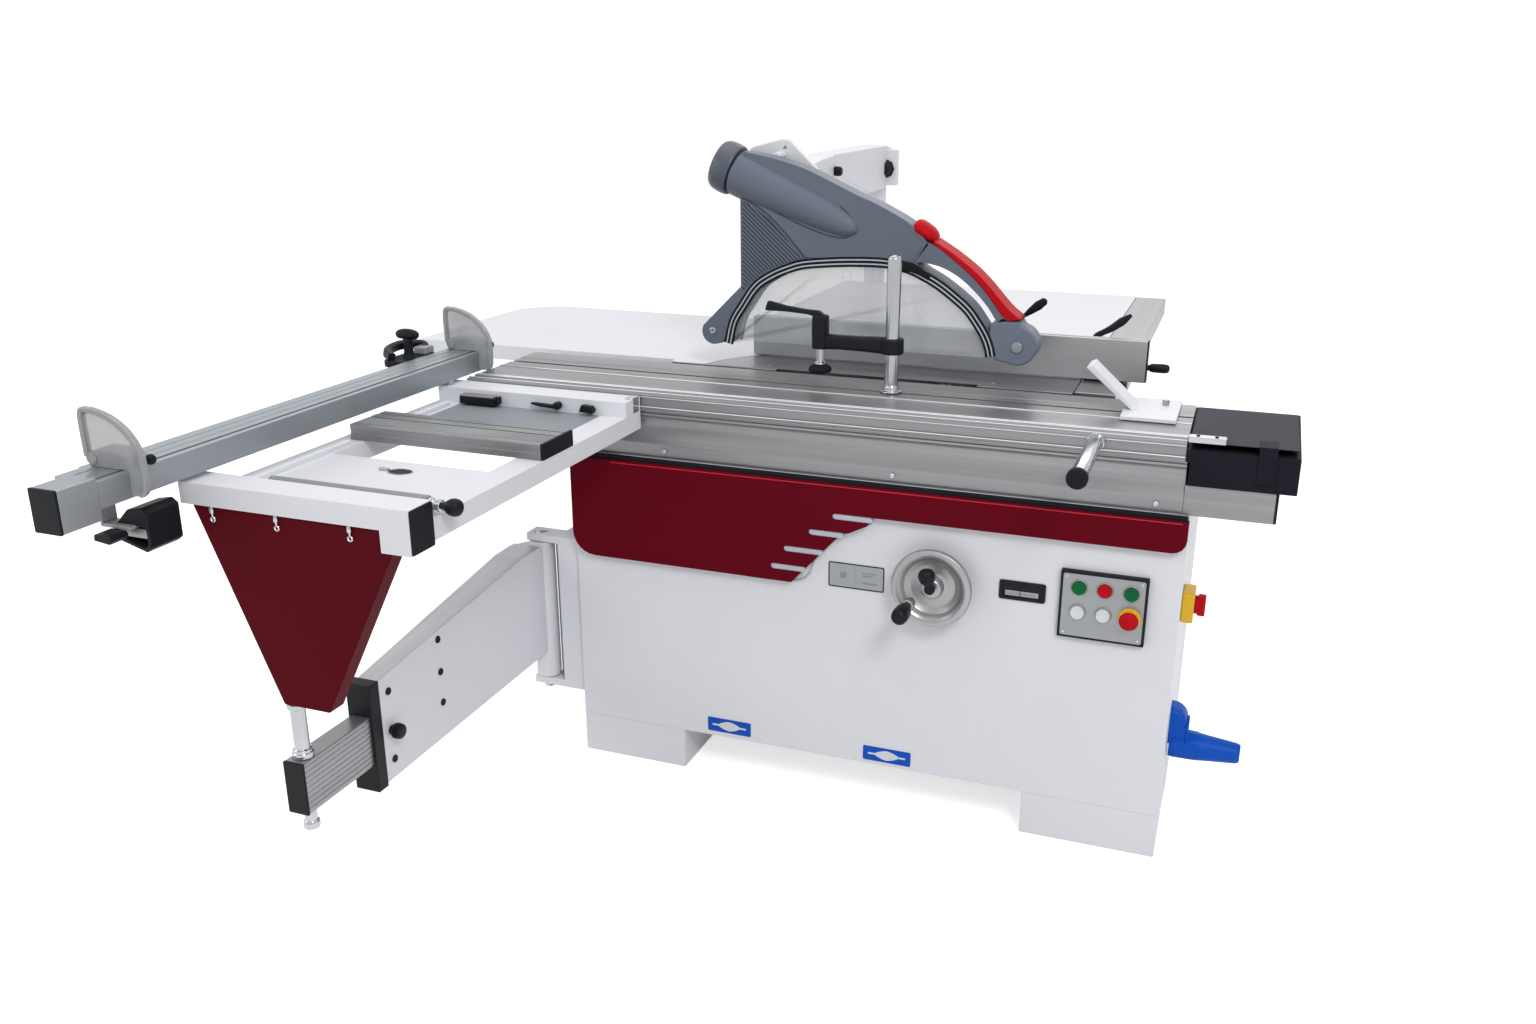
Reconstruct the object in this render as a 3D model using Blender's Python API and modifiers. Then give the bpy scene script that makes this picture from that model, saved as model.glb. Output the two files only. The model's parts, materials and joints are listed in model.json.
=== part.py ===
"""Panel saw with a sliding table, a crosscut frame on a swing arm and an overhead guard.

The operator stands at the +X end. The sliding table runs along X at the front (-Y), and the
saw blade stands in an XZ plane just behind it. All lengths are metres, and +Z is up.

Places are written from the cabinet's front left floor corner. The empty named origin carries
everything, and shifts it so that the world origin is under the middle of the whole machine.
"""

import math

import bmesh
import bpy
from mathutils import Matrix, Vector

GAP = 0.0003  # running or seating clearance between two pieces that touch

# Cabinet and plinths
CABINET_LENGTH = 1.350
CABINET_DEPTH = 0.720
CABINET_TOP = 0.765
PLINTH_HEIGHT = 0.100
PLINTH_LEFT_LENGTH = 0.265
PLINTH_RIGHT_LENGTH = 0.285
SHEET = 0.004
DOOR_LENGTH = 0.600
DOOR_HEIGHT = 0.500
DOOR_LEFT = 0.350
DOOR_BOTTOM = 0.160
DOOR_LAP = 0.012
DOOR_THICK = 0.018
TOP_RIM = 0.020

# Red front band
BAND_THICK = 0.018
BAND_TOP = 0.757
BAND_LEFT_BOTTOM = 0.521
BAND_RIGHT_BOTTOM = 0.691
BAND_CORNER = 0.055
BAND_SLOT_HEIGHT = 0.013
BAND_SLOTS = ((0.629, 0.6845), (0.576, 0.643), (0.519, 0.598), (0.489, 0.554))

# Tables
TABLE_TOP = 0.912
TABLE_PLATE = 0.012
BLADE_Y = 0.340
TABLE_LEFT = 0.100
TABLE_LENGTH = 0.967
MAIN_TABLE_DEPTH = 0.468
BLADE_TO_TABLE = 0.010
TABLE_NOTCH_DEPTH = 0.012
SIDE_TABLE_DEPTH = 0.958
SIDE_TABLE_SKIRT = 0.038
OUTFEED_LENGTH = 0.750
OUTFEED_DEPTH = 0.590
OUTFEED_FRONT = 0.360
OUTFEED_CORNER = 0.140
BRACE_WIDTH = 0.030
BRACE_REACH = 0.680
BRACE_FOOT = 0.420

# Guide beam and sliding table
CARRIAGE_LENGTH = 1.600
CARRIAGE_LEFT = -0.270
CARRIAGE_WIDTH = 0.315
CARRIAGE_HEIGHT = 0.040
CARRIAGE_LIP = 0.026
BEAM_PROUD = 0.004
BEAM_DEPTH = 0.165
BEAM_FRONT = 0.003
BEAM_HOLLOW = 0.010
EXTENSION_LENGTH = 0.171
END_COVER_LENGTH = 0.205
END_COVER_DEPTH = 0.300
END_COVER_HEIGHT = 0.086
HANDLE_X = 1.160
HANDLE_LENGTH = 0.270
HANDLE_R = 0.0165
SHOE_X = 1.190
SHOE_LENGTH = 0.110
SHOE_Y = 0.130
SHOE_DEPTH = 0.180

# Hold-down clamp
CLAMP_X = 0.690
CLAMP_Y = 0.203
CLAMP_POST_R = 0.0135
CLAMP_POST_HEIGHT = 0.298
CLAMP_ARM_HEIGHT = 0.103
CLAMP_PAD_HEIGHT = 0.033
CLAMP_ARM_REACH = 0.165
CLAMP_ARM_R = 0.017
CLAMP_RING_R = 0.024
CLAMP_SPINDLE_R = 0.008
CLAMP_GRIP_R = 0.017
CLAMP_GRIP_HEIGHT = 0.052
CLAMP_PAD_R = 0.026

# Crosscut frame
FRAME_LEFT = -0.300
FRAME_RIGHT = 0.175
FRAME_NEAR = -0.855
FRAME_FAR = -GAP
FRAME_DROP = 0.007
RAIL_HEIGHT = 0.040
RAIL_WIDTH = 0.060
FRONT_BEAM_DEPTH = 0.065
FRONT_BEAM_HEIGHT = 0.040
CORNER_HEIGHT = 0.080
FAR_BEAM_DEPTH = 0.070
TRAY_THICK = 0.005
TRAY_FAR = -0.520
FLOOR_NEAR = -0.300
SUPPORT_BEAM_NEAR = -0.425
SUPPORT_BEAM_DEPTH = 0.118
SUPPORT_BEAM_LEFT = -0.270
ROLLER_R = 0.0155
ROLLER_Y = -0.768
ROLLER_LENGTH = 0.330
ROLLER_JOURNAL = 0.012
PANEL_THICK = 0.040
PANEL_TOP_LEFT = -0.280
PANEL_TOP_RIGHT = 0.134
PANEL_BOTTOM_LEFT = -0.134
PANEL_BOTTOM_RIGHT = -0.035
PANEL_BOTTOM = 0.500

# Crosscut fence
FENCE_FRONT = -0.275
FENCE_WIDTH = 0.090
FENCE_LIFT = 0.0015
FENCE_HEIGHT = 0.0465
FENCE_NEAR = -1.040
FENCE_FAR = 0.125
FENCE_PIVOT_X = -0.286
FENCE_PIVOT_Y = -0.045
FENCE_PIVOT_R = 0.010
TONGUE = 0.030
TONGUE_LENGTH = 0.420
END_BLOCK_WIDTH = 0.055
END_BLOCK_HEIGHT = 0.073
END_BLOCK_LENGTH = 0.080
STOP_NEAR_Y = -0.970
STOP_FAR_Y = 0.070
STOP_CARRIER_LENGTH = 0.045
STOP_CARRIER_HEIGHT = 0.026
STOP_PLATE_THICK = 0.009
STOP_PLATE_TOP = 0.100
STOP_PLATE_PROUD = 0.036
STOP_HINGE_INSET = 0.014
KNOB_Y = -0.045

# Swing arm
PIVOT_X = -0.115
PIVOT_Y = 0.035
PIVOT_R = 0.015
PIVOT_BOTTOM = 0.150
PIVOT_TOP = 0.545
BRACKET_DEPTH = 0.060
BRACKET_THICK = 0.018
ARM_BARREL_R = 0.030
ARM_RIGHT = -0.100
ARM_ROOT_WIDTH = 0.075
ARM_TIP_WIDTH = 0.048
ARM_ROOT_TOP = 0.515
ARM_TIP_TOP = 0.452
ARM_ROOT_BOTTOM = 0.242
ARM_TIP_BOTTOM = 0.228
ARM_TIP_Y = -0.635
COLLAR_LENGTH = 0.030
COLLAR_RIM = 0.004
INNER_WIDTH = 0.044
INNER_HEIGHT = 0.105
INNER_BOTTOM = 0.283
INNER_TIP_Y = -0.860
INNER_LENGTH = 0.700
POST_Y = -0.830
POST_R = 0.0195
POST_ROD_R = 0.008
POST_FOOT_R = 0.015
POST_CLEARANCE = 0.0015
POST_FOOT_BOTTOM = 0.240

# Rip fence
RIP_RAIL_WIDTH = 0.090
RIP_RAIL_HEIGHT = 0.050
RIP_RAIL_NEAR = 0.360
RIP_FENCE_LEFT = 0.260
RIP_FENCE_LENGTH = 0.950
RIP_FENCE_Y = 0.475
RIP_FENCE_THICK = 0.025
RIP_FENCE_HEIGHT = 0.095
RIP_LIFT = 0.003
CARRIER_DEPTH = 0.090
CARRIER_OVERHANG = 0.012
CARRIER_HEIGHT = 0.055
RIP_LEVER_LENGTH = 0.062
RIP_HUB_R = 0.012

# Guard
COLUMN_X = 0.165
COLUMN_WIDTH = 0.055
COLUMN_DROP = 0.152
GUARD_ARM_LIFT = 0.378
GUARD_ARM_HEIGHT = 0.070
GUARD_ARM_WIDTH = 0.075
GUARD_PLATE_Y = 0.420
GUARD_PLATE_THICK = 0.008
HOOD_THICK = 0.060
HOOD_HOLLOW = 0.044
HOOD_PIVOT_X = 0.356
HOOD_PIVOT_LIFT = 0.488
SPOUT_R = 0.058
SPOUT_RIM = 0.004
WINDOW_SKIN = 0.003

# Handwheel and controls
WHEEL_X = 0.855
WHEEL_Z = 0.560
WHEEL_R = 0.086
WHEEL_STANDOFF = 0.012
WHEEL_DEPTH = 0.036
WHEEL_SHAFT_R = 0.012
CRANK_RADIUS = 0.064
CRANK_ANGLE = math.radians(222)
CRANK_R = 0.0125
CRANK_LENGTH = 0.072
CONTROL_LEFT = 1.115
CONTROL_BOTTOM = 0.482
CONTROL_LENGTH = 0.173
CONTROL_HEIGHT = 0.146
CONTROL_THICK = 0.012
BUTTON_COLUMNS = (1.153, 1.204, 1.256)
BUTTON_ROWS = (0.594, 0.541)
BUTTON_R = 0.0145
BUTTON_PROUD = 0.009
BUTTON_TRAVEL = 0.004
MUSHROOM_R = 0.0195
MUSHROOM_THICK = 0.012
MUSHROOM_PROUD = 0.026
SWITCH_Y = 0.090
SWITCH_Z = 0.550
SWITCH_SIZE = 0.065
SWITCH_THICK = 0.024
SWITCH_KNOB_R = 0.019
SWITCH_KNOB_LENGTH = 0.021
INLET_Y = 0.150
INLET_Z = 0.235
INLET_R = 0.034
INLET_LENGTH = 0.040
CONNECTOR_LENGTH = 0.130
CONNECTOR_SLOPE = math.radians(12)

# Saw unit
BLADE_X = 0.540
BLADE_R = 0.1575
BLADE_KERF = 0.0032
BLADE_SINK = 0.005
FLANGE_R = 0.030
ARBOR_FACE = 0.0123
SCORER_X = 0.785
SCORER_R = 0.060
SCORER_SINK = 0.003
BED_DEPTH = 0.048
BED_DROP = 0.117
BED_HEIGHT = 0.275
BED_LEFT = 0.420
BED_LENGTH = 0.270
CROSS_DROP = 0.037
CROSS_HEIGHT = 0.150
CROSS_DEPTH = 0.030
TRUNNION_LEFT = 0.270
TRUNNION_RIGHT = 0.990
TRUNNION_THICK = 0.015
TRUNNION_INNER = 0.050
TRUNNION_OUTER = 0.230
MOTOR_R = 0.068
MOTOR_LENGTH = 0.190
MOTOR_DROP = 0.367

# Places that follow from the sizes above
CARRIAGE_BOTTOM = TABLE_TOP - CARRIAGE_HEIGHT + GAP
CARRIAGE_RIGHT = CARRIAGE_LEFT + CARRIAGE_LENGTH
BEAM_LENGTH = CARRIAGE_RIGHT + BEAM_PROUD
END_COVER_BOTTOM = TABLE_TOP - END_COVER_HEIGHT
CLAMP_POST_TOP = TABLE_TOP + CLAMP_POST_HEIGHT
CLAMP_ARM_Z = TABLE_TOP + CLAMP_ARM_HEIGHT
FRAME_TOP = TABLE_TOP - FRAME_DROP
RAIL_TOP = TABLE_TOP - CARRIAGE_HEIGHT
FENCE_BOTTOM = TABLE_TOP + FENCE_LIFT
POST_TOP = PANEL_BOTTOM - POST_CLEARANCE
COLUMN_BOTTOM = TABLE_TOP - COLUMN_DROP
GUARD_ARM_BOTTOM = TABLE_TOP + GUARD_ARM_LIFT
HOOD_PIVOT_Z = TABLE_TOP + HOOD_PIVOT_LIFT
BED_TOP = TABLE_TOP - BED_DROP
BED_BOTTOM = BED_TOP - BED_HEIGHT
CROSS_TOP = TABLE_TOP - CROSS_DROP
CROSS_BOTTOM = CROSS_TOP - CROSS_HEIGHT
MOTOR_Z = TABLE_TOP - MOTOR_DROP
TABLE_RIGHT = TABLE_LEFT + TABLE_LENGTH
MAIN_TABLE_FRONT = BLADE_Y - BLADE_TO_TABLE
MAIN_TABLE_REAR = MAIN_TABLE_FRONT + MAIN_TABLE_DEPTH
SIDE_TABLE_FRONT = MAIN_TABLE_REAR + GAP
SIDE_TABLE_REAR = SIDE_TABLE_FRONT + SIDE_TABLE_DEPTH
COLUMN_FRONT = SIDE_TABLE_REAR + GAP
FENCE_TOP = FENCE_BOTTOM + FENCE_HEIGHT
FENCE_REAR = FENCE_FRONT - FENCE_WIDTH
ARM_TIP_LEFT = ARM_RIGHT - ARM_TIP_WIDTH
ARM_ROOT_Y = PIVOT_Y
INNER_X = ARM_RIGHT - ARM_TIP_WIDTH / 2
BLADE_Z = TABLE_TOP - BLADE_SINK - BLADE_R
SCORER_Z = TABLE_TOP - SCORER_SINK - SCORER_R
BED_FRONT = BLADE_Y + ARBOR_FACE
BED_REAR = BED_FRONT + BED_DEPTH
CROSS_FRONT = BED_REAR + GAP
CROSS_REAR = CROSS_FRONT + CROSS_DEPTH
MOTOR_FRONT = BED_REAR - BED_DEPTH / 2

# The whole machine's box, for the origin under its middle
MACHINE_LEFT = TABLE_LEFT - GAP - OUTFEED_LENGTH
MACHINE_RIGHT = CARRIAGE_RIGHT + GAP + END_COVER_LENGTH
MACHINE_NEAR = FENCE_NEAR - GAP - END_BLOCK_LENGTH
MACHINE_FAR = COLUMN_FRONT + COLUMN_WIDTH
MACHINE_MIDDLE = Vector(((MACHINE_LEFT + MACHINE_RIGHT) / 2, (MACHINE_NEAR + MACHINE_FAR) / 2, 0))

for old in list(bpy.data.objects):
    bpy.data.objects.remove(old, do_unlink=True)

parts = bpy.data.collections.new("panel_saw")
cutters = bpy.data.collections.new("cutters")
bpy.context.scene.collection.children.link(parts)
bpy.context.scene.collection.children.link(cutters)

origin = bpy.data.objects.new("origin", None)
origin.location = -MACHINE_MIDDLE
parts.objects.link(origin)
pivots = {"origin": Vector((0, 0, 0))}


def finish_of(name, colour, roughness=0.5, metallic=0.0):
    """A plain Principled material."""
    material = bpy.data.materials.new(name)
    material.use_nodes = True
    shader = material.node_tree.nodes["Principled BSDF"]
    shader.inputs["Base Color"].default_value = (*colour, 1)
    shader.inputs["Roughness"].default_value = roughness
    shader.inputs["Metallic"].default_value = metallic
    return material


WHITE = finish_of("white_paint", (0.80, 0.81, 0.84), 0.45)
RED = finish_of("red_paint", (0.20, 0.006, 0.015), 0.35)
BRIGHT_RED = finish_of("red_plastic", (0.60, 0.01, 0.02), 0.35)
ALUMINIUM = finish_of("aluminium", (0.62, 0.63, 0.65), 0.35, 1.0)
IRON = finish_of("cast_iron", (0.38, 0.39, 0.40), 0.45, 1.0)
CHROME = finish_of("chrome", (0.80, 0.81, 0.83), 0.12, 1.0)
BLACK = finish_of("black_plastic", (0.018, 0.019, 0.024), 0.45)
SMOKE = finish_of("smoked_plastic", (0.035, 0.037, 0.045), 0.30)
SLATE = finish_of("slate_plastic", (0.10, 0.12, 0.15), 0.40)
CLEAR = finish_of("clear_plastic", (0.85, 0.87, 0.90), 0.10)
STEEL = finish_of("steel", (0.55, 0.56, 0.58), 0.30, 1.0)
GREEN = finish_of("green_plastic", (0.01, 0.25, 0.09), 0.35)
GREY = finish_of("grey_plastic", (0.60, 0.61, 0.63), 0.35)
YELLOW = finish_of("yellow_plastic", (0.80, 0.52, 0.02), 0.40)
BLUE = finish_of("blue_plastic", (0.005, 0.09, 0.55), 0.40)


def joint_empty(name, place, parent="origin"):
    """An empty on a joint's axis, which carries the pieces that the joint moves."""
    empty = bpy.data.objects.new(name, None)
    empty.parent = bpy.data.objects[parent]
    empty.location = Vector(place) - pivots[parent]
    empty.empty_display_size = 0.05
    parts.objects.link(empty)
    pivots[name] = Vector(place)
    return name


def place(obj, at, carrier="origin"):
    """Puts an object at a place, written from the cabinet corner, under its carrier."""
    obj.parent = bpy.data.objects[carrier]
    obj.location = Vector(at) - pivots[carrier]
    return obj


def new_object(name, mesh, material):
    obj = bpy.data.objects.new(name, mesh)
    if material:
        obj.data.materials.append(material)
    parts.objects.link(obj)
    return obj


def box(name, low, high, material=None, carrier="origin"):
    """An upright block between two corners."""
    low, high = Vector(low), Vector(high)
    mesh = bpy.data.meshes.new(name)
    shape = bmesh.new()
    bmesh.ops.create_cube(shape, size=1.0, matrix=Matrix.Diagonal((*(high - low), 1)))
    shape.to_mesh(mesh)
    shape.free()
    return place(new_object(name, mesh, material), (low + high) / 2, carrier)


TURN = {
    "X": (math.pi / 2, 0, math.pi / 2),
    "Y": (math.pi / 2, 0, 0),
    "Z": (0, 0, 0),
}
AXIS = {"X": Vector((1, 0, 0)), "Y": Vector((0, 1, 0)), "Z": Vector((0, 0, 1))}


def slab(name, outline, axis, start, end, material=None, carrier="origin"):
    """A flat outline with a thickness along an axis, from start to end.

    The outline's points are (y, z) for axis X, (x, z) for Y and (x, y) for Z.
    """
    flat = bpy.data.curves.new(name + "_outline", "CURVE")
    flat.dimensions = "2D"
    flat.fill_mode = "BOTH"
    flat.extrude = abs(end - start) / 2
    spline = flat.splines.new("POLY")
    spline.points.add(len(outline) - 1)
    for point, (across, up) in zip(spline.points, outline):
        point.co = (across, up, 0, 1)
    spline.use_cyclic_u = True
    guide = bpy.data.objects.new(name + "_outline", flat)
    parts.objects.link(guide)
    guide.rotation_euler = TURN[axis]
    bpy.context.view_layer.update()
    mesh = bpy.data.meshes.new_from_object(
        guide.evaluated_get(bpy.context.evaluated_depsgraph_get())
    )
    bpy.data.objects.remove(guide, do_unlink=True)
    shape = bmesh.new()
    shape.from_mesh(mesh)
    bmesh.ops.remove_doubles(shape, verts=shape.verts, dist=1e-6)
    shape.to_mesh(mesh)
    shape.free()
    mesh.name = name
    obj = new_object(name, mesh, material)
    obj.rotation_euler = TURN[axis]
    return place(obj, AXIS[axis] * (start + end) / 2, carrier)


def turned(name, profile, axis, at, material=None, carrier="origin", steps=24):
    """A turned piece: (radius, height) points down its outer side, from its top to its bottom."""
    mesh = bpy.data.meshes.new(name)
    points = [(radius, 0, height) for radius, height in profile]
    edges = [(i, i + 1) for i in range(len(points) - 1)]
    mesh.from_pydata(points, edges, [])
    obj = new_object(name, mesh, material)
    screw = obj.modifiers.new("Turn", "SCREW")
    screw.steps = steps
    screw.render_steps = steps
    screw.use_merge_vertices = True
    screw.merge_threshold = 0.00001
    screw.use_smooth_shade = True
    obj.rotation_euler = {
        "Z": (0, 0, 0),
        "Y": (-math.pi / 2, 0, 0),
        "X": (0, math.pi / 2, 0),
    }[axis]
    return place(obj, at, carrier)


def rod(name, radius, axis, start, end, across, material=None, carrier="origin", steps=24):
    """A round bar along an axis; across gives the other two coordinates of its middle line."""
    profile = [(0, end - start), (radius, end - start), (radius, 0), (0, 0)]
    at = {
        "X": (start, *across),
        "Y": (across[0], start, across[1]),
        "Z": (*across, start),
    }[axis]
    return turned(name, profile, axis, at, material, carrier, steps)


def joined(target, kind, tools):
    """Cuts the tools from the target, or unites them with it."""
    for tool in tools:
        parts.objects.unlink(tool)
        cutters.objects.link(tool)
        tool.hide_render = True
        tool.display_type = "WIRE"
        change = target.modifiers.new(tool.name, "BOOLEAN")
        change.operation = kind
        change.solver = "EXACT"
        change.object = tool
    return target


def cut(target, *tools):
    return joined(target, "DIFFERENCE", tools)


def unite(target, *tools):
    return joined(target, "UNION", tools)


def arc(centre, radius, first, last, count):
    """Points along an arc, with angles in degrees, anticlockwise from +across."""
    return [
        (
            centre[0] + radius * math.cos(math.radians(first + (last - first) * i / count)),
            centre[1] + radius * math.sin(math.radians(first + (last - first) * i / count)),
        )
        for i in range(count + 1)
    ]


def make_cabinet():
    body = box("cabinet", (0, 0, PLINTH_HEIGHT), (CABINET_LENGTH, CABINET_DEPTH, CABINET_TOP), WHITE)
    room = box(
        "cabinet_room",
        (SHEET, SHEET, PLINTH_HEIGHT + SHEET),
        (CABINET_LENGTH - SHEET, CABINET_DEPTH - SHEET, CABINET_TOP - SHEET),
    )
    saw_opening = box(
        "saw_opening",
        (TABLE_LEFT + TABLE_PLATE, BEAM_DEPTH + SHEET, CABINET_TOP - 2 * SHEET),
        (TABLE_RIGHT - TABLE_PLATE, CABINET_DEPTH - TOP_RIM, CABINET_TOP + SHEET),
    )
    doorway = box(
        "doorway",
        (DOOR_LEFT, CABINET_DEPTH - 2 * SHEET, DOOR_BOTTOM),
        (DOOR_LEFT + DOOR_LENGTH, CABINET_DEPTH + SHEET, DOOR_BOTTOM + DOOR_HEIGHT),
    )
    shaft = WHEEL_SHAFT_R + GAP
    shaft_hole = rod("shaft_hole", shaft, "Y", -SHEET, 2 * SHEET, (WHEEL_X, WHEEL_Z))
    cut(body, room, saw_opening, doorway, shaft_hole)
    make_plinth("plinth_left", 0, PLINTH_LEFT_LENGTH)
    make_plinth("plinth_right", CABINET_LENGTH - PLINTH_RIGHT_LENGTH, CABINET_LENGTH)


def make_plinth(name, left, right):
    """A folded sheet tray under one end of the cabinet, which closes it."""
    top = PLINTH_HEIGHT - GAP
    tray = box(name, (left, 0, 0), (right, CABINET_DEPTH, top), WHITE)
    low = (left + SHEET, SHEET, SHEET)
    high = (right - SHEET, CABINET_DEPTH - SHEET, top + SHEET)
    cut(tray, box(name + "_room", low, high))


def make_rear_door():
    hinge_x = DOOR_LEFT - DOOR_LAP
    back = CABINET_DEPTH + GAP
    hinge = joint_empty("door_hinge", (hinge_x, back + DOOR_THICK, DOOR_BOTTOM))
    box(
        "rear_door",
        (hinge_x, back, DOOR_BOTTOM - DOOR_LAP),
        (DOOR_LEFT + DOOR_LENGTH + DOOR_LAP, back + DOOR_THICK, DOOR_BOTTOM + DOOR_HEIGHT + DOOR_LAP),
        WHITE,
        hinge,
    )


def band_outline():
    """The band's front view: deep at the left, with a slanted edge, and shallow to the right."""
    left = arc((BAND_CORNER, BAND_LEFT_BOTTOM + BAND_CORNER), BAND_CORNER, 180, 270, 6)
    small = BAND_CORNER / 2
    right_end = (CABINET_LENGTH - small, BAND_RIGHT_BOTTOM + small)
    slant = [
        (0.537, BAND_LEFT_BOTTOM),
        (0.641, 0.637),
        (0.706, 0.671),
        (0.716, BAND_RIGHT_BOTTOM),
    ]
    right = arc(right_end, small, -90, 0, 4)
    return [(0, BAND_TOP), *left, *slant, *right, (CABINET_LENGTH, BAND_TOP)]


def make_front_band():
    band = slab("front_band", band_outline(), "Y", -BAND_THICK - GAP, -GAP, RED)
    slots = []
    for i, (left, middle) in enumerate(BAND_SLOTS):
        half = BAND_SLOT_HEIGHT / 2
        outline = [
            *arc((left + half, middle), half, 90, 270, 6),
            (left + 0.200, middle - half),
            (left + 0.200, middle + half),
        ]
        name = f"band_slot_{i + 1}"
        slots.append(slab(name, outline, "Y", -2 * BAND_THICK, BAND_THICK))
    cut(band, *slots)


def make_guide():
    bottom, top = CABINET_TOP + GAP, TABLE_TOP - CARRIAGE_HEIGHT
    middle = (bottom + top) / 2
    outline = [
        (BEAM_DEPTH, bottom),
        (BEAM_DEPTH, top),
        (BEAM_FRONT, top),
        (BEAM_FRONT, top - 0.014),
        (BEAM_FRONT + BEAM_HOLLOW * 0.7, middle + 0.024),
        (BEAM_FRONT + BEAM_HOLLOW, middle),
        (BEAM_FRONT + BEAM_HOLLOW * 0.5, middle - 0.024),
        (BEAM_FRONT, bottom + 0.014),
        (BEAM_FRONT, bottom),
    ]
    slab("guide_beam", outline, "X", 0, BEAM_LENGTH, ALUMINIUM)
    box(
        "guide_extension",
        (BEAM_LENGTH + GAP, BEAM_FRONT, bottom),
        (BEAM_LENGTH + EXTENSION_LENGTH, BEAM_DEPTH, END_COVER_BOTTOM - 2 * GAP),
        ALUMINIUM,
    )


def hollow_table(name, low, high, material):
    """A table plate with a folded skirt round it, open below."""
    table = box(name, low, high, material)
    room = box(
        name + "_room",
        (low[0] + SHEET, low[1] + SHEET, low[2] - SHEET),
        (high[0] - SHEET, high[1] - SHEET, high[2] - SHEET),
    )
    return cut(table, room)


def make_main_table():
    """Cast plate with a skirt on three sides, a notch for the blades and two trunnion brackets."""
    skirt = CABINET_TOP + GAP
    table = box(
        "main_table",
        (TABLE_LEFT, MAIN_TABLE_FRONT, skirt),
        (TABLE_RIGHT, MAIN_TABLE_REAR, TABLE_TOP),
        IRON,
    )
    room = box(
        "main_table_room",
        (TABLE_LEFT + TABLE_PLATE, MAIN_TABLE_FRONT - TABLE_PLATE, skirt - TABLE_PLATE),
        (TABLE_RIGHT - TABLE_PLATE, MAIN_TABLE_REAR - TABLE_PLATE, TABLE_TOP - TABLE_PLATE),
    )
    notch = box(
        "blade_notch",
        (BLADE_X - BLADE_R - BLADE_TO_TABLE, MAIN_TABLE_FRONT - BLADE_TO_TABLE, skirt),
        (
            SCORER_X + SCORER_R + BLADE_TO_TABLE,
            BLADE_Y + TABLE_NOTCH_DEPTH,
            TABLE_TOP + TABLE_PLATE,
        ),
    )
    cut(table, room, notch)
    brackets = []
    for side, x in (("left", TRUNNION_LEFT - GAP - TRUNNION_THICK), ("right", TRUNNION_RIGHT + GAP)):
        brackets.append(
            box(
                f"trunnion_bracket_{side}",
                (x, CROSS_FRONT, TABLE_TOP - TRUNNION_OUTER),
                (x + TRUNNION_THICK, CROSS_REAR + CROSS_DEPTH, TABLE_TOP - TABLE_PLATE / 2),
            )
        )
    unite(table, *brackets)


def make_side_table():
    table = hollow_table(
        "side_table",
        (TABLE_LEFT, SIDE_TABLE_FRONT, TABLE_TOP - SIDE_TABLE_SKIRT),
        (TABLE_RIGHT, SIDE_TABLE_REAR, TABLE_TOP),
        WHITE,
    )
    foot = CABINET_DEPTH + GAP
    top = TABLE_TOP - SHEET / 2
    strut = [
        (foot, BRACE_FOOT),
        (foot + BRACE_REACH, top),
        (foot + BRACE_REACH - 2 * BRACE_WIDTH, top),
        (foot, BRACE_FOOT + 2 * BRACE_WIDTH),
    ]
    for side, x in (("left", TABLE_LEFT + BRACE_WIDTH), ("right", TABLE_RIGHT - 2 * BRACE_WIDTH)):
        unite(table, slab(f"side_brace_{side}", strut, "X", x, x + BRACE_WIDTH))


def make_outfeed_table():
    right = TABLE_LEFT - GAP
    left = right - OUTFEED_LENGTH
    far = OUTFEED_FRONT + OUTFEED_DEPTH
    corner = (left + OUTFEED_CORNER, far - OUTFEED_CORNER)
    outline = [
        (left, OUTFEED_FRONT),
        (right, OUTFEED_FRONT),
        (right, far),
        *arc(corner, OUTFEED_CORNER, 90, 180, 6),
    ]
    inside = (corner[0], corner[1])
    hollow = [
        (left + SHEET, OUTFEED_FRONT + SHEET),
        (right - SHEET, OUTFEED_FRONT + SHEET),
        (right - SHEET, far - SHEET),
        *arc(inside, OUTFEED_CORNER - SHEET, 90, 180, 6),
    ]
    bottom = TABLE_TOP - SIDE_TABLE_SKIRT
    table = slab("outfeed_table", outline, "Z", bottom, TABLE_TOP, WHITE)
    cut(table, slab("outfeed_room", hollow, "Z", bottom - SHEET, TABLE_TOP - SHEET))


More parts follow.
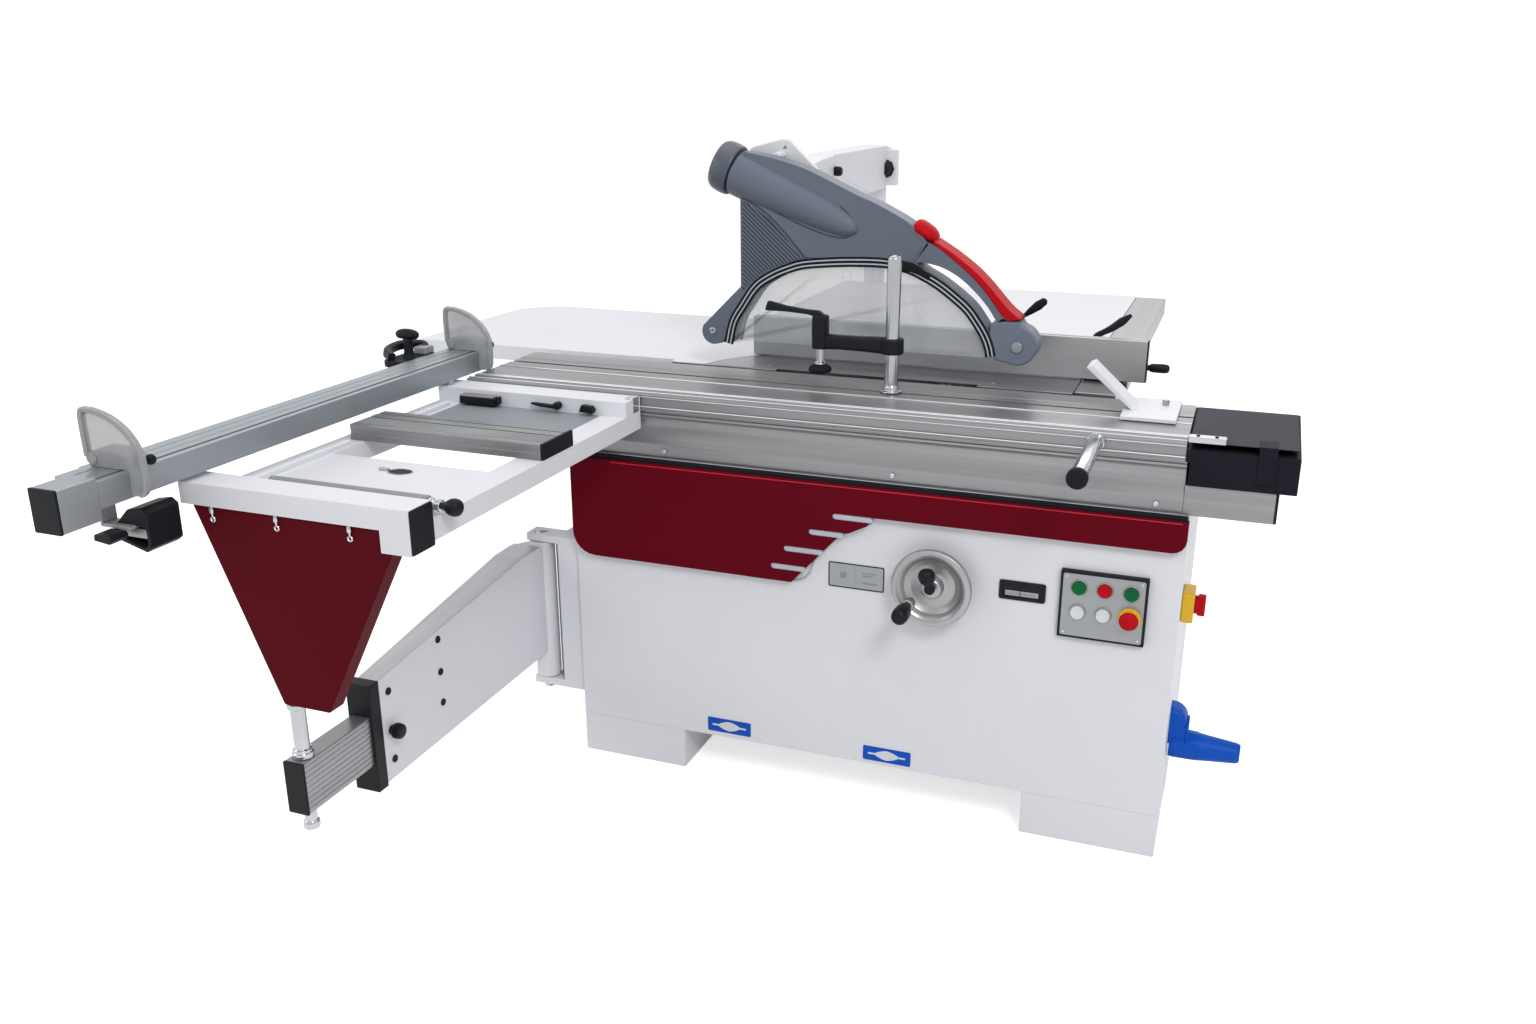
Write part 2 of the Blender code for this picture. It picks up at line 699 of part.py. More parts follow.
def make_carriage(mover):
    """The sliding table: a flat extrusion with a T-slot, grooves at the front and a thin rear lip."""
    slot_middle, slot_half, slot_depth = CLAMP_Y, 0.006, 0.012
    groove = 0.003
    outline = [
        (0, CARRIAGE_BOTTOM),
        (CARRIAGE_WIDTH - CARRIAGE_LIP, CARRIAGE_BOTTOM),
        (CARRIAGE_WIDTH - CARRIAGE_LIP, TABLE_TOP - CARRIAGE_HEIGHT / 2),
        (CARRIAGE_WIDTH, TABLE_TOP - CARRIAGE_HEIGHT / 2),
        (CARRIAGE_WIDTH, TABLE_TOP),
        (slot_middle + slot_half, TABLE_TOP),
        (slot_middle + slot_half, TABLE_TOP - slot_depth),
        (slot_middle - slot_half, TABLE_TOP - slot_depth),
        (slot_middle - slot_half, TABLE_TOP),
        (0.030, TABLE_TOP),
        (0.030, TABLE_TOP - groove),
        (0.014, TABLE_TOP - groove),
        (0.014, TABLE_TOP - 2 * groove),
        (0, TABLE_TOP - 2 * groove),
    ]
    slab("sliding_carriage", outline, "X", CARRIAGE_LEFT, CARRIAGE_RIGHT, ALUMINIUM, mover)
    cover = [
        (0, END_COVER_BOTTOM),
        (END_COVER_DEPTH, END_COVER_BOTTOM),
        (END_COVER_DEPTH, TABLE_TOP),
        (0, TABLE_TOP - 0.015),
    ]
    start = CARRIAGE_RIGHT + GAP
    end = start + END_COVER_LENGTH
    cover = slab("carriage_end_cover", cover, "X", start, end, SMOKE, mover)
    clearance = box(
        "beam_clearance",
        (start - SHEET, -SHEET, END_COVER_BOTTOM - SHEET),
        (BEAM_LENGTH + SHEET, END_COVER_DEPTH + SHEET, CARRIAGE_BOTTOM),
    )
    cut(cover, clearance)
    handle = [
        (0, HANDLE_LENGTH),
        (HANDLE_R + 0.006, HANDLE_LENGTH),
        (HANDLE_R + 0.006, HANDLE_LENGTH - 0.008),
        (HANDLE_R, HANDLE_LENGTH - 0.008),
        (HANDLE_R, 0.004),
        (HANDLE_R - 0.003, 0),
        (0, 0),
    ]
    handle_z = CARRIAGE_BOTTOM + HANDLE_R + 0.007
    turned("push_handle", handle, "Y", (HANDLE_X, -GAP - HANDLE_LENGTH, handle_z), CHROME, mover)
    shoe_bottom = TABLE_TOP + GAP
    shoe = box(
        "edging_shoe",
        (SHOE_X, SHOE_Y, shoe_bottom),
        (SHOE_X + SHOE_LENGTH, SHOE_Y + SHOE_DEPTH, shoe_bottom + 0.008),
        WHITE,
        mover,
    )
    foot = SHOE_X + 0.030
    fin = [
        (foot - 0.006, shoe_bottom + 0.002),
        (foot + 0.006, shoe_bottom + 0.002),
        (foot - 0.098, shoe_bottom + 0.096),
        (foot - 0.110, shoe_bottom + 0.090),
    ]
    middle = SHOE_Y + SHOE_DEPTH / 2
    unite(shoe, slab("shoe_fin", fin, "Y", middle - 0.035, middle + 0.035, None, mover))


def make_clamp(mover):
    swivel = joint_empty("clamp_swivel", (CLAMP_X, CLAMP_Y, TABLE_TOP), mover)
    bottom = TABLE_TOP + GAP
    tall = CLAMP_POST_TOP - bottom
    post = [
        (0, tall),
        (CLAMP_POST_R - 0.002, tall),
        (CLAMP_POST_R, tall - 0.002),
        (CLAMP_POST_R, 0.012),
        (0.024, 0.012),
        (0.024, 0),
        (0, 0),
    ]
    turned("clamp_post", post, "Z", (CLAMP_X, CLAMP_Y, bottom), CHROME, swivel)
    height = joint_empty("clamp_height", (CLAMP_X, CLAMP_Y, CLAMP_ARM_Z), swivel)
    ring_low, ring_high = CLAMP_ARM_Z - CLAMP_ARM_R, CLAMP_ARM_Z + CLAMP_ARM_R
    tip = CLAMP_X - CLAMP_ARM_REACH
    plan = [
        *arc((CLAMP_X, CLAMP_Y), CLAMP_RING_R, -145, 145, 16),
        *arc((tip, CLAMP_Y), CLAMP_GRIP_R, 55, 305, 12),
    ]
    arm = slab("clamp_arm", plan, "Z", ring_low, ring_high, BLACK, height)
    post_hole = CLAMP_POST_R + GAP
    over, under = ring_high + 0.01, ring_low - 0.01
    hole = rod("clamp_post_hole", post_hole, "Z", under, over, (CLAMP_X, CLAMP_Y), None, height)
    screw = CLAMP_SPINDLE_R + GAP
    screw_hole = rod("clamp_screw_hole", screw, "Z", under, over, (tip, CLAMP_Y), None, height)
    cut(arm, hole, screw_hole)
    spindle = joint_empty("clamp_screw", (tip, CLAMP_Y, CLAMP_ARM_Z), height)
    low = CLAMP_PAD_HEIGHT
    grip = ring_high + GAP - TABLE_TOP
    profile = [
        (0, grip + CLAMP_GRIP_HEIGHT),
        (CLAMP_GRIP_R, grip + CLAMP_GRIP_HEIGHT),
        (CLAMP_GRIP_R, grip),
        (CLAMP_SPINDLE_R, grip),
        (CLAMP_SPINDLE_R, low + 0.022),
        (CLAMP_GRIP_R, low + 0.014),
        (CLAMP_PAD_R, low + 0.008),
        (CLAMP_PAD_R, low),
        (0, low),
    ]
    turned("clamp_spindle", profile, "Z", (tip, CLAMP_Y, TABLE_TOP), BLACK, spindle)


def make_crosscut_frame(mover):
    low = RAIL_TOP - RAIL_HEIGHT
    tray_low = RAIL_TOP - TRAY_THICK
    beam_far = FRAME_NEAR + FRONT_BEAM_DEPTH
    panel_far = FRAME_NEAR + 0.005 + PANEL_THICK + GAP
    left_inner, right_inner = FRAME_LEFT + RAIL_WIDTH, FRAME_RIGHT - RAIL_WIDTH
    frame = box(
        "crosscut_frame",
        (FRAME_LEFT, FRAME_NEAR, FRAME_TOP - FRONT_BEAM_HEIGHT),
        (FRAME_RIGHT, beam_far, FRAME_TOP),
        WHITE,
        mover,
    )
    lap = 0.010
    pieces = [
        ("rail_left", (FRAME_LEFT, panel_far, low), (left_inner, FRAME_FAR, RAIL_TOP)),
        ("rail_right", (right_inner, panel_far, low), (FRAME_RIGHT, FRAME_FAR, RAIL_TOP)),
        (
            "corner",
            (right_inner, FRAME_NEAR, FRAME_TOP - CORNER_HEIGHT),
            (FRAME_RIGHT, beam_far, FRAME_TOP - 0.002),
        ),
        (
            "far_beam",
            (FRAME_LEFT, FRAME_FAR - FAR_BEAM_DEPTH, tray_low),
            (FRAME_RIGHT, FRAME_FAR, FRAME_TOP),
        ),
        (
            "tray",
            (left_inner - lap, beam_far - lap, tray_low),
            (right_inner + lap, TRAY_FAR, RAIL_TOP - 0.001),
        ),
        (
            "floor",
            (left_inner - lap, FLOOR_NEAR, tray_low),
            (right_inner + lap, FRAME_FAR - lap, RAIL_TOP - 0.001),
        ),
    ]
    unite(frame, *[box(f"frame_{name}", a, b, None, mover) for name, a, b in pieces])
    seat = RAIL_TOP + GAP
    box(
        "support_beam",
        (SUPPORT_BEAM_LEFT, SUPPORT_BEAM_NEAR, seat),
        (FRAME_RIGHT, SUPPORT_BEAM_NEAR + SUPPORT_BEAM_DEPTH, FRAME_TOP),
        ALUMINIUM,
        mover,
    )
    panel_top = FRAME_TOP - FRONT_BEAM_HEIGHT - GAP
    corner_under = FRAME_TOP - CORNER_HEIGHT - GAP
    outline = [
        (PANEL_TOP_LEFT, panel_top),
        (PANEL_BOTTOM_LEFT, PANEL_BOTTOM),
        (PANEL_BOTTOM_RIGHT, PANEL_BOTTOM),
        (PANEL_TOP_RIGHT, corner_under),
        (right_inner - GAP, corner_under),
        (right_inner - GAP, panel_top),
    ]
    near = FRAME_NEAR + 0.005
    slab("support_panel", outline, "Y", near, near + PANEL_THICK, RED, mover)


def make_roller(mover):
    axis_z = RAIL_TOP + ROLLER_R + 2 * GAP
    right = FRAME_RIGHT - 0.020
    left = right - ROLLER_LENGTH
    spin = joint_empty("roller_spin", (left, ROLLER_Y, axis_z), mover)
    profile = [
        (0, ROLLER_LENGTH),
        (ROLLER_R, ROLLER_LENGTH),
        (ROLLER_R, 0),
        (0, 0),
    ]
    turned("support_roller", profile, "X", (left, ROLLER_Y, axis_z), ALUMINIUM, spin, 20)
    pivot_x = right + ROLLER_JOURNAL
    turn = joint_empty("roller_lever_turn", (pivot_x, ROLLER_Y, axis_z), mover)
    lever = [
        (0, 0.062),
        (0.011, 0.060),
        (0.012, 0.044),
        (0.005, 0.038),
        (0.005, 0.018),
        (0.010, 0.014),
        (0.010, 0),
        (0, 0),
    ]
    turned("roller_lever", lever, "X", (right + GAP, ROLLER_Y, axis_z), BLACK, turn, 16)


def make_fence(mover):
    pivot = joint_empty("fence_angle", (FENCE_PIVOT_X, FENCE_PIVOT_Y, FENCE_BOTTOM), mover)
    slot, deep = 0.010, 0.006
    outline = [
        (FENCE_REAR, FENCE_BOTTOM),
        (FENCE_FRONT, FENCE_BOTTOM),
        (FENCE_FRONT, FENCE_TOP),
        (FENCE_FRONT - slot, FENCE_TOP),
        (FENCE_FRONT - slot, FENCE_TOP - deep),
        (FENCE_FRONT - 2 * slot, FENCE_TOP - deep),
        (FENCE_FRONT - 2 * slot, FENCE_TOP),
        (FENCE_REAR, FENCE_TOP),
    ]
    fence = slab("crosscut_fence", outline, "Y", FENCE_NEAR, FENCE_FAR, ALUMINIUM, pivot)
    boss = rod(
        "fence_boss",
        FENCE_PIVOT_R,
        "Z",
        FRAME_TOP + GAP,
        FENCE_BOTTOM + 0.005,
        (FENCE_PIVOT_X, FENCE_PIVOT_Y),
        None,
        pivot,
        16,
    )
    shelf = box(
        "fence_shelf",
        (FENCE_REAR - 0.050, KNOB_Y - 0.090, FENCE_BOTTOM + 0.010),
        (FENCE_REAR + 0.010, KNOB_Y + 0.030, FENCE_BOTTOM + 0.030),
        None,
        pivot,
    )
    unite(fence, boss, shelf)
    middle = (FENCE_REAR + FENCE_FRONT) / 2 - 0.012
    tongue_z = FENCE_BOTTOM + 0.006
    room = TONGUE_LENGTH + 0.020
    bore = box(
        "fence_bore",
        (middle - TONGUE / 2 - GAP, FENCE_NEAR - 0.010, tongue_z - GAP),
        (middle + TONGUE / 2 + GAP, FENCE_NEAR + room, tongue_z + TONGUE + GAP),
        None,
        pivot,
    )
    cut(fence, bore)
    slide = joint_empty("fence_extend", (middle, FENCE_NEAR, tongue_z), pivot)
    block_left = FENCE_FRONT - END_BLOCK_WIDTH
    block_bottom = FENCE_TOP + 0.007 - END_BLOCK_HEIGHT
    extension = box(
        "fence_extension",
        (block_left, FENCE_NEAR - GAP - END_BLOCK_LENGTH, block_bottom),
        (FENCE_FRONT, FENCE_NEAR - GAP, block_bottom + END_BLOCK_HEIGHT),
        ALUMINIUM,
        slide,
    )
    tongue = box(
        "extension_tongue",
        (middle - TONGUE / 2, FENCE_NEAR - END_BLOCK_LENGTH / 2, tongue_z),
        (middle + TONGUE / 2, FENCE_NEAR + TONGUE_LENGTH, tongue_z + TONGUE),
        None,
        slide,
    )
    unite(extension, tongue)
    make_stop("near", STOP_NEAR_Y, pivot)
    make_stop("far", STOP_FAR_Y, pivot)
    knob_x = FENCE_REAR - 0.025
    turn = joint_empty("fence_knob_turn", (knob_x, KNOB_Y, FENCE_TOP), pivot)
    profile = [
        (0, 0.082),
        (0.018, 0.080),
        (0.021, 0.072),
        (0.017, 0.064),
        (0.007, 0.058),
        (0.007, 0.020),
        (0.016, 0.014),
        (0.018, 0),
        (0, 0),
    ]
    shelf_top = FENCE_BOTTOM + 0.030 + GAP
    turned("fence_knob", profile, "Z", (knob_x, KNOB_Y, shelf_top), BLACK, turn, 20)


def make_stop(side, at_y, fence):
    """A carrier that straddles the fence's top and a paddle that flips up in its own plane."""
    seat = FENCE_TOP + GAP
    slide = joint_empty(f"stop_{side}_slide", (FENCE_REAR, at_y, seat), fence)
    box(
        f"stop_carrier_{side}",
        (FENCE_REAR, at_y, seat),
        (FENCE_FRONT - 0.002, at_y + STOP_CARRIER_LENGTH, seat + STOP_CARRIER_HEIGHT),
        CLEAR,
        slide,
    )
    hinge_x = FENCE_REAR + STOP_HINGE_INSET + 0.002
    hinge_z = seat + STOP_HINGE_INSET
    flip = joint_empty(f"stop_{side}_flip", (hinge_x, at_y, hinge_z), slide)
    rim = FENCE_FRONT + STOP_PLATE_PROUD
    reach = rim - hinge_x
    crown = seat + STOP_PLATE_TOP
    low = TABLE_TOP + 0.004
    outline = [
        *arc((hinge_x, hinge_z), STOP_HINGE_INSET, 180, 270, 4),
        (FENCE_FRONT + 2 * GAP, seat),
        (FENCE_FRONT + 2 * GAP, low),
        (rim - 0.018, low),
        (rim, low + 0.022),
        *[
            (hinge_x + reach * math.cos(a), hinge_z + (crown - hinge_z) * math.sin(a))
            for a in [math.radians(10 + 10 * i) for i in range(8)]
        ],
        (hinge_x - STOP_HINGE_INSET, crown - 0.006),
    ]
    start = at_y - GAP - STOP_PLATE_THICK
    slab(f"flip_stop_{side}", outline, "Y", start, at_y - GAP, CLEAR, flip)


def make_swing_arm():
    bracket_low, bracket_high = PIVOT_BOTTOM + BRACKET_THICK, PIVOT_TOP - BRACKET_THICK
    lug_near, lug_far = PIVOT_Y - 0.025, PIVOT_Y + 0.025
    bracket = box(
        "arm_bracket",
        (-BRACKET_DEPTH, lug_near, PIVOT_BOTTOM + 0.002),
        (-GAP, PIVOT_Y + 0.065, PIVOT_TOP - 0.002),
        WHITE,
    )
    lugs = []
    for name, z in (("low", PIVOT_BOTTOM + 0.002), ("high", PIVOT_TOP - 0.002 - BRACKET_THICK)):
        at = (PIVOT_X - 0.027, lug_near, z)
        lugs.append(box(f"bracket_lug_{name}", at, (-0.020, lug_far, z + BRACKET_THICK)))
    unite(bracket, *lugs)
    pin_hole = PIVOT_R + GAP
    across = (PIVOT_X, PIVOT_Y)
    over, under = PIVOT_TOP + 0.010, PIVOT_BOTTOM - 0.010
    cut(bracket, rod("bracket_pin_hole", pin_hole, "Z", under, over, across))
    rod("pivot_pin", PIVOT_R, "Z", PIVOT_BOTTOM, PIVOT_TOP, across, CHROME)

    swing = joint_empty("arm_swing", (PIVOT_X, PIVOT_Y, ARM_TIP_BOTTOM))
    barrel_low, barrel_high = bracket_low + 0.004 + GAP, bracket_high - 0.004 - GAP
    arm = rod("swing_arm", ARM_BARREL_R, "Z", barrel_low, barrel_high, across, WHITE, swing)
    side_view = [
        (ARM_TIP_Y, ARM_TIP_BOTTOM),
        (ARM_ROOT_Y, ARM_ROOT_BOTTOM),
        (ARM_ROOT_Y, ARM_ROOT_TOP),
        (ARM_ROOT_Y - 0.120, ARM_ROOT_TOP),
        (ARM_TIP_Y, ARM_TIP_TOP),
    ]
    plan = [
        (ARM_RIGHT, ARM_TIP_Y - 0.010),
        (ARM_RIGHT, ARM_ROOT_Y + 0.010),
        (ARM_RIGHT - ARM_ROOT_WIDTH * 0.5, ARM_ROOT_Y + 0.010),
        (ARM_RIGHT - ARM_ROOT_WIDTH, ARM_ROOT_Y - 0.050),
        (ARM_TIP_LEFT, ARM_TIP_Y - 0.010),
    ]
    left = ARM_RIGHT - ARM_ROOT_WIDTH - 0.010
    limb = slab("arm_limb", side_view, "X", left, ARM_RIGHT + 0.010, None, swing)
    shape = slab("arm_plan", plan, "Z", ARM_TIP_BOTTOM - 0.010, ARM_ROOT_TOP + 0.010, None, swing)
    joined(limb, "INTERSECT", [shape])
    unite(arm, limb)
    inner_left, inner_right = INNER_X - INNER_WIDTH / 2, INNER_X + INNER_WIDTH / 2
    inner_top = INNER_BOTTOM + INNER_HEIGHT
    inner_rear = INNER_TIP_Y + INNER_LENGTH
    bore_low = (inner_left - GAP, ARM_TIP_Y - 0.020, INNER_BOTTOM - GAP)
    bore_high = (inner_right + GAP, inner_rear + 0.010, inner_top + GAP)
    bore = box("arm_bore", bore_low, bore_high, None, swing)
    pin_bore = rod("arm_pin_bore", pin_hole, "Z", under, over, across, None, swing)
    cut(arm, bore, pin_bore)

    collar = box(
        "arm_collar",
        (ARM_TIP_LEFT - COLLAR_RIM, ARM_TIP_Y - GAP - COLLAR_LENGTH, ARM_TIP_BOTTOM - COLLAR_RIM),
        (ARM_RIGHT + COLLAR_RIM, ARM_TIP_Y - GAP, ARM_TIP_TOP + COLLAR_RIM),
        BLACK,
        swing,
    )
    mouth_low = (inner_left - GAP, ARM_TIP_Y - 2 * COLLAR_LENGTH, INNER_BOTTOM - GAP)
    mouth_high = (inner_right + GAP, ARM_TIP_Y + COLLAR_LENGTH, inner_top + GAP)
    cut(collar, box("collar_mouth", mouth_low, mouth_high, None, swing))

    extend = joint_empty("arm_extend", (INNER_X, INNER_TIP_Y, INNER_BOTTOM), swing)
    inner = box(
        "inner_arm",
        (inner_left, INNER_TIP_Y, INNER_BOTTOM),
        (inner_right, inner_rear, inner_top),
        ALUMINIUM,
        extend,
    )
    rod_hole = POST_ROD_R + GAP
    under, over = INNER_BOTTOM - 0.010, inner_top + 0.010
    cut(inner, rod("post_hole", rod_hole, "Z", under, over, (INNER_X, POST_Y), None, extend, 16))
    foot = POST_FOOT_BOTTOM
    profile = [
        (0, POST_TOP - foot),
        (POST_R, POST_TOP - foot),
        (POST_R, inner_top + GAP - foot),
        (POST_ROD_R, inner_top + GAP - foot),
        (POST_ROD_R, INNER_BOTTOM - GAP - foot),
        (POST_FOOT_R, INNER_BOTTOM - GAP - foot),
        (POST_FOOT_R, INNER_BOTTOM - 0.012 - foot),
        (POST_ROD_R, INNER_BOTTOM - 0.012 - foot),
        (POST_ROD_R, 0.014),
        (POST_FOOT_R, 0.010),
        (POST_FOOT_R, 0),
        (0, 0),
    ]
    turned("support_post", profile, "Z", (INNER_X, POST_Y, foot), CHROME, extend, 16)


def make_rip_fence():
    rail_left = TABLE_RIGHT + GAP
    rail_right = rail_left + RIP_RAIL_WIDTH
    rail_top = TABLE_TOP - RIP_LIFT
    box(
        "rip_rail",
        (rail_left, RIP_RAIL_NEAR, rail_top - RIP_RAIL_HEIGHT),
        (rail_right, SIDE_TABLE_REAR, rail_top),
        ALUMINIUM,
    )
    fence_rear = RIP_FENCE_Y + RIP_FENCE_THICK
    seat = rail_top + GAP
    slide = joint_empty("rip_slide", (rail_left, fence_rear, seat))
    carrier = box(
        "rip_carrier",
        (rail_left, fence_rear + GAP, seat),
        (rail_right + CARRIER_OVERHANG, fence_rear + GAP + CARRIER_DEPTH, seat + CARRIER_HEIGHT),
        ALUMINIUM,
        slide,
    )
    apron = box(
        "carrier_apron",
        (rail_right + GAP, fence_rear + GAP, rail_top - RIP_RAIL_HEIGHT / 2),
        (rail_right + CARRIER_OVERHANG, fence_rear + GAP + CARRIER_DEPTH, seat + 0.010),
        None,
        slide,
    )
    unite(carrier, apron)
    shift = joint_empty("rip_shift", (RIP_FENCE_LEFT, RIP_FENCE_Y, TABLE_TOP), slide)
    fence_bottom = TABLE_TOP + RIP_LIFT
    box(
        "rip_fence",
        (RIP_FENCE_LEFT, RIP_FENCE_Y, fence_bottom),
        (RIP_FENCE_LEFT + RIP_FENCE_LENGTH, fence_rear, fence_bottom + RIP_FENCE_HEIGHT),
        ALUMINIUM,
        shift,
    )
    face = rail_right + CARRIER_OVERHANG + GAP
    hub_x = face + RIP_HUB_R
    lever_y = fence_rear + GAP + CARRIER_DEPTH / 2
    lever_z = seat + CARRIER_HEIGHT / 2
    turn = joint_empty("rip_lever_turn", (hub_x, lever_y, lever_z), slide)
    hub_near, hub_far = lever_y - RIP_HUB_R, lever_y + RIP_HUB_R
    across = (hub_x, lever_z)
    lever = rod("rip_lever", RIP_HUB_R, "Y", hub_near, hub_far, across, BLACK, turn, 16)
    tip = hub_x + RIP_LEVER_LENGTH
    middle = (lever_y, lever_z)
    stick = rod("rip_lever_stick", RIP_HUB_R / 2, "X", hub_x, tip, middle, None, turn, 10)
    knob = bpy.data.objects.new("rip_lever_knob", bpy.data.meshes.new("rip_lever_knob"))
    ball = bmesh.new()
    bmesh.ops.create_uvsphere(ball, u_segments=12, v_segments=8, radius=RIP_HUB_R)
    ball.to_mesh(knob.data)
    ball.free()
    parts.objects.link(knob)
    place(knob, (tip, lever_y, lever_z), turn)
    unite(lever, stick, knob)


def make_guard():
    column = box(
        "guard_column",
        (COLUMN_X, COLUMN_FRONT, COLUMN_BOTTOM),
        (COLUMN_X + COLUMN_WIDTH, COLUMN_FRONT + COLUMN_WIDTH, GUARD_ARM_BOTTOM - GAP),
        WHITE,
    )
    shoe = box(
        "column_shoe",
        (COLUMN_X - 0.040, COLUMN_FRONT, COLUMN_BOTTOM),
        (COLUMN_X + COLUMN_WIDTH + 0.040, COLUMN_FRONT + 0.008, TABLE_TOP - 0.004),
    )
    unite(column, shoe)
    arm_top = GUARD_ARM_BOTTOM + GUARD_ARM_HEIGHT
    plate_far = GUARD_PLATE_Y + GUARD_PLATE_THICK
    arm = box(
        "guard_arm",
        (COLUMN_X, GUARD_PLATE_Y + 0.002, GUARD_ARM_BOTTOM),
        (COLUMN_X + GUARD_ARM_WIDTH, COLUMN_FRONT + COLUMN_WIDTH, arm_top),
        WHITE,
    )
    peak = (HOOD_PIVOT_X, HOOD_PIVOT_Z)
    ear = [
        (COLUMN_X, GUARD_ARM_BOTTOM),
        (HOOD_PIVOT_X + 0.070, GUARD_ARM_BOTTOM),
        (HOOD_PIVOT_X + 0.090, GUARD_ARM_BOTTOM + 0.040),
        *arc(peak, 0.036, 40, 110, 4),
        (COLUMN_X, GUARD_ARM_BOTTOM + 0.095),
    ]
    plate = slab("guard_ear", ear, "Y", GUARD_PLATE_Y, plate_far)
    hood_rear = BLADE_Y + HOOD_THICK / 2
    unite(arm, plate)
    tilt = joint_empty("guard_tilt", (HOOD_PIVOT_X, GUARD_PLATE_Y, HOOD_PIVOT_Z))
    hood_front = BLADE_Y - HOOD_THICK / 2
    hood = slab("guard_hood", hood_outline(), "Y", hood_front, hood_rear, SLATE, tilt)
    boss = rod(
        "hood_boss",
        0.022,
        "Y",
        hood_rear - 0.010,
        GUARD_PLATE_Y - GAP,
        peak,
        None,
        tilt,
        16,
    )
    spout = turned(
        "hood_spout",
        [
            (0, 0.320),
            (0.020, 0.312),
            (0.040, 0.260),
            (SPOUT_R - SPOUT_RIM, 0.100),
            (SPOUT_R - SPOUT_RIM, 0.034),
            (SPOUT_R, 0.034),
            (SPOUT_R, 0),
            (SPOUT_R - 2 * SPOUT_RIM, 0),
            (SPOUT_R - 2 * SPOUT_RIM, 0.090),
            (0, 0.090),
        ],
        "Z",
        (0.243, BLADE_Y, TABLE_TOP + 0.466),
        None,
        tilt,
        20,
    )
    spout.rotation_euler = (0, math.radians(90 + 22), 0)
    unite(hood, boss, spout)
    hollow_low = (0.230, BLADE_Y - HOOD_HOLLOW / 2, TABLE_TOP - 0.012)
    hollow_high = (0.905, BLADE_Y + HOOD_HOLLOW / 2, TABLE_TOP + 0.148)
    front_cut = slab(
        "window_opening", window_outline(GAP), "Y", hood_front - 0.010, hood_rear + 0.010, None, tilt
    )
    cut(hood, front_cut, box("hood_hollow", hollow_low, hollow_high, None, tilt))
    window = slab(
        "guard_window", window_outline(0), "Y", hood_front, hood_rear, CLEAR, tilt
    )
    inner = slab(
        "window_room",
        window_outline(-WINDOW_SKIN, 0.020),
        "Y",
        hood_front + WINDOW_SKIN,
        hood_rear - WINDOW_SKIN,
        None,
        tilt,
    )
    cut(window, inner)


def window_outline(grow, drop=0.0):
    """The arched window: a flattened arch over the blade, grown or shrunk by an amount."""
    left, right = 0.262 - grow, 0.884 + grow
    bottom, crown = TABLE_TOP + 0.068, TABLE_TOP + 0.246 + grow
    middle, half = (left + right) / 2, (right - left) / 2
    points = []
    for i in range(17):
        turn = math.pi * i / 16
        across = abs(math.cos(turn)) ** 0.86 * math.copysign(half, math.cos(turn))
        points.append((middle + across, bottom + (crown - bottom) * math.sin(turn) ** 0.72))
    return [*points, (left, bottom - drop - max(grow, 0) * 4), (right, bottom - drop - max(grow, 0) * 4)]


def hood_outline():
    """The hood's side view: toe, ribbed back, sloping ridge and the long nose over the blade."""
    toe, nose = (0.222, TABLE_TOP + 0.085), (0.943, TABLE_TOP + 0.100)
    ridge = [
        (0.892, 0.221),
        (0.838, 0.264),
        (0.757, 0.318),
        (0.697, 0.356),
        (0.566, 0.416),
        (0.455, 0.465),
        (0.309, 0.502),
        (0.292, 0.418),
        (0.292, 0.191),
    ]
    return [
        *arc(toe, 0.030, 150, 270, 4),
        (nose[0], TABLE_TOP + 0.055),
        *arc(nose, 0.044, -80, 80, 6),
        *[(across, TABLE_TOP + up) for across, up in ridge],
    ]


def make_handwheel():
    front = -WHEEL_STANDOFF - WHEEL_DEPTH
    spin = joint_empty("wheel_turn", (WHEEL_X, 0, WHEEL_Z))
    shaft_end = 0.040
    deep = -front
    profile = [
        (0, deep + shaft_end),
        (WHEEL_SHAFT_R, deep + shaft_end),
        (WHEEL_SHAFT_R, deep - GAP),
        (0.030, deep - GAP),
        (0.030, deep - WHEEL_STANDOFF),
        (WHEEL_R - 0.014, WHEEL_DEPTH * 0.62),
        (WHEEL_R - 0.003, WHEEL_DEPTH * 0.50),
        (WHEEL_R, WHEEL_DEPTH * 0.30),
        (WHEEL_R - 0.003, 0.003),
        (WHEEL_R - 0.010, 0),
        (WHEEL_R - 0.018, 0.004),
        (WHEEL_R - 0.024, WHEEL_DEPTH * 0.45),
        (0.026, WHEEL_DEPTH * 0.80),
        (0.022, 0.006),
        (0, 0.006),
    ]
    wheel = turned("handwheel", profile, "Y", (WHEEL_X, front, WHEEL_Z), STEEL, spin, 32)
    crank_x = WHEEL_X + CRANK_RADIUS * math.cos(CRANK_ANGLE)
    crank_z = WHEEL_Z + CRANK_RADIUS * math.sin(CRANK_ANGLE)
    lug_front, lug_rear = front - 0.003, front + WHEEL_DEPTH * 0.60
    lug = rod("crank_lug", 0.013, "Y", lug_front, lug_rear, (crank_x, crank_z), None, spin, 16)
    unite(wheel, lug)
    turn = joint_empty("crank_spin", (crank_x, front, crank_z), spin)
    grip = [
        (0, CRANK_LENGTH),
        (CRANK_R - 0.004, CRANK_LENGTH),
        (CRANK_R - 0.002, CRANK_LENGTH * 0.75),
        (CRANK_R, CRANK_LENGTH * 0.35),
        (CRANK_R - 0.001, 0.006),
        (CRANK_R - 0.006, 0),
        (0, 0),
    ]
    near = lug_front - GAP - CRANK_LENGTH
    turned("crank_handle", grip, "Y", (crank_x, near, crank_z), BLACK, turn, 16)


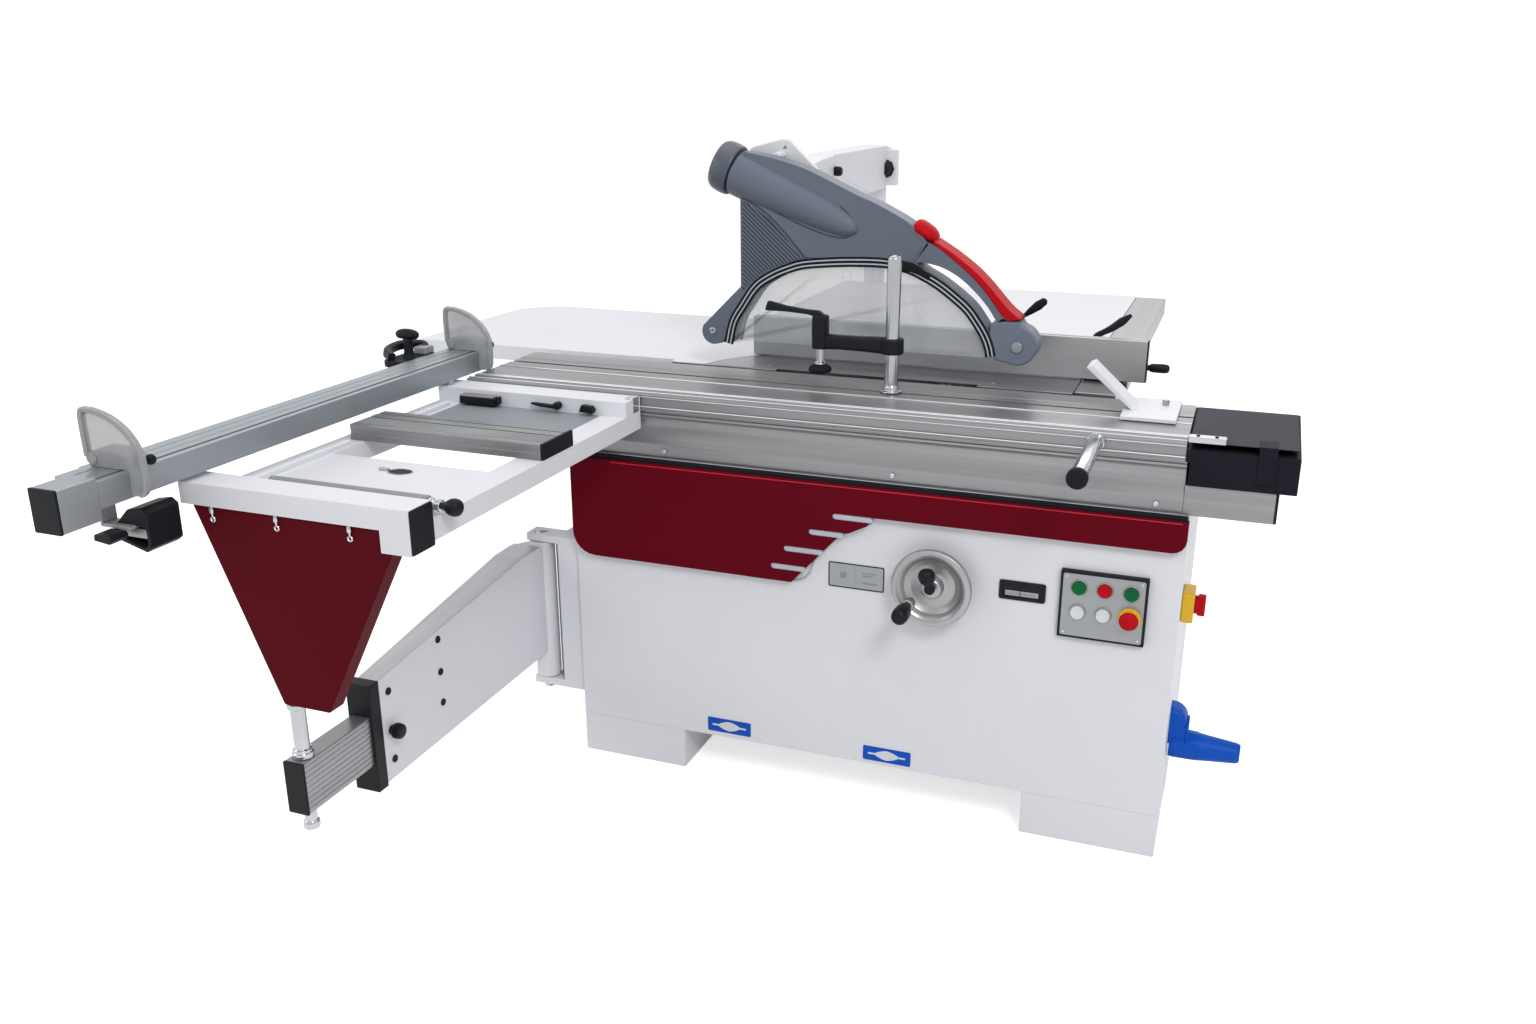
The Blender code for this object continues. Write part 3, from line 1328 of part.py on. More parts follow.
def make_controls():
    front = -GAP - CONTROL_THICK
    panel = box(
        "control_panel",
        (CONTROL_LEFT, front, CONTROL_BOTTOM),
        (CONTROL_LEFT + CONTROL_LENGTH, -GAP, CONTROL_BOTTOM + CONTROL_HEIGHT),
        BLACK,
    )
    finishes = {(0, 0): GREEN, (1, 0): BRIGHT_RED, (2, 0): GREEN, (0, 1): GREY, (1, 1): GREY}
    names = {
        (0, 0): "button_start",
        (1, 0): "button_stop",
        (2, 0): "button_scorer",
        (0, 1): "button_lamp",
        (1, 1): "button_reset",
    }
    rear = -GAP - BUTTON_TRAVEL - GAP
    for (column, row), name in names.items():
        x, z = BUTTON_COLUMNS[column], BUTTON_ROWS[row]
        travel = joint_empty(f"{name}_travel", (x, rear, z))
        near = front - BUTTON_PROUD
        rod(name, BUTTON_R, "Y", near, rear, (x, z), finishes[column, row], travel, 20)
        hole = rod(f"{name}_hole", BUTTON_R + GAP, "Y", front - 0.01, 0.01, (x, z), None, "origin", 20)
        cut(panel, hole)
    x, z = BUTTON_COLUMNS[2], BUTTON_ROWS[1]
    travel = joint_empty("button_emergency_travel", (x, rear, z))
    near = front - MUSHROOM_PROUD
    length = rear - near
    stem = MUSHROOM_R - 0.007
    profile = [
        (0, length),
        (stem, length),
        (stem, MUSHROOM_THICK),
        (MUSHROOM_R, MUSHROOM_THICK),
        (MUSHROOM_R, 0.004),
        (MUSHROOM_R - 0.005, 0),
        (0, 0),
    ]
    turned("button_emergency", profile, "Y", (x, near, z), BRIGHT_RED, travel, 20)
    hole = rod("button_emergency_hole", stem + GAP, "Y", front - 0.01, 0.01, (x, z), None, "origin", 20)
    cut(panel, hole)


def make_side_fittings():
    right = CABINET_LENGTH + GAP
    half = SWITCH_SIZE / 2
    box(
        "switch_plate",
        (right, SWITCH_Y - half, SWITCH_Z - half),
        (right + SWITCH_THICK, SWITCH_Y + half, SWITCH_Z + half),
        YELLOW,
    )
    face = right + SWITCH_THICK + GAP
    turn = joint_empty("switch_turn", (face, SWITCH_Y, SWITCH_Z))
    end = face + SWITCH_KNOB_LENGTH
    middle = (SWITCH_Y, SWITCH_Z)
    knob = rod("switch_knob", SWITCH_KNOB_R, "X", face, face + 0.008, middle, BRIGHT_RED, turn, 20)
    grip = box(
        "switch_grip",
        (face + 0.004, SWITCH_Y - 0.006, SWITCH_Z - SWITCH_KNOB_R + 0.002),
        (end, SWITCH_Y + 0.006, SWITCH_Z + SWITCH_KNOB_R - 0.002),
        None,
        turn,
    )
    unite(knob, grip)

    inlet = rod(
        "power_inlet", INLET_R, "X", right, right + INLET_LENGTH, (INLET_Y, INLET_Z), BLUE, "origin", 20
    )
    sleeve = turned(
        "connector_sleeve",
        [
            (0, CONNECTOR_LENGTH),
            (0.010, CONNECTOR_LENGTH),
            (0.012, CONNECTOR_LENGTH * 0.62),
            (0.021, CONNECTOR_LENGTH * 0.42),
            (0.024, 0),
            (0, 0),
        ],
        "Z",
        (right + INLET_LENGTH / 2, INLET_Y, INLET_Z - 0.018),
        None,
        "origin",
        20,
    )
    sleeve.rotation_euler = (0, math.pi / 2 + CONNECTOR_SLOPE, 0)
    unite(inlet, sleeve)


def make_saw_unit():
    tilt = joint_empty("blade_tilt", (TRUNNION_LEFT, BLADE_Y, TABLE_TOP))
    cross = box(
        "trunnion",
        (TRUNNION_LEFT, CROSS_FRONT, CROSS_BOTTOM),
        (TRUNNION_RIGHT, CROSS_REAR, CROSS_TOP),
        IRON,
        tilt,
    )
    ends = []
    for side, x in (("left", TRUNNION_LEFT), ("right", TRUNNION_RIGHT - TRUNNION_THICK)):
        sector = [
            *arc((BLADE_Y, TABLE_TOP), TRUNNION_OUTER, -80, -30, 6),
            *arc((BLADE_Y, TABLE_TOP), TRUNNION_INNER, -30, -80, 3),
        ]
        ends.append(slab(f"trunnion_{side}", sector, "X", x, x + TRUNNION_THICK, None, tilt))
    arbor_low = BLADE_Y + ARBOR_FACE
    scorer_arbor = rod(
        "scorer_arbor", 0.022, "Y", arbor_low, CROSS_FRONT + 0.010, (SCORER_X, SCORER_Z), None, tilt, 16
    )
    unite(cross, *ends, scorer_arbor)

    rise = joint_empty("blade_rise", (BLADE_X, BLADE_Y, BLADE_Z), tilt)
    bed = box(
        "saw_bed",
        (BED_LEFT, BED_FRONT, BED_BOTTOM),
        (BED_LEFT + BED_LENGTH, BED_REAR, BED_TOP),
        IRON,
        rise,
    )
    motor_low = MOTOR_Z - MOTOR_R
    motor_room = rod(
        "motor_seat",
        MOTOR_R + GAP,
        "Y",
        MOTOR_FRONT,
        BED_REAR + 0.010,
        (BLADE_X, MOTOR_Z),
        None,
        rise,
    )
    cut(bed, motor_room)
    mount_low = min(motor_low, BED_BOTTOM) - 0.004
    mount = box(
        "motor_mount",
        (BED_LEFT, BED_FRONT, mount_low),
        (BED_LEFT + BED_LENGTH, MOTOR_FRONT - GAP, BED_BOTTOM + 0.010),
        None,
        rise,
    )
    unite(bed, mount)
    motor = [
        (0, MOTOR_LENGTH),
        (MOTOR_R * 0.8, MOTOR_LENGTH),
        (MOTOR_R, MOTOR_LENGTH * 0.92),
        (MOTOR_R, 0),
        (0, 0),
    ]
    turned("motor", motor, "Y", (BLADE_X, MOTOR_FRONT + GAP, MOTOR_Z), SLATE, rise)

    blade_spin = joint_empty("blade_spin", (BLADE_X, BLADE_Y, BLADE_Z), rise)
    make_blade("saw_blade", BLADE_R, (BLADE_X, BLADE_Z), blade_spin, 48)
    scorer_spin = joint_empty("scorer_spin", (SCORER_X, BLADE_Y, SCORER_Z), tilt)
    make_blade("scoring_blade", SCORER_R, (SCORER_X, SCORER_Z), scorer_spin, 24)


def make_blade(name, radius, across, carrier, steps):
    """A disc with its arbor flange behind it."""
    rear = ARBOR_FACE - GAP
    half = BLADE_KERF / 2
    flange = min(FLANGE_R, radius * 0.4)
    profile = [
        (0, rear),
        (flange, rear),
        (flange, half),
        (radius, half),
        (radius, -half),
        (0, -half),
    ]
    turned(name, profile, "Y", (across[0], BLADE_Y, across[1]), STEEL, carrier, steps)


make_cabinet()
make_rear_door()
make_front_band()
make_guide()
make_main_table()
make_side_table()
make_outfeed_table()
table_slide = joint_empty("table_slide", (CARRIAGE_LEFT, 0, CARRIAGE_BOTTOM))
make_carriage(table_slide)
make_clamp(table_slide)
make_crosscut_frame(table_slide)
make_roller(table_slide)
make_fence(table_slide)
make_swing_arm()
make_rip_fence()
make_guard()
make_handwheel()
make_controls()
make_side_fittings()
make_saw_unit()
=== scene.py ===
"""Finishes and fine shapes of a sliding-table panel saw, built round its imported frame.

Every place is written from the cabinet's front left floor corner, in metres, or in millimetres inside
mm(): +X runs along the sliding table to the operator's end, +Y from front to back, +Z up.
"""

import math
import json

import bmesh
import bpy
import numpy as np
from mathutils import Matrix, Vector


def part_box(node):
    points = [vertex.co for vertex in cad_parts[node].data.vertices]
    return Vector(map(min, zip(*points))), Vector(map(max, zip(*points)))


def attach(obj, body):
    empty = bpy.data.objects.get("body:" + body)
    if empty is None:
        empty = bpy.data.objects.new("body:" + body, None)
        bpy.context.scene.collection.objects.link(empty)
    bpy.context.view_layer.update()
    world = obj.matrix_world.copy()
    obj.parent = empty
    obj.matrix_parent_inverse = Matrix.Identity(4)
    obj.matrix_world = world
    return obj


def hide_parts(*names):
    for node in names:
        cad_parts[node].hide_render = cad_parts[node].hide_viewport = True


bl_info = {
    "name": "Panel Saw Finish",
    "version": (1, 0, 0),
    "blender": (4, 5, 0),
    "location": "View3D > Sidebar > Panel Saw",
    "description": "Builds the fine shapes and finishes of a sliding-table panel saw",
    "category": "Object",
}

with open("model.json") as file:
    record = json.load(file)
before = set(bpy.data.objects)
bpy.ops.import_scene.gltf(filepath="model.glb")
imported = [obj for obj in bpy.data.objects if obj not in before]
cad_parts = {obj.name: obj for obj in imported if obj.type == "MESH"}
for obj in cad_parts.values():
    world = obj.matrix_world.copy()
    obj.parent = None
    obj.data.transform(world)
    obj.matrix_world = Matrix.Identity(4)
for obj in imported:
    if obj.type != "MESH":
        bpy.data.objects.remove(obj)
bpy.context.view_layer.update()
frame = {"nodes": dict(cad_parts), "record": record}
CABINET_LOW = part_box("cabinet")[0]
CORNER = np.array((CABINET_LOW.x, CABINET_LOW.y, 0.0))
BODY_OF = {node: body for body, nodes in frame["record"]["behaviour"]["bodies"].items() for node in nodes}


def span(node):
    """A node's lowest and highest corners at rest, from the cabinet's corner."""
    low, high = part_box(node)
    return np.array(low) - CORNER, np.array(high) - CORNER


# ---------------------------------------------------------------------------------------------
# Sizes and colours that a user may change
# ---------------------------------------------------------------------------------------------


def colour(name, description, default):
    """A colour that a user may change."""
    return bpy.props.FloatVectorProperty(name=name, description=description, default=default, size=3,
        min=0, max=1, subtype="COLOR")


def length(name, description, default):
    """A length that a user may change."""
    return bpy.props.FloatProperty(name=name, description=description, default=default, min=0,
        subtype="DISTANCE", unit="LENGTH")


class PanelSawColours(bpy.types.PropertyGroup):
    white: colour("White paint", "Powder coat of the cabinet, tables and arms", (0.72, 0.73, 0.77))
    band_red: colour("Band red", "Gloss paint of the front band", (0.122, 0.0026, 0.0105))
    panel_red: colour("Panel red", "Satin paint of the support panel", (0.1, 0.004, 0.01))
    signal_red: colour("Signal red", "Red plastic of the grip, strip and stop buttons",
        (0.5, 0.008, 0.014))
    aluminium: colour("Aluminium", "Drawn and anodised profiles", (0.32, 0.325, 0.335))
    iron: colour("Cast iron", "Ground face of the main table", (0.34, 0.35, 0.365))
    guard: colour("Guard grey", "Moulded guard hood", (0.128, 0.15, 0.192))
    black: colour("Black", "Black plastic knobs, caps and collars", (0.012, 0.013, 0.017))
    green: colour("Green", "Start buttons", (0.003, 0.13, 0.035))
    yellow: colour("Yellow", "Main switch plate", (0.78, 0.46, 0.02))
    blue: colour("Blue", "Power connector and marker plates", (0.004, 0.085, 0.5))


class PanelSawSizes(bpy.types.PropertyGroup):
    edge: length("Sheet edge", "Rounding of folded sheet edges", 0.0022)
    fine_edge: length("Machined edge", "Rounding of machined and drawn edges", 0.0008)
    bolt: length("Bolt head", "Radius of a socket bolt's head", 0.0065)


def colours():
    """The scene's own colours."""
    return bpy.context.scene.panel_saw_colours


def sizes():
    """The scene's own sizes."""
    return bpy.context.scene.panel_saw_sizes


# ---------------------------------------------------------------------------------------------
# Meshes
# ---------------------------------------------------------------------------------------------


def mesh_from(points, faces):
    """A mesh from points, written from the cabinet's corner, and faces of any number of sides."""
    mesh = bpy.data.meshes.new("shape")
    mesh.from_pydata((np.asarray(points, float) + CORNER).tolist(), [], faces)
    return mesh


def quads(rows, columns, wrap_rows=False, wrap_columns=False):
    """Each face of a grid joins a point, its neighbour along the row and the two in the next row."""
    r = np.arange(rows if wrap_rows else rows - 1)
    c = np.arange(columns if wrap_columns else columns - 1)
    r, c = np.meshgrid(r, c, indexing="ij")
    below, beside = (r + 1) % rows, (c + 1) % columns
    corners = (r * columns + c, r * columns + beside, below * columns + beside, below * columns + c)
    return np.stack(corners, -1).reshape(-1, 4).tolist()


def outward(mesh):
    """Merges doubled points and turns every face outwards."""
    shape = bmesh.new()
    shape.from_mesh(mesh)
    bmesh.ops.remove_doubles(shape, verts=shape.verts, dist=1e-6)
    bmesh.ops.recalc_face_normals(shape, faces=shape.faces)
    shape.to_mesh(mesh)
    shape.free()
    return mesh


def grid(points, wrap_rows=False, wrap_columns=False, caps=False):
    """A surface through an array of points (rows, columns, 3); caps close its first and last rows."""
    rows, columns = points.shape[:2]
    faces = quads(rows, columns, wrap_rows, wrap_columns)
    if caps:
        faces.append(list(range(columns))[::-1])
        faces.append(list(range((rows - 1) * columns, rows * columns)))
    return outward(mesh_from(points.reshape(-1, 3), faces))


AXES = {"X": (1, 2, 0), "Y": (2, 0, 1), "Z": (0, 1, 2)}


def laid(across, up, along, axis):
    """Puts two cross coordinates and one along an axis into x, y, z order."""
    out = np.empty((*np.broadcast(across, up, along).shape, 3))
    a, b, c = AXES[axis]
    out[..., a], out[..., b], out[..., c] = across, up, along
    return out


def softened(profile, radius=0.001, steps=3):
    """Rounds each corner of an open profile with a short curve between points set back from it."""
    points = np.asarray(profile, float)
    out = [points[0]]
    for before, here, after in zip(points, points[1:], points[2:]):
        back, on = before - here, after - here
        reach = min(radius, np.linalg.norm(back) * 0.45, np.linalg.norm(on) * 0.45)
        start = here + back / (np.linalg.norm(back) + 1e-12) * reach
        end = here + on / (np.linalg.norm(on) + 1e-12) * reach
        t = np.linspace(0, 1, steps + 1)[:, None]
        out.extend((1 - t) ** 2 * start + 2 * t * (1 - t) * here + t**2 * end)
    out.append(points[-1])
    return np.array(out)


def turned(profile, axis, centre, sides=64, radius=0.001):
    """A turned surface: each (radius, height) point of a softened profile goes round the axis."""
    profile = softened(profile, radius)
    turn = np.linspace(0, 2 * np.pi, sides, endpoint=False)
    r, h = profile[:, 0][:, None], profile[:, 1][:, None]
    points = laid(r * np.cos(turn), r * np.sin(turn), h + 0 * turn, axis)
    return grid(points + np.array(centre), wrap_columns=True)


def disc(radius, thick, rim=0.0015):
    """The profile of a plain round piece, from the middle of one face to the middle of the other."""
    return [(0, 0), (radius - rim, 0), (radius, rim), (radius, thick - rim), (radius - rim, thick),
        (0, thick)]


def mm(*points):
    """Points written in millimetres, as an array in metres."""
    return np.array(points) / 1000


def ring_points(count, radius=1.0, start=0.0):
    """Points evenly round a circle: the radius times the cosine and sine of the angle."""
    turn = start + np.linspace(0, 2 * np.pi, count, endpoint=False)
    return np.stack([radius * np.cos(turn), radius * np.sin(turn)], -1)


def swept(path, section, caps=True):
    """A closed section carried along a path, kept square to it and turned as little as possible."""
    path, section = np.asarray(path, float), np.asarray(section, float)
    ahead = np.gradient(path, axis=0)
    ahead /= np.linalg.norm(ahead, axis=1)[:, None]
    side = np.cross(ahead[0], (0, 0, 1) if abs(ahead[0][2]) < 0.9 else (1, 0, 0))
    sides = []
    for direction in ahead:
        side = side - direction * (side @ direction)
        side /= np.linalg.norm(side)
        sides.append(side)
    sides = np.array(sides)
    ups = np.cross(sides, ahead)
    scale = section if section.ndim == 3 else np.broadcast_to(section, (len(path), *section.shape))
    points = path[:, None] + scale[..., :1] * sides[:, None] + scale[..., 1:] * ups[:, None]
    return grid(points, wrap_columns=True, caps=caps)


def tube(path, radius, sides=20):
    """A circle carried along a path."""
    return swept(path, ring_points(sides, radius))


def smooth_path(points, count):
    """A smooth curve through a few points: each stretch blends the two parabolas beside it."""
    points = np.asarray(points, float)
    padded = np.vstack([2 * points[0] - points[1], points, 2 * points[-1] - points[-2]])
    t = np.linspace(0, len(points) - 1 - 1e-9, count)
    i = t.astype(int)
    f = (t - i)[:, None]
    a, b, c, d = padded[i], padded[i + 1], padded[i + 2], padded[i + 3]
    return 0.5 * (2 * b + (c - a) * f + (2 * a - 5 * b + 4 * c - d) * f**2 + (3 * b - a - 3 * c + d)
        * f**3)


def prism(outline, axis, start, end):
    """A flat outline carried straight along an axis, closed at both ends."""
    outline = np.asarray(outline, float)
    along = np.array([start, end])[:, None]
    points = laid(outline[:, 0][None] + 0 * along, outline[:, 1][None] + 0 * along, along, axis)
    return grid(points, wrap_columns=True, caps=True)


def flat_ring(outer, inner, axis, start, end):
    """A frame between two outlines with as many points, with flat faces and straight walls."""
    loops = [(outer, start), (outer, end), (inner, end), (inner, start)]
    points = np.stack([laid(np.array(o)[:, 0], np.array(o)[:, 1], a, axis) for o, a in loops])
    return grid(points, wrap_rows=True, wrap_columns=True)


def block(low, high):
    """A block between two corners."""
    outline = [(low[0], low[1]), (high[0], low[1]), (high[0], high[1]), (low[0], high[1])]
    return prism(outline, "Z", low[2], high[2])


def rounded_outline(low, high, radius, steps=6):
    """A rectangle with quarter-round corners, anticlockwise from the lower right."""
    out = []
    centres = ((high[0] - radius, low[1] + radius), (high[0] - radius, high[1] - radius),
        (low[0] + radius, high[1] - radius), (low[0] + radius, low[1] + radius))
    for i, (x, y) in enumerate(centres):
        turn = np.linspace(-np.pi / 2, 0, steps + 1) + i * np.pi / 2
        out.append(np.stack([x + radius * np.cos(turn), y + radius * np.sin(turn)], -1))
    return np.concatenate(out)


def round_edges(obj, width, segments=2, angle=30):
    """A Bevel on the edges sharper than an angle, then normals weighted so that the flats stay flat."""
    bevel = obj.modifiers.new("Edges", "BEVEL")
    bevel.width = width
    bevel.segments = segments
    bevel.limit_method = "ANGLE"
    bevel.angle_limit = math.radians(angle)
    bevel.miter_outer = "MITER_ARC"
    weigh = obj.modifiers.new("Flats", "WEIGHTED_NORMAL")
    weigh.mode = "FACE_AREA_WITH_ANGLE"
    weigh.weight = 100
    return obj


def piece(name, mesh, finish, body, edge=0.0, segments=2, angle=30, replaces=None,
        smooth=True):
    """A finished piece: smooth shading, rounded edges, its body and the node it stands for."""
    mesh.name = name
    obj = bpy.data.objects.new(name, mesh)
    bpy.context.scene.collection.objects.link(obj)
    mesh.materials.clear()
    mesh.materials.append(FINISHES[finish])
    if smooth:
        mesh.shade_smooth()
    if edge:
        round_edges(obj, edge, segments, angle)
    elif smooth:
        mesh.set_sharp_from_angle(angle=math.radians(35))
    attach(obj, body)
    if replaces:
        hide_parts(replaces)


def refined(node, finish, edge=0.001, segments=2, angle=30):
    """A merged copy of a node, with its flats made whole and its edges rounded."""
    shape = bmesh.new()
    shape.from_mesh(frame["nodes"][node].data)
    bmesh.ops.remove_doubles(shape, verts=shape.verts, dist=1e-5)
    bmesh.ops.dissolve_limit(shape, angle_limit=math.radians(0.5), verts=shape.verts, edges=shape.edges)
    mesh = bpy.data.meshes.new("shape")
    shape.to_mesh(mesh)
    shape.free()
    piece(node + "_shell", mesh, finish, BODY_OF[node], edge, segments, angle,
        replaces=node)


# ---------------------------------------------------------------------------------------------
# Shader node groups: each gives masks, heights and values that change over the surface
# ---------------------------------------------------------------------------------------------


class Wiring:
    """Adds nodes to a tree; an input takes a value or another node's socket."""

    def __init__(self, tree):
        self.tree = tree

    def add(self, kind, inputs=(), **settings):
        node = self.tree.nodes.new(kind)
        for key, value in settings.items():
            setattr(node, key, value)
        for key, value in dict(inputs).items():
            if isinstance(value, bpy.types.NodeSocket):
                self.tree.links.new(value, node.inputs[key])
            else:
                node.inputs[key].default_value = value
        return node

    def link(self, value, node, label):
        self.tree.links.new(value, node.inputs[label])

    def maths(self, operation, a, b=0.0):
        return self.add("ShaderNodeMath", {0: a, 1: b}, operation=operation).outputs[0]

    def between(self, value, low, high, start=0.0, end=1.0):
        """Maps a value from low..high to start..end, held at both ends."""
        found = {"Value": value, "From Min": low, "From Max": high, "To Min": start, "To Max": end}
        return self.add("ShaderNodeMapRange", found).outputs[0]

    def place(self, stretch=(1, 1, 1)):
        """Object coordinates, stretched so that a pattern runs along an axis."""
        where = self.add("ShaderNodeTexCoord").outputs["Object"]
        return self.add("ShaderNodeMapping", {"Vector": where, "Scale": stretch}).outputs[0]

    def noise(self, vector, scale, detail=2.0, roughness=0.5):
        found = {"Vector": vector, "Scale": scale, "Detail": detail, "Roughness": roughness}
        return self.add("ShaderNodeTexNoise", found).outputs["Fac"]


def new_group(name, inputs, outputs):
    """An empty group with named number inputs (with defaults) and outputs."""
    tree = bpy.data.node_groups.new(name, "ShaderNodeTree")
    for label, default in inputs:
        socket = tree.interface.new_socket(label, in_out="INPUT", socket_type="NodeSocketFloat")
        socket.default_value = default
    for label in outputs:
        tree.interface.new_socket(label, in_out="OUTPUT", socket_type="NodeSocketFloat")
    wiring = Wiring(tree)
    return wiring, wiring.add("NodeGroupInput").outputs, wiring.add("NodeGroupOutput").inputs


def make_grain_group():
    """Moulded or sprayed grain: two sizes of soft noise, as a height and a mask."""
    wiring, given, result = new_group("Grain", [("Scale", 900.0), ("Cloud", 3.0)], ["Height", "Mask"])
    where = wiring.place()
    fine = wiring.noise(where, given["Scale"], 2.0)
    broad = wiring.noise(where, given["Cloud"], 3.0)
    wiring.tree.links.new(fine, result["Height"])
    wiring.tree.links.new(wiring.between(broad, 0.3, 0.7), result["Mask"])


def make_brush_group(name, stretch):
    """Drawn or ground lines along one axis: noise stretched a hundredfold along it, in two widths."""
    wiring, given, result = new_group(name, [("Scale", 1.0), ("Cloud", 2.0)], ["Lines", "Bands", "Mask"])
    lines = wiring.noise(wiring.place(stretch), given["Scale"], 3.0, 0.7)
    wide = tuple((max(part / 14, 0.3) for part in stretch))
    bands = wiring.noise(wiring.place(wide), given["Scale"], 2.0)
    cloud = wiring.noise(wiring.place(), given["Cloud"], 3.0)
    wiring.tree.links.new(lines, result["Lines"])
    wiring.tree.links.new(wiring.between(bands, 0.35, 0.65), result["Bands"])
    wiring.tree.links.new(wiring.between(cloud, 0.35, 0.65), result["Mask"])


def make_marks_group():
    """Handling marks: thin scattered scratches and soft smudges, as masks from 0 to 1."""
    wiring, given, result = new_group("Handling marks", [("Amount", 0.5)], ["Scratches", "Smudges"])
    where = wiring.place()
    cells = wiring.add("ShaderNodeTexVoronoi", {"Vector": where, "Scale": 23.0},
        feature="DISTANCE_TO_EDGE")
    scratches = wiring.between(cells.outputs["Distance"], 0.012, 0.0)
    breaks = wiring.between(wiring.noise(where, 11.0), 0.55, 0.68)
    smudges = wiring.between(wiring.noise(where, 7.0, 4.0, 0.6), 0.42, 0.72)
    thin = wiring.maths("MULTIPLY", wiring.maths("MULTIPLY", scratches, breaks), given["Amount"])
    wiring.tree.links.new(thin, result["Scratches"])
    wiring.tree.links.new(wiring.maths("MULTIPLY", smudges, given["Amount"]), result["Smudges"])


def make_groups():
    """Every shader node group that more than one finish uses."""
    make_grain_group()
    make_marks_group()
    make_brush_group("Drawn along X", (3, 420, 420))
    make_brush_group("Drawn along Y", (420, 3, 420))


# ---------------------------------------------------------------------------------------------
# Materials
# ---------------------------------------------------------------------------------------------


def start_material(name):
    """A new material, its wiring and its shader."""
    material = bpy.data.materials.new(name)
    material.use_nodes = True
    shader = material.node_tree.nodes["Principled BSDF"]
    return material, Wiring(material.node_tree), shader


def use_group(wiring, name, **values):
    """Places a node group with its own values, and gives its outputs."""
    node = wiring.add("ShaderNodeGroup", node_tree=bpy.data.node_groups[name])
    for label, value in values.items():
        node.inputs[label].default_value = value
    return node.outputs


def tinted(wiring, base, share, mask):
    """A colour that goes from a darker share of itself to the full colour with a mask."""
    dark = (*(part * share for part in base), 1)
    colours_at, result = (6, 7), 2
    node = wiring.add("ShaderNodeMix", {"Factor": mask}, data_type="RGBA")
    for place, value in zip(colours_at, (dark, (*base, 1))):
        node.inputs[place].default_value = value
    return node.outputs[result]


def bump(wiring, shader, height, depth, strength=0.5):
    """Feeds the shader's normal from a height."""
    found = {"Height": height, "Distance": depth, "Strength": strength}
    normal = wiring.add("ShaderNodeBump", found).outputs[0]
    wiring.link(normal, shader, "Normal")


def coated(name, base, roughness, grain=700.0, depth=0.00012, gloss=0.5, shade=0.94):
    """Paint or moulded plastic: fine grain, cloudy roughness, faint smudges and scratches."""
    material, wiring, shader = start_material(name)
    grain_of = use_group(wiring, "Grain", Scale=grain)
    marks = use_group(wiring, "Handling marks", Amount=0.5)
    worn = wiring.maths("SUBTRACT", grain_of["Mask"], marks["Scratches"])
    wiring.link(tinted(wiring, base, shade, worn), shader, "Base Color")
    rough = wiring.between(grain_of["Mask"], 0, 1, roughness - 0.04, roughness + 0.04)
    rough = wiring.maths("ADD", rough, wiring.maths("MULTIPLY", marks["Smudges"], 0.08))
    wiring.link(rough, shader, "Roughness")
    bump(wiring, shader, grain_of["Height"], depth)
    shader.inputs["IOR"].default_value = 1 + gloss
    return material


def drawn(name, base, roughness, along, contrast=0.8, depth=0.00004, metallic=0.75):
    """Drawn or ground metal: fine lines along an axis in height, tone and roughness."""
    material, wiring, shader = start_material(name)
    brush = use_group(wiring, "Drawn along " + along)
    tone = wiring.maths("ADD", wiring.maths("MULTIPLY", brush["Lines"], 0.55),
        wiring.maths("MULTIPLY", brush["Bands"], 0.45))
    wiring.link(tinted(wiring, base, contrast, tone), shader, "Base Color")
    rough = wiring.between(brush["Mask"], 0, 1, roughness - 0.05, roughness + 0.05)
    wiring.link(rough, shader, "Roughness")
    bump(wiring, shader, brush["Lines"], depth)
    shader.inputs["Metallic"].default_value = metallic
    return material


def polished(name, base, roughness=0.1):
    """Chrome and bright bolts: nearly smooth, with faint smudges."""
    material, wiring, shader = start_material(name)
    marks = use_group(wiring, "Handling marks", Amount=1.0)
    wiring.link(tinted(wiring, base, 1.12, marks["Smudges"]), shader, "Base Color")
    rough = wiring.between(marks["Smudges"], 0, 1, roughness, roughness + 0.1)
    wiring.link(rough, shader, "Roughness")
    shader.inputs["Metallic"].default_value = 1.0
    return material


def ground_iron(name, base):
    """Ground cast iron: crossing grinding lines and a faint cloudy stain."""
    material, wiring, shader = start_material(name)
    along = use_group(wiring, "Drawn along X")
    across = use_group(wiring, "Drawn along Y")
    grain_of = use_group(wiring, "Grain", Scale=260.0, Cloud=5.0)
    lines = wiring.maths("MULTIPLY", wiring.maths("ADD", along["Lines"], across["Lines"]), 0.5)
    tone = wiring.maths("MULTIPLY", wiring.maths("ADD", lines, grain_of["Mask"]), 0.6)
    wiring.link(tinted(wiring, base, 0.72, tone), shader, "Base Color")
    rough = wiring.between(grain_of["Mask"], 0, 1, 0.3, 0.44)
    wiring.link(rough, shader, "Roughness")
    bump(wiring, shader, lines, 0.00004)
    shader.inputs["Metallic"].default_value = 1.0
    return material


def clear(name, base, alpha, roughness=0.06):
    """Clear moulded plastic: see-through, with cloudy thickness and fine scratches."""
    material, wiring, shader = start_material(name)
    grain_of = use_group(wiring, "Grain", Scale=40.0, Cloud=6.0)
    marks = use_group(wiring, "Handling marks", Amount=0.6)
    wiring.link(tinted(wiring, base, 0.92, grain_of["Mask"]), shader, "Base Color")
    haze = wiring.between(grain_of["Mask"], 0, 1, alpha * 0.9, alpha * 1.1)
    haze = wiring.maths("ADD", haze, wiring.maths("MULTIPLY", marks["Scratches"], 0.4))
    wiring.link(haze, shader, "Alpha")
    shader.inputs["Roughness"].default_value = roughness
    bump(wiring, shader, grain_of["Height"], 0.0004, 0.2)
    return material


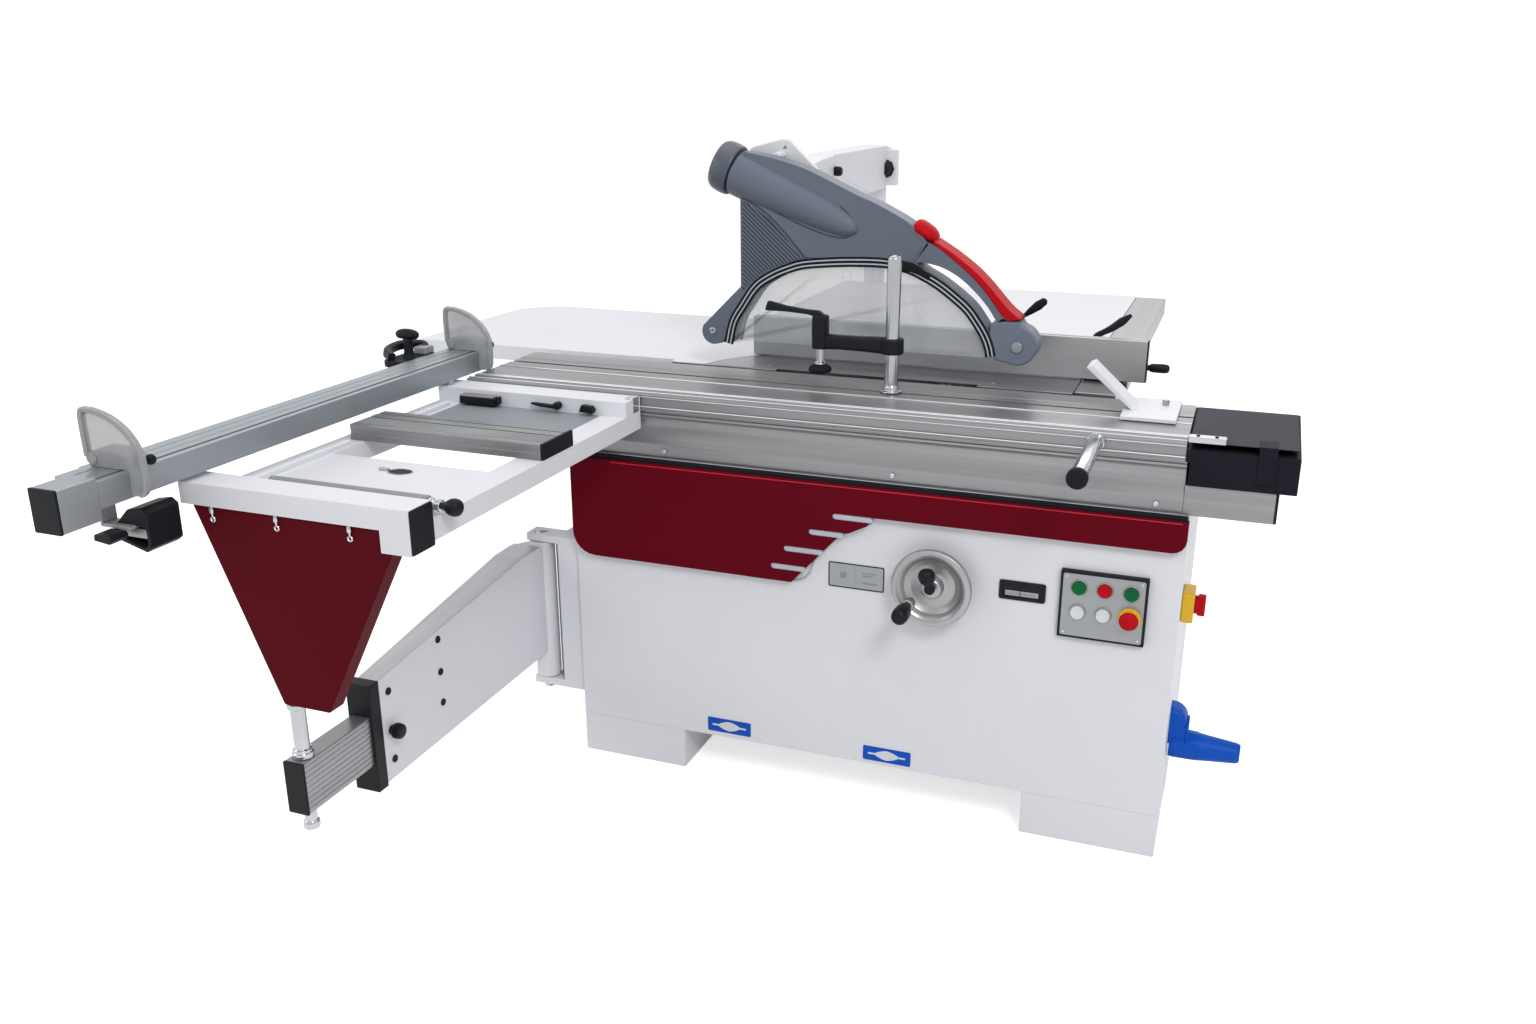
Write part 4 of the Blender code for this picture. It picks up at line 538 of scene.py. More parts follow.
def spun(name, base, centre, axis):
    """Machined discs: rings round an axis through a centre, in height and tone."""
    material, wiring, shader = start_material(name)
    where = wiring.add("ShaderNodeTexCoord").outputs["Object"]
    offset = tuple((-float(part) for part in np.array(centre) + CORNER))
    moved = wiring.add("ShaderNodeMapping", {"Vector": where, "Location": offset}).outputs[0]
    flat = wiring.add("ShaderNodeVectorMath", {0: moved,
        1: tuple((0 if a == axis else 1 for a in "XYZ"))}, operation="MULTIPLY").outputs[0]
    radius = wiring.add("ShaderNodeVectorMath", {0: flat}, operation="LENGTH").outputs["Value"]
    ring = wiring.add("ShaderNodeTexNoise", {"W": radius, "Scale": 900.0, "Detail": 3.0},
        noise_dimensions="1D").outputs["Fac"]
    marks = use_group(wiring, "Handling marks", Amount=0.8)
    wiring.link(tinted(wiring, base, 0.78, ring), shader, "Base Color")
    rough = wiring.between(marks["Smudges"], 0, 1, 0.36, 0.5)
    wiring.link(rough, shader, "Roughness")
    bump(wiring, shader, ring, 0.00003)
    shader.inputs["Metallic"].default_value = 0.75
    return material


def make_materials():
    """Every finish of the saw, by name."""
    paint = colours()
    wheel_low, wheel_high = span("handwheel")
    blade_low, blade_high = span("saw_blade")
    scorer_low, scorer_high = span("scoring_blade")
    return {"white": coated("White powder coat", paint.white, 0.4, 420.0, 0.0001, 0.4, 0.965),
        "band": coated("Band red gloss", paint.band_red, 0.38, 300.0, 0.00006, 0.1, 0.9),
        "panel": coated("Panel red satin", paint.panel_red, 0.46, 520.0, 0.00012, 0.1, 0.9),
        "signal": coated("Signal red plastic", paint.signal_red, 0.38, 500.0, 0.00006, 0.1, 0.85),
        "guard": coated("Guard grey plastic", paint.guard, 0.42, 1100.0, 0.00014, 0.3, 0.92),
        "black": coated("Black plastic", paint.black, 0.4, 900.0, 0.00014, 0.22, 0.7),
        "rubber": coated("Black rubber", paint.black, 0.6, 500.0, 0.0002, 0.2, 0.6),
        "smoke": coated("Smoked plastic", (0.018, 0.019, 0.026), 0.3, 500.0, 0.00005, 0.055, 0.8),
        # A lighter copy of the smoked plastic: painted light on the end cover's top.
        "smoke_lit_top": coated("Smoked plastic lit top", (0.04, 0.043, 0.058), 0.3, 500.0, 0.00005, 0.06,
        0.8), "green": coated("Green plastic", paint.green, 0.34, 500.0, 0.00005, 0.18, 0.85),
        "ivory": coated("White button plastic", (0.66, 0.67, 0.69), 0.3, 500.0, 0.00005, 0.45, 0.92),
        "yellow": coated("Yellow plastic", paint.yellow, 0.36, 600.0, 0.00008, 0.35, 0.88),
        "blue": coated("Blue plastic", paint.blue, 0.38, 600.0, 0.00008, 0.22, 0.85),
        "alu_x": drawn("Aluminium drawn along X", paint.aluminium, 0.38, "X", 0.62),
        "alu_y": drawn("Aluminium drawn along Y", paint.aluminium, 0.36, "Y", 0.8),
        "arm_top": drawn("Pale plate drawn along Y", (0.62, 0.63, 0.65), 0.34, "Y", 0.72),
        "fence": drawn("Fence aluminium", (0.37, 0.4, 0.43), 0.42, "Y", 0.88),
        "fence_x": drawn("Rip fence aluminium", (0.43, 0.44, 0.45), 0.42, "X", 0.88),
        "iron": ground_iron("Ground cast iron", paint.iron),
        "rough_iron": coated("Rough cast iron", (0.16, 0.165, 0.17), 0.62, 160.0, 0.0006, 0.4, 0.7),
        # The next two finishes are painted highlights: a bright red line on the band's top edge and bright
        # lines along the sliding table's edges.
        "painted_highlight_red": coated("Red painted highlight", (0.5, 0.012, 0.025), 0.3, 300.0, 0.00004, 0.3, 0.95),
        "bright": drawn("Metal painted highlight", (0.8, 0.81, 0.83), 0.3, "X", 0.9),
        "chrome": polished("Chrome", (0.4, 0.41, 0.43)), "steel": drawn("Steel drawn along Y",
        (0.42, 0.43, 0.45), 0.28, "Y", 0.8, metallic=0.9),
        "plate": drawn("Bright plate", (0.29, 0.3, 0.31), 0.42, "X", 0.9),
        # Pale blue grey: painted highlights and lit fillers on the band, and the pale lines round the guard's
        # window.
        "rim": coated("Pale blue grey", (0.5, 0.53, 0.6), 0.35, 500.0, 0.00005, 0.5, 0.9),
        "grey_floor": coated("Grey paint", (0.26, 0.28, 0.31), 0.46, 500.0, 0.0001, 0.3, 0.9),
        "tread": coated("Rough strip", (0.32, 0.33, 0.34), 0.8, 1500.0, 0.0005, 0.3, 0.55),
        # Copies of the guard grey: the shaded one is painted shade on the suction tube's mouth, the light one
        # is in part a painted highlight on the window's arch, and the darker one lies on the rib field and
        # its lines.
        "guard_dark": coated("Darker copy of guard grey", tuple((part * 0.4 for part in paint.guard)), 0.4,
        900.0, 0.0001, 0.25, 0.9), "guard_shaded": coated("Shaded guard grey plastic",
        tuple((part * 0.66 for part in paint.guard)), 0.36, 900.0, 0.0001, 0.4, 0.9),
        "guard_light": coated("Light guard grey plastic", tuple((part * 1.25 for part in paint.guard)),
        0.42, 900.0, 0.0001, 0.3, 0.9), "cast_rim": clear("Thick stop plastic", (0.34, 0.35, 0.36), 0.86,
        0.14), "clear": clear("Clear window plastic", (0.6, 0.62, 0.65), 0.24),
        "cast_clear": clear("Clear stop plastic", (0.4, 0.41, 0.42), 0.58, 0.12),
        "wheel": spun("Turned wheel aluminium", (0.38, 0.385, 0.39), (wheel_low + wheel_high) / 2, "Y"),
        "blade": spun("Ground blade steel", (0.5, 0.51, 0.53), (blade_low + blade_high) / 2, "Y"),
        "scorer": spun("Ground scorer steel", (0.5, 0.51, 0.53), (scorer_low + scorer_high) / 2, "Y")}


FINISHES = {}


# ---------------------------------------------------------------------------------------------
# Shared small shapes
# ---------------------------------------------------------------------------------------------


def joined(*meshes):
    """One mesh that holds several, each kept as a closed shell."""
    points, faces, count = [], [], 0
    for mesh in meshes:
        flat = np.empty(len(mesh.vertices) * 3)
        mesh.vertices.foreach_get("co", flat)
        points.append(flat.reshape(-1, 3) - CORNER)
        faces.extend([[v + count for v in face.vertices] for face in mesh.polygons])
        count += len(mesh.vertices)
        bpy.data.meshes.remove(mesh)
    return mesh_from(np.concatenate(points), faces)


def copies(mesh, places):
    """The same shell at several places: every point of the shell plus each place."""
    flat = np.empty(len(mesh.vertices) * 3)
    mesh.vertices.foreach_get("co", flat)
    points = flat.reshape(1, -1, 3) - CORNER + np.asarray(places, float)[:, None]
    each = [list(face.vertices) for face in mesh.polygons]
    count = len(mesh.vertices)
    faces = [[v + i * count for v in face] for i in range(len(places)) for face in each]
    bpy.data.meshes.remove(mesh)
    return mesh_from(points.reshape(-1, 3), faces)


def bolt_heads(name, places, axis, facing, body, radius=None, height=None, slot="chrome"):
    """Socket bolts: a turned head with a rounded rim and a sunk socket, standing along the axis."""
    r = radius or sizes().bolt
    h = height or r * 0.9
    profile = [(0, h * 0.4), (r * 0.48, h * 0.45), (r * 0.52, h), (r * 0.8, h), (r, h * 0.72), (r, 0),
        (0, 0)]
    profile = [(a, b * facing) for a, b in profile]
    head = turned(profile, axis, (0, 0, 0), 20, r * 0.08)
    return piece(name, copies(head, places), "chrome" if slot == "chrome" else "black", body)


# ---------------------------------------------------------------------------------------------
# Pieces
# ---------------------------------------------------------------------------------------------


class PANELSAW_OT_finishes(bpy.types.Operator):
    """Make the node groups and every finish of the saw"""

    bl_idname = "panel_saw.finishes"
    bl_label = "Finishes"

    def execute(self, context):
        make_groups()
        FINISHES.update(make_materials())
        return {"FINISHED"}


class PANELSAW_OT_cabinet(bpy.types.Operator):
    """Finish the cabinet, its plinths and its rear door, and add the plates and the tilt scale"""

    bl_idname = "panel_saw.cabinet"
    bl_label = "Cabinet"

    def execute(self, context):
        for node in ("cabinet", "plinth_left", "plinth_right", "rear_door"):
            refined(node, "white", sizes().edge)
        front = -0.0002
        data_plate(0.618, 0.743, 0.519, 0.576, front)
        for i, (left, right, low) in enumerate(((0.326, 0.434, 0.112), (0.706, 0.816, 0.11))):
            marker_plate(f"lift_marker_{i + 1}", left, right, low, low + 0.035, front)
        tilt_scale(0.993, 1.083, 0.547, 0.583, front)
        door_low, door_high = span("rear_door")
        latch_y = door_high[1]
        places = [(door_low[0] + 0.04, latch_y, z) for z in (door_low[2] + 0.09, door_high[2] - 0.09)]
        latch = turned(disc(0.014, 0.007, 0.002), "Y", (0, 0, 0), 32)
        piece("door_latches", copies(latch, places), "black", "door")
        hinge = turned(disc(0.007, 0.06, 0.001), "Z", (0, 0, 0), 24)
        places = [(door_high[0] + 0.001, latch_y - 0.008, z)
            for z in (door_low[2] + 0.05, door_high[2] - 0.11)]
        piece("door_hinges", copies(hinge, places), "chrome", "machine")
        return {"FINISHED"}


def data_plate(left, right, low, high, front):
    """A bare data plate: a bright sheet in a raised dark rim, held by four rivets."""
    rim_outer = rounded_outline((low, left), (high, right), 0.004)
    rim_inner = rounded_outline((low + 0.0022, left + 0.0022), (high - 0.0022, right - 0.0022), 0.003)
    rim = flat_ring(rim_outer, rim_inner, "Y", front - 0.0016, front)
    piece("data_plate_rim", rim, "black", "machine", 0.0003)
    sheet = prism(rim_inner, "Y", front - 0.0008, front)
    piece("data_plate", sheet, "plate", "machine")
    middle = (left + right) / 2
    bars = [(middle - 0.0008, low + 0.01, middle - 0.0002, high - 0.01),
        (left + 0.026, low + 0.022, middle - 0.022, low + 0.036),
        (middle + 0.012, high - 0.02, right - 0.018, high - 0.0175),
        (middle + 0.012, high - 0.026, right - 0.026, high - 0.0235),
        (middle + 0.012, low + 0.014, right - 0.014, low + 0.0175)]
    marks = [block((a, front - 0.0011, b), (c, front - 0.0007, d)) for a, b, c, d in bars]
    piece("data_plate_marks", joined(*marks), "grey_floor", "machine")
    inset = 0.0065
    places = [(x, front - 0.0008, z) for x in (left + inset, right - inset)
        for z in (low + inset, high - inset)]
    bolt_heads("data_plate_rivets", places, "Y", -1, "machine", 0.0016, 0.001)


def marker_plate(name, left, right, low, high, front):
    """A blue plate that marks a lifting point with a plain pale lozenge and a bar across it."""
    sheet = prism(rounded_outline((low, left), (high, right), 0.003), "Y", front - 0.001, front)
    piece(name, sheet, "blue", "machine", 0.0003)
    x, z = (left + right) / 2, (low + high) / 2
    w, h = (right - left) * 0.26, (high - low) * 0.34
    turn = np.linspace(0, 2 * np.pi, 32, endpoint=False)
    lozenge = np.stack([z + h * np.sign(np.sin(turn)) * np.abs(np.sin(turn)) ** 1.4,
        x + w * np.sign(np.cos(turn)) * np.abs(np.cos(turn)) ** 1.4], -1)
    mark = prism(lozenge, "Y", front - 0.0016, front - 0.0009)
    bar = block((left + 0.012, front - 0.0014, z - 0.0022), (right - 0.012, front - 0.0009, z + 0.0022))
    piece(name + "_mark", joined(mark, bar), "ivory", "machine", 0.0002)


def tilt_scale(left, right, low, high, front):
    """The tilt scale's window: a black frame round a sunk pale scale."""
    outer = rounded_outline((low - 0.003, left - 0.003), (high + 0.003, right + 0.003), 0.005)
    inner = rounded_outline((low + 0.003, left + 0.004), (high - 0.003, right - 0.004), 0.003)
    ring = flat_ring(outer, inner, "Y", front - 0.003, front)
    piece("tilt_scale_frame", ring, "black", "machine", 0.0007)
    # A black sheet fills the window round the scale: painted shade of the recess behind it.
    dark = prism(inner, "Y", front - 0.0007, front)
    piece("tilt_scale_recess_shade", dark, "black", "machine")
    middle = (low + high) / 2
    strip = block((left + 0.01, front - 0.0013, low + 0.006),
        (right - 0.012, front - 0.0006, middle - 0.001))
    marks_x = np.linspace(left + 0.014, right - 0.018, 19)
    piece("tilt_scale_strip", strip, "plate", "machine", 0.0002)
    mark = block((-0.0003, front - 0.0016, low + 0.008), (0.0003, front - 0.0012, middle - 0.004))
    marks = copies(mark, [(x, 0, 0) for x in marks_x])
    piece("tilt_scale_marks", marks, "black", "machine", smooth=False)
    pointer = block((left + 0.04, front - 0.0024, low + 0.005),
        (left + 0.0412, front - 0.0016, high - 0.006))
    piece("tilt_scale_pointer", pointer, "black", "machine", 0.0002)


class PANELSAW_OT_band(bpy.types.Operator):
    """Finish the red front band, with painted highlights along its lower edge and top, and painted shadow in
    the gap above it
    """

    bl_idname = "panel_saw.band"
    bl_label = "Front band"

    def execute(self, context):
        refined("front_band", "band", 0.0022, 3, 28)
        band_lines()
        return {"FINISHED"}


def band_lines():
    """Painted light on the band: pale tubes along its lower edges as painted highlight, pale fillers in the
    flashes in place of the cabinet seen in shade behind them, a bright red tube along the top as painted
    highlight, and a black strip in the gap at the top as painted shadow.
    """
    low, high = span("front_band")
    front, rear, top = low[1], high[1], high[2]
    line = mm((3.5, 640), (3.5, 580), (6.5, 560), (16, 540), (33, 525.5), (60, 520), (300, 519.8),
        (540, 519.5), (590, 579), (643, 636), (707, 670), (717, 689.5))
    # Pale tubes along the band's lower edges: a painted highlight on its rounded edge.
    edge_highlights = [tube(at_depth(smooth_path(line, 60), rear - 0.0022), 0.0022, 8),
        tube(at_depth(mm((717, 690), (1000, 690), (1318, 690), (1338, 696), (1350, 718)), rear - 0.0022),
        0.0022, 8)]
    # Pale fillers in the flashes: painted light, in place of the cabinet seen in shade through them.
    flashes = []
    for left, right, z in ((0.6293, 0.717, 0.6845), (0.5763, 0.654, 0.643), (0.5193, 0.608, 0.598),
            (0.4893, 0.568, 0.554)):
        outline = rounded_outline((z - 0.0064, left), (z + 0.0064, right), 0.0063)
        flashes.append(prism(outline, "Y", front + 0.0035, rear - 0.0005))
    piece("band_painted_light", joined(*edge_highlights, *flashes), "rim", "machine")
    # A bright red tube just under the band's top edge: a painted highlight.
    glint = at_depth([(0.105, top - 0.006), (0.6, top - 0.0048), (1.338, top - 0.004)], front + 0.0004)
    piece("band_glint", tube(glint, 0.0016, 8), "painted_highlight_red", "machine")
    # A black strip filling the gap between the band's top and the beam: painted shadow.
    shadow_strip = block((low[0] + 0.003, front + 0.006, top - 0.003), (high[0] - 0.003, rear, 0.7652))
    piece("band_painted_shadow", shadow_strip, "rubber", "machine")


class PANELSAW_OT_guide(bpy.types.Operator):
    """Make the guide beam and its extension"""

    bl_idname = "panel_saw.guide"
    bl_label = "Guide beam"

    def execute(self, context):
        low, high = span("guide_beam")
        bottom, top, front, back = low[2], high[2], low[1], high[1]
        middle = (bottom + top) / 2
        face = smooth_path([(front, bottom + 0.004), (front, bottom + 0.03),
            (front + 0.0012, bottom + 0.036), (front + 0.0075, middle), (front + 0.0105, middle + 0.018),
            (front + 0.008, top - 0.02), (front + 0.003, top - 0.012)], 40)
        lip = np.array([(front, top - 0.0105), (front, top - 0.006), (front + 0.0035, top - 0.004),
            (front + 0.0035, top), (back, top), (back, bottom), (front + 0.0015, bottom)])
        outline = np.vstack([face, lip])
        piece("guide_beam_shell", prism(outline, "X", low[0], high[0]), "alu_x", "machine", 0.0006, 2, 40,
            replaces="guide_beam")
        places = [(x, front, 0.783) for x in (0.23, 0.753, 1.284)]
        bolt_heads("guide_beam_bolts", places, "Y", -1, "machine", 0.0062, 0.0052)
        low, high = span("guide_extension")
        outline = [(low[1], low[2]), (high[1], low[2]), (high[1], high[2]), (low[1] + 0.002, high[2]),
            (low[1] + 0.002, high[2] - 0.004), (low[1], high[2] - 0.006)]
        piece("guide_extension_shell", prism(outline, "X", low[0], high[0] - 0.005), "alu_x", "machine",
            0.0008, replaces="guide_extension")
        plug = rounded_outline((low[1] - 0.0004, low[2]), (high[1], high[2]), 0.003)
        piece("guide_extension_plug", prism(plug, "X", high[0] - 0.0055, high[0]), "black", "machine",
            0.0008)
        return {"FINISHED"}


class PANELSAW_OT_carriage(bpy.types.Operator):
    """Make the sliding table, its end cover, the push handle and the edging shoe"""

    bl_idname = "panel_saw.carriage"
    bl_label = "Sliding table"

    def execute(self, context):
        sliding_table()
        end_cover()
        push_handle()
        refined("edging_shoe", "white", 0.0012)
        low, high = span("edging_shoe")
        nut = turned(mm((0, 12), (6, 12), (7, 10), (7, 0), (0, 0)), "Z",
            (high[0] - 0.03, (low[1] + high[1]) / 2 + 0.035, low[2] + 0.008), 6, 0.0004)
        piece("shoe_nut", nut, "chrome", "carriage")
        return {"FINISHED"}


def sliding_table():
    """The extruded top: beads and grooves at its front, a T-slot, a shallow step and a rounded far lip."""
    low, high = span("sliding_carriage")
    top, bottom, far = high[2], low[2], high[1]
    slot = 0.203
    bead = lambda y: [(y + 0.0068, top - 0.0022), (y + 0.0056, top - 0.0005), (y + 0.0034, top),
        (y + 0.0012, top - 0.0005), (y, top - 0.0022)]
    outline = [(0.0012, bottom), (far - 0.026, bottom), (far - 0.026, top - 0.02), (far, top - 0.02),
        (far, top - 0.003), (far - 0.001, top - 0.001), (far - 0.003, top), (slot + 0.04, top),
        (slot + 0.039, top - 0.0008), (slot + 0.0062, top - 0.0008), (slot + 0.006, top - 0.012),
        (slot - 0.006, top - 0.012), (slot - 0.0062, top - 0.0008), (0.151, top - 0.0008), (0.15, top),
        (0.144, top), (0.143, top - 0.0012), (0.052, top - 0.0012), (0.051, top - 0.0002), *bead(0.0435),
        (0.0425, top - 0.003), *bead(0.0352), (0.0335, top - 0.003), (0.015, top - 0.003), *bead(0.008),
        (0.007, top - 0.0042), (0.0052, top - 0.0042), (0.0048, top - 0.0032), (0.0036, top - 0.0022),
        (0.0016, top - 0.0026), (0.0002, top - 0.0042), (0.0002, top - 0.0066), (0.002, top - 0.0085),
        (0.0042, top - 0.0105), (0.0046, top - 0.02), (0.0036, top - 0.0275), (0.0004, top - 0.0285),
        (0.0002, top - 0.0315), (0.0022, top - 0.0328), (0.0022, top - 0.035), (0.0004, top - 0.0362),
        (0.0002, top - 0.0385)]
    piece("sliding_carriage_shell", prism(outline, "X", low[0], high[0]), "alu_x", "carriage", 0.00035, 2,
        25, replaces="sliding_carriage")
    table_highlights(low, high)


def table_highlights(low, high):
    """Painted highlights: bright tubes that run along the table, on its beads, beside the slot and at the far
    lip, where its polished edges catch the light.
    """
    places = ((0.0114, high[2] + 0.0001), (0.002, high[2] - 0.0082), (0.0386, high[2] + 0.0001),
        (0.0469, high[2] + 0.0001), (0.147, high[2] - 0.0002), (0.0006, high[2] - 0.0302))
    lines = [tube([(low[0] + 0.001, y, z), (high[0] - 0.001, y, z)], 0.0012, 8) for y, z in places]
    piece("table_highlights", joined(*lines), "bright", "carriage")


def end_cover():
    """The smoked end cover: its top pane a lighter copy of the smoke as painted light, darker smoke on the
    sides, a strap folded over its edge and a catch.
    """
    low, high = span("carriage_end_cover")
    refined("carriage_end_cover", "smoke", 0.0025, 3)
    # The top pane takes a lighter copy of the smoked plastic: painted light on the top.
    panel = rounded_outline((low[0] + 0.005, low[1] + 0.005), (high[0] - 0.005, high[1] - 0.005), 0.004)
    piece("end_cover_lit_pane", prism(panel, "Z", high[2] - 0.0004, high[2] + 0.001), "smoke_lit_top",
        "carriage", 0.0004)
    near, top = low[1] - 0.003, high[2] + 0.0035
    strap = [(low[1] + 0.052, high[2]), (low[1] + 0.052, top), (near, top), (near, low[2] + 0.016),
        (low[1], low[2] + 0.016), (low[1], high[2])]
    piece("end_cover_strap", prism(strap, "X", high[0] - 0.075, high[0] - 0.042), "smoke", "carriage",
        0.0012, 3)
    bar = rounded_outline((low[0] + 0.001, low[1] + 0.002), (low[0] + 0.07, low[1] + 0.024), 0.002)
    piece("end_cover_catch", prism(bar, "Z", high[2] - 0.0006, high[2] + 0.011), "chrome", "carriage",
        0.0012, 3)
    places = [(low[0] + x, low[1] + 0.013, high[2] + 0.011) for x in (0.018, 0.052)]
    bolt_heads("end_cover_catch_bolts", places, "Z", 1, "carriage", 0.0036, 0.0016, "black_plastic")


def push_handle():
    """A chrome tube, a stepped foot ring and a domed black cap."""
    low, high = span("push_handle")
    x, _, z = (low + high) / 2
    near, far, cap, r = low[1], high[1], 0.0205, 0.016
    bar = turned([(0, 0.01), (r, 0.01), (r, far - near), (0, far - near)], "Y", (x, near, z), 64)
    piece("push_handle_bar", bar, "chrome", "carriage", replaces="push_handle")
    foot = turned([(r - 0.002, -0.004), (r + 0.001, -0.004), (r + 0.0018, -0.003), (r + 0.0018, 0),
        (r - 0.002, 0)], "Y", (x, far, z), 64, 0.0006)
    piece("push_handle_foot", foot, "chrome", "carriage")
    dome = [(0, 0), (cap * 0.55, 0.0008), (cap * 0.84, 0.003), (cap * 0.96, 0.0065), (cap * 0.96, 0.018),
        (cap * 0.86, 0.022), (0, 0.022)]
    piece("push_handle_cap", turned(dome, "Y", (x, near, z), 64, 0.003), "rubber", "carriage")


def upright(points):
    """Turns (x, z) points into the (z, x) order of an outline that is carried along Y."""
    return np.asarray(points, float)[:, ::-1]


def capsule(half_wide, half_thick, steps=6):
    """A section with straight sides and rounded corners, as points round it."""
    r = min(half_wide, half_thick) * 0.6
    return rounded_outline((-half_wide, -half_thick), (half_wide, half_thick), r, steps)


TRAY_TOP = 0.8711
HINGE_HEIGHT = 0.9743
FENCE_PIN_REACH = 0.014


class PANELSAW_OT_crosscut_frame(bpy.types.Operator):
    """Make the crosscut frame with its caps, hooks, tray fittings, side bars and red support panel"""

    bl_idname = "panel_saw.crosscut_frame"
    bl_label = "Crosscut frame"

    def execute(self, context):
        refined("crosscut_frame", "white", 0.003, 3)
        refined("support_panel", "panel", 0.003, 3)
        frame_ends()
        panel_hooks()
        tray_fittings()
        far_recess()
        support_beam()
        roller_and_lever()
        return {"FINISHED"}


def frame_ends():
    """The black cap on the front beam's right end, the chrome corner and the two rounded side bars."""
    low, high = span("crosscut_frame")
    cap = rounded_outline((low[1] + 0.001, low[2] + 0.001), (low[1] + 0.064, high[2] - 0.001), 0.004)
    piece("beam_end_cap", prism(cap, "X", high[0] - 0.0005, high[0] + 0.003), "black", "carriage", 0.001)
    corner = rounded_outline((high[0] - 0.02, low[1] + 0.815), (high[0] + 0.0005, high[1] - 0.0008),
        0.0085)
    piece("frame_corner", prism(corner, "Z", 0.8725, high[2] + 0.0025), "chrome", "carriage", 0.0015, 3)
    for name, near, far in (("side_bar_near", -0.78, -0.455), ("side_bar_far", -0.29, -0.105)):
        path = np.array([(-0.2515, y, 0.8765) for y in (near, near + 0.004, far - 0.004, far)])
        section = capsule(0.007, 0.0065)[None] * np.array([0.55, 1, 1, 0.55])[:, None, None]
        piece(name, swept(path, section), "white", "carriage")


def panel_hooks():
    """Three chrome hooks under the front beam: a neck, a shank and a ring that hangs below it."""
    turn = np.linspace(-0.5 * np.pi, 1.35 * np.pi, 30)
    ring = np.stack([0.0042 * np.cos(turn), 0 * turn, -0.0235 - 0.0042 * np.sin(turn)], -1)
    path = np.vstack([mm((0, 0, 3), (0, 0, -9)), mm((0, 0, -15)), ring])
    hook = tube(path, 0.0017, 10)
    neck = turned(mm((0, -12), (4.2, -12), (4.6, -6), (3.6, 1), (0, 1)), "Z", (0, 0, 0), 20, 0.0005)
    near = span("crosscut_frame")[0][1]
    places = [(x, near + 0.003, 0.865) for x in (-0.235, -0.098, 0.053)]
    piece("panel_hooks", copies(joined(hook, neck), places), "chrome", "carriage")


def tray_fittings():
    """The tray's oval finger hole with its bright rim and latch, and a black sheet in the hole as painted
    shade.
    """
    top, x, y = TRAY_TOP, -0.04, -0.58
    turn = np.linspace(0, 2 * np.pi, 40, endpoint=False)
    oval = np.stack([x + 0.026 * np.cos(turn), y + 0.019 * np.sin(turn)], -1)
    inner = np.stack([x + 0.0235 * np.cos(turn), y + 0.0165 * np.sin(turn)], -1)
    piece("tray_hole_rim", flat_ring(oval, inner, "Z", top - 0.0002, top + 0.0012), "chrome", "carriage",
        0.0004)
    # A black sheet in the finger hole: painted shade.
    piece("tray_hole_shade", prism(inner, "Z", top - 0.0002, top + 0.0005), "black", "carriage")
    latch = rounded_outline((x - 0.047, y - 0.004), (x - 0.026, y + 0.006), 0.003)
    piece("tray_latch", prism(latch, "Z", top, top + 0.004), "chrome", "carriage", 0.001)


def far_recess():
    """The grey floor behind the support beam, with its black stop block, lever and latch."""
    top = TRAY_TOP
    floor = rounded_outline((-0.236, -0.2965), (0.112, -0.072), 0.004)
    piece("recess_floor", prism(floor, "Z", top - 0.0001, top + 0.001), "grey_floor", "carriage", 0.0003)
    y = -0.0708
    stop = block((-0.228, y - 0.026, 0.8765), (-0.137, y, 0.893))
    nub = block((-0.1365, y - 0.022, 0.879), (-0.131, y - 0.004, 0.896))
    piece("recess_block", joined(stop, nub), "black", "carriage", 0.0022, 3)
    plate = block((-0.227, y - 0.025, 0.8931), (-0.142, y - 0.002, 0.896))
    piece("recess_plate", plate, "alu_y", "carriage", 0.0008)
    path = smooth_path([(-0.053, y - 0.008, 0.888), (-0.025, y - 0.011, 0.8868),
        (0.004, y - 0.012, 0.886), (0.016, y - 0.011, 0.8885)], 24)
    grow = np.interp(np.linspace(0, 1, 24), [0, 0.15, 0.7, 0.9, 1], [0.45, 0.75, 1.0, 1.6, 0.9])
    piece("recess_lever", swept(path, capsule(0.006, 0.0042)[None] * grow[:, None, None]), "black",
        "carriage")
    hub = turned(disc(0.0085, 0.018, 0.002), "Y", (0.013, y - 0.0185, 0.888), 32)
    piece("recess_hub", hub, "black", "carriage")
    latch = prism(upright(mm((68, 880), (100, 877.5), (104, 885), (98, 893.5), (74, 895))), "Y",
        y - 0.016, y)
    piece("recess_latch", latch, "black", "carriage", 0.0018, 3)


def support_beam():
    """The cross beam: two narrow grooves, a rough tread strip in a wide one and a black end cap."""
    low, high = span("support_beam")
    near, far, top, bottom = low[1], high[1], high[2], low[2]
    groove = lambda y, wide, deep: [(y + wide, top - 0.0004), (y + wide, top - deep), (y, top - deep),
        (y, top - 0.0004)]
    outline = [(near, bottom), (far, bottom), (far, top - 0.002), (far - 0.002, top - 0.0004),
        *groove(near + 0.093, 0.0045, 0.005), (near + 0.0915, top - 0.0004), (near + 0.0905, top),
        (near + 0.0695, top), (near + 0.069, top - 0.0004), *groove(near + 0.0625, 0.0055, 0.006),
        *groove(near + 0.013, 0.047, 0.0014), (near + 0.0022, top - 0.0004), (near, top - 0.0025),
        (near, top - 0.01), (near + 0.0012, top - 0.0108), (near + 0.0012, top - 0.019),
        (near, top - 0.0198)]
    piece("support_beam_shell", prism(outline, "X", low[0], high[0] - 0.005), "alu_x", "carriage", 0.0004,
        2, 25, replaces="support_beam")
    strip = block((low[0] + 0.001, near + 0.0136, top - 0.0016),
        (high[0] - 0.0055, near + 0.0594, top - 0.0002))
    piece("support_tread", strip, "tread", "carriage", 0.0003)
    cap = rounded_outline((near - 0.0004, bottom), (far + 0.0004, top + 0.0004), 0.003)
    piece("support_beam_cap", prism(cap, "X", high[0] - 0.0052, high[0] + 0.001), "black", "carriage",
        0.001)


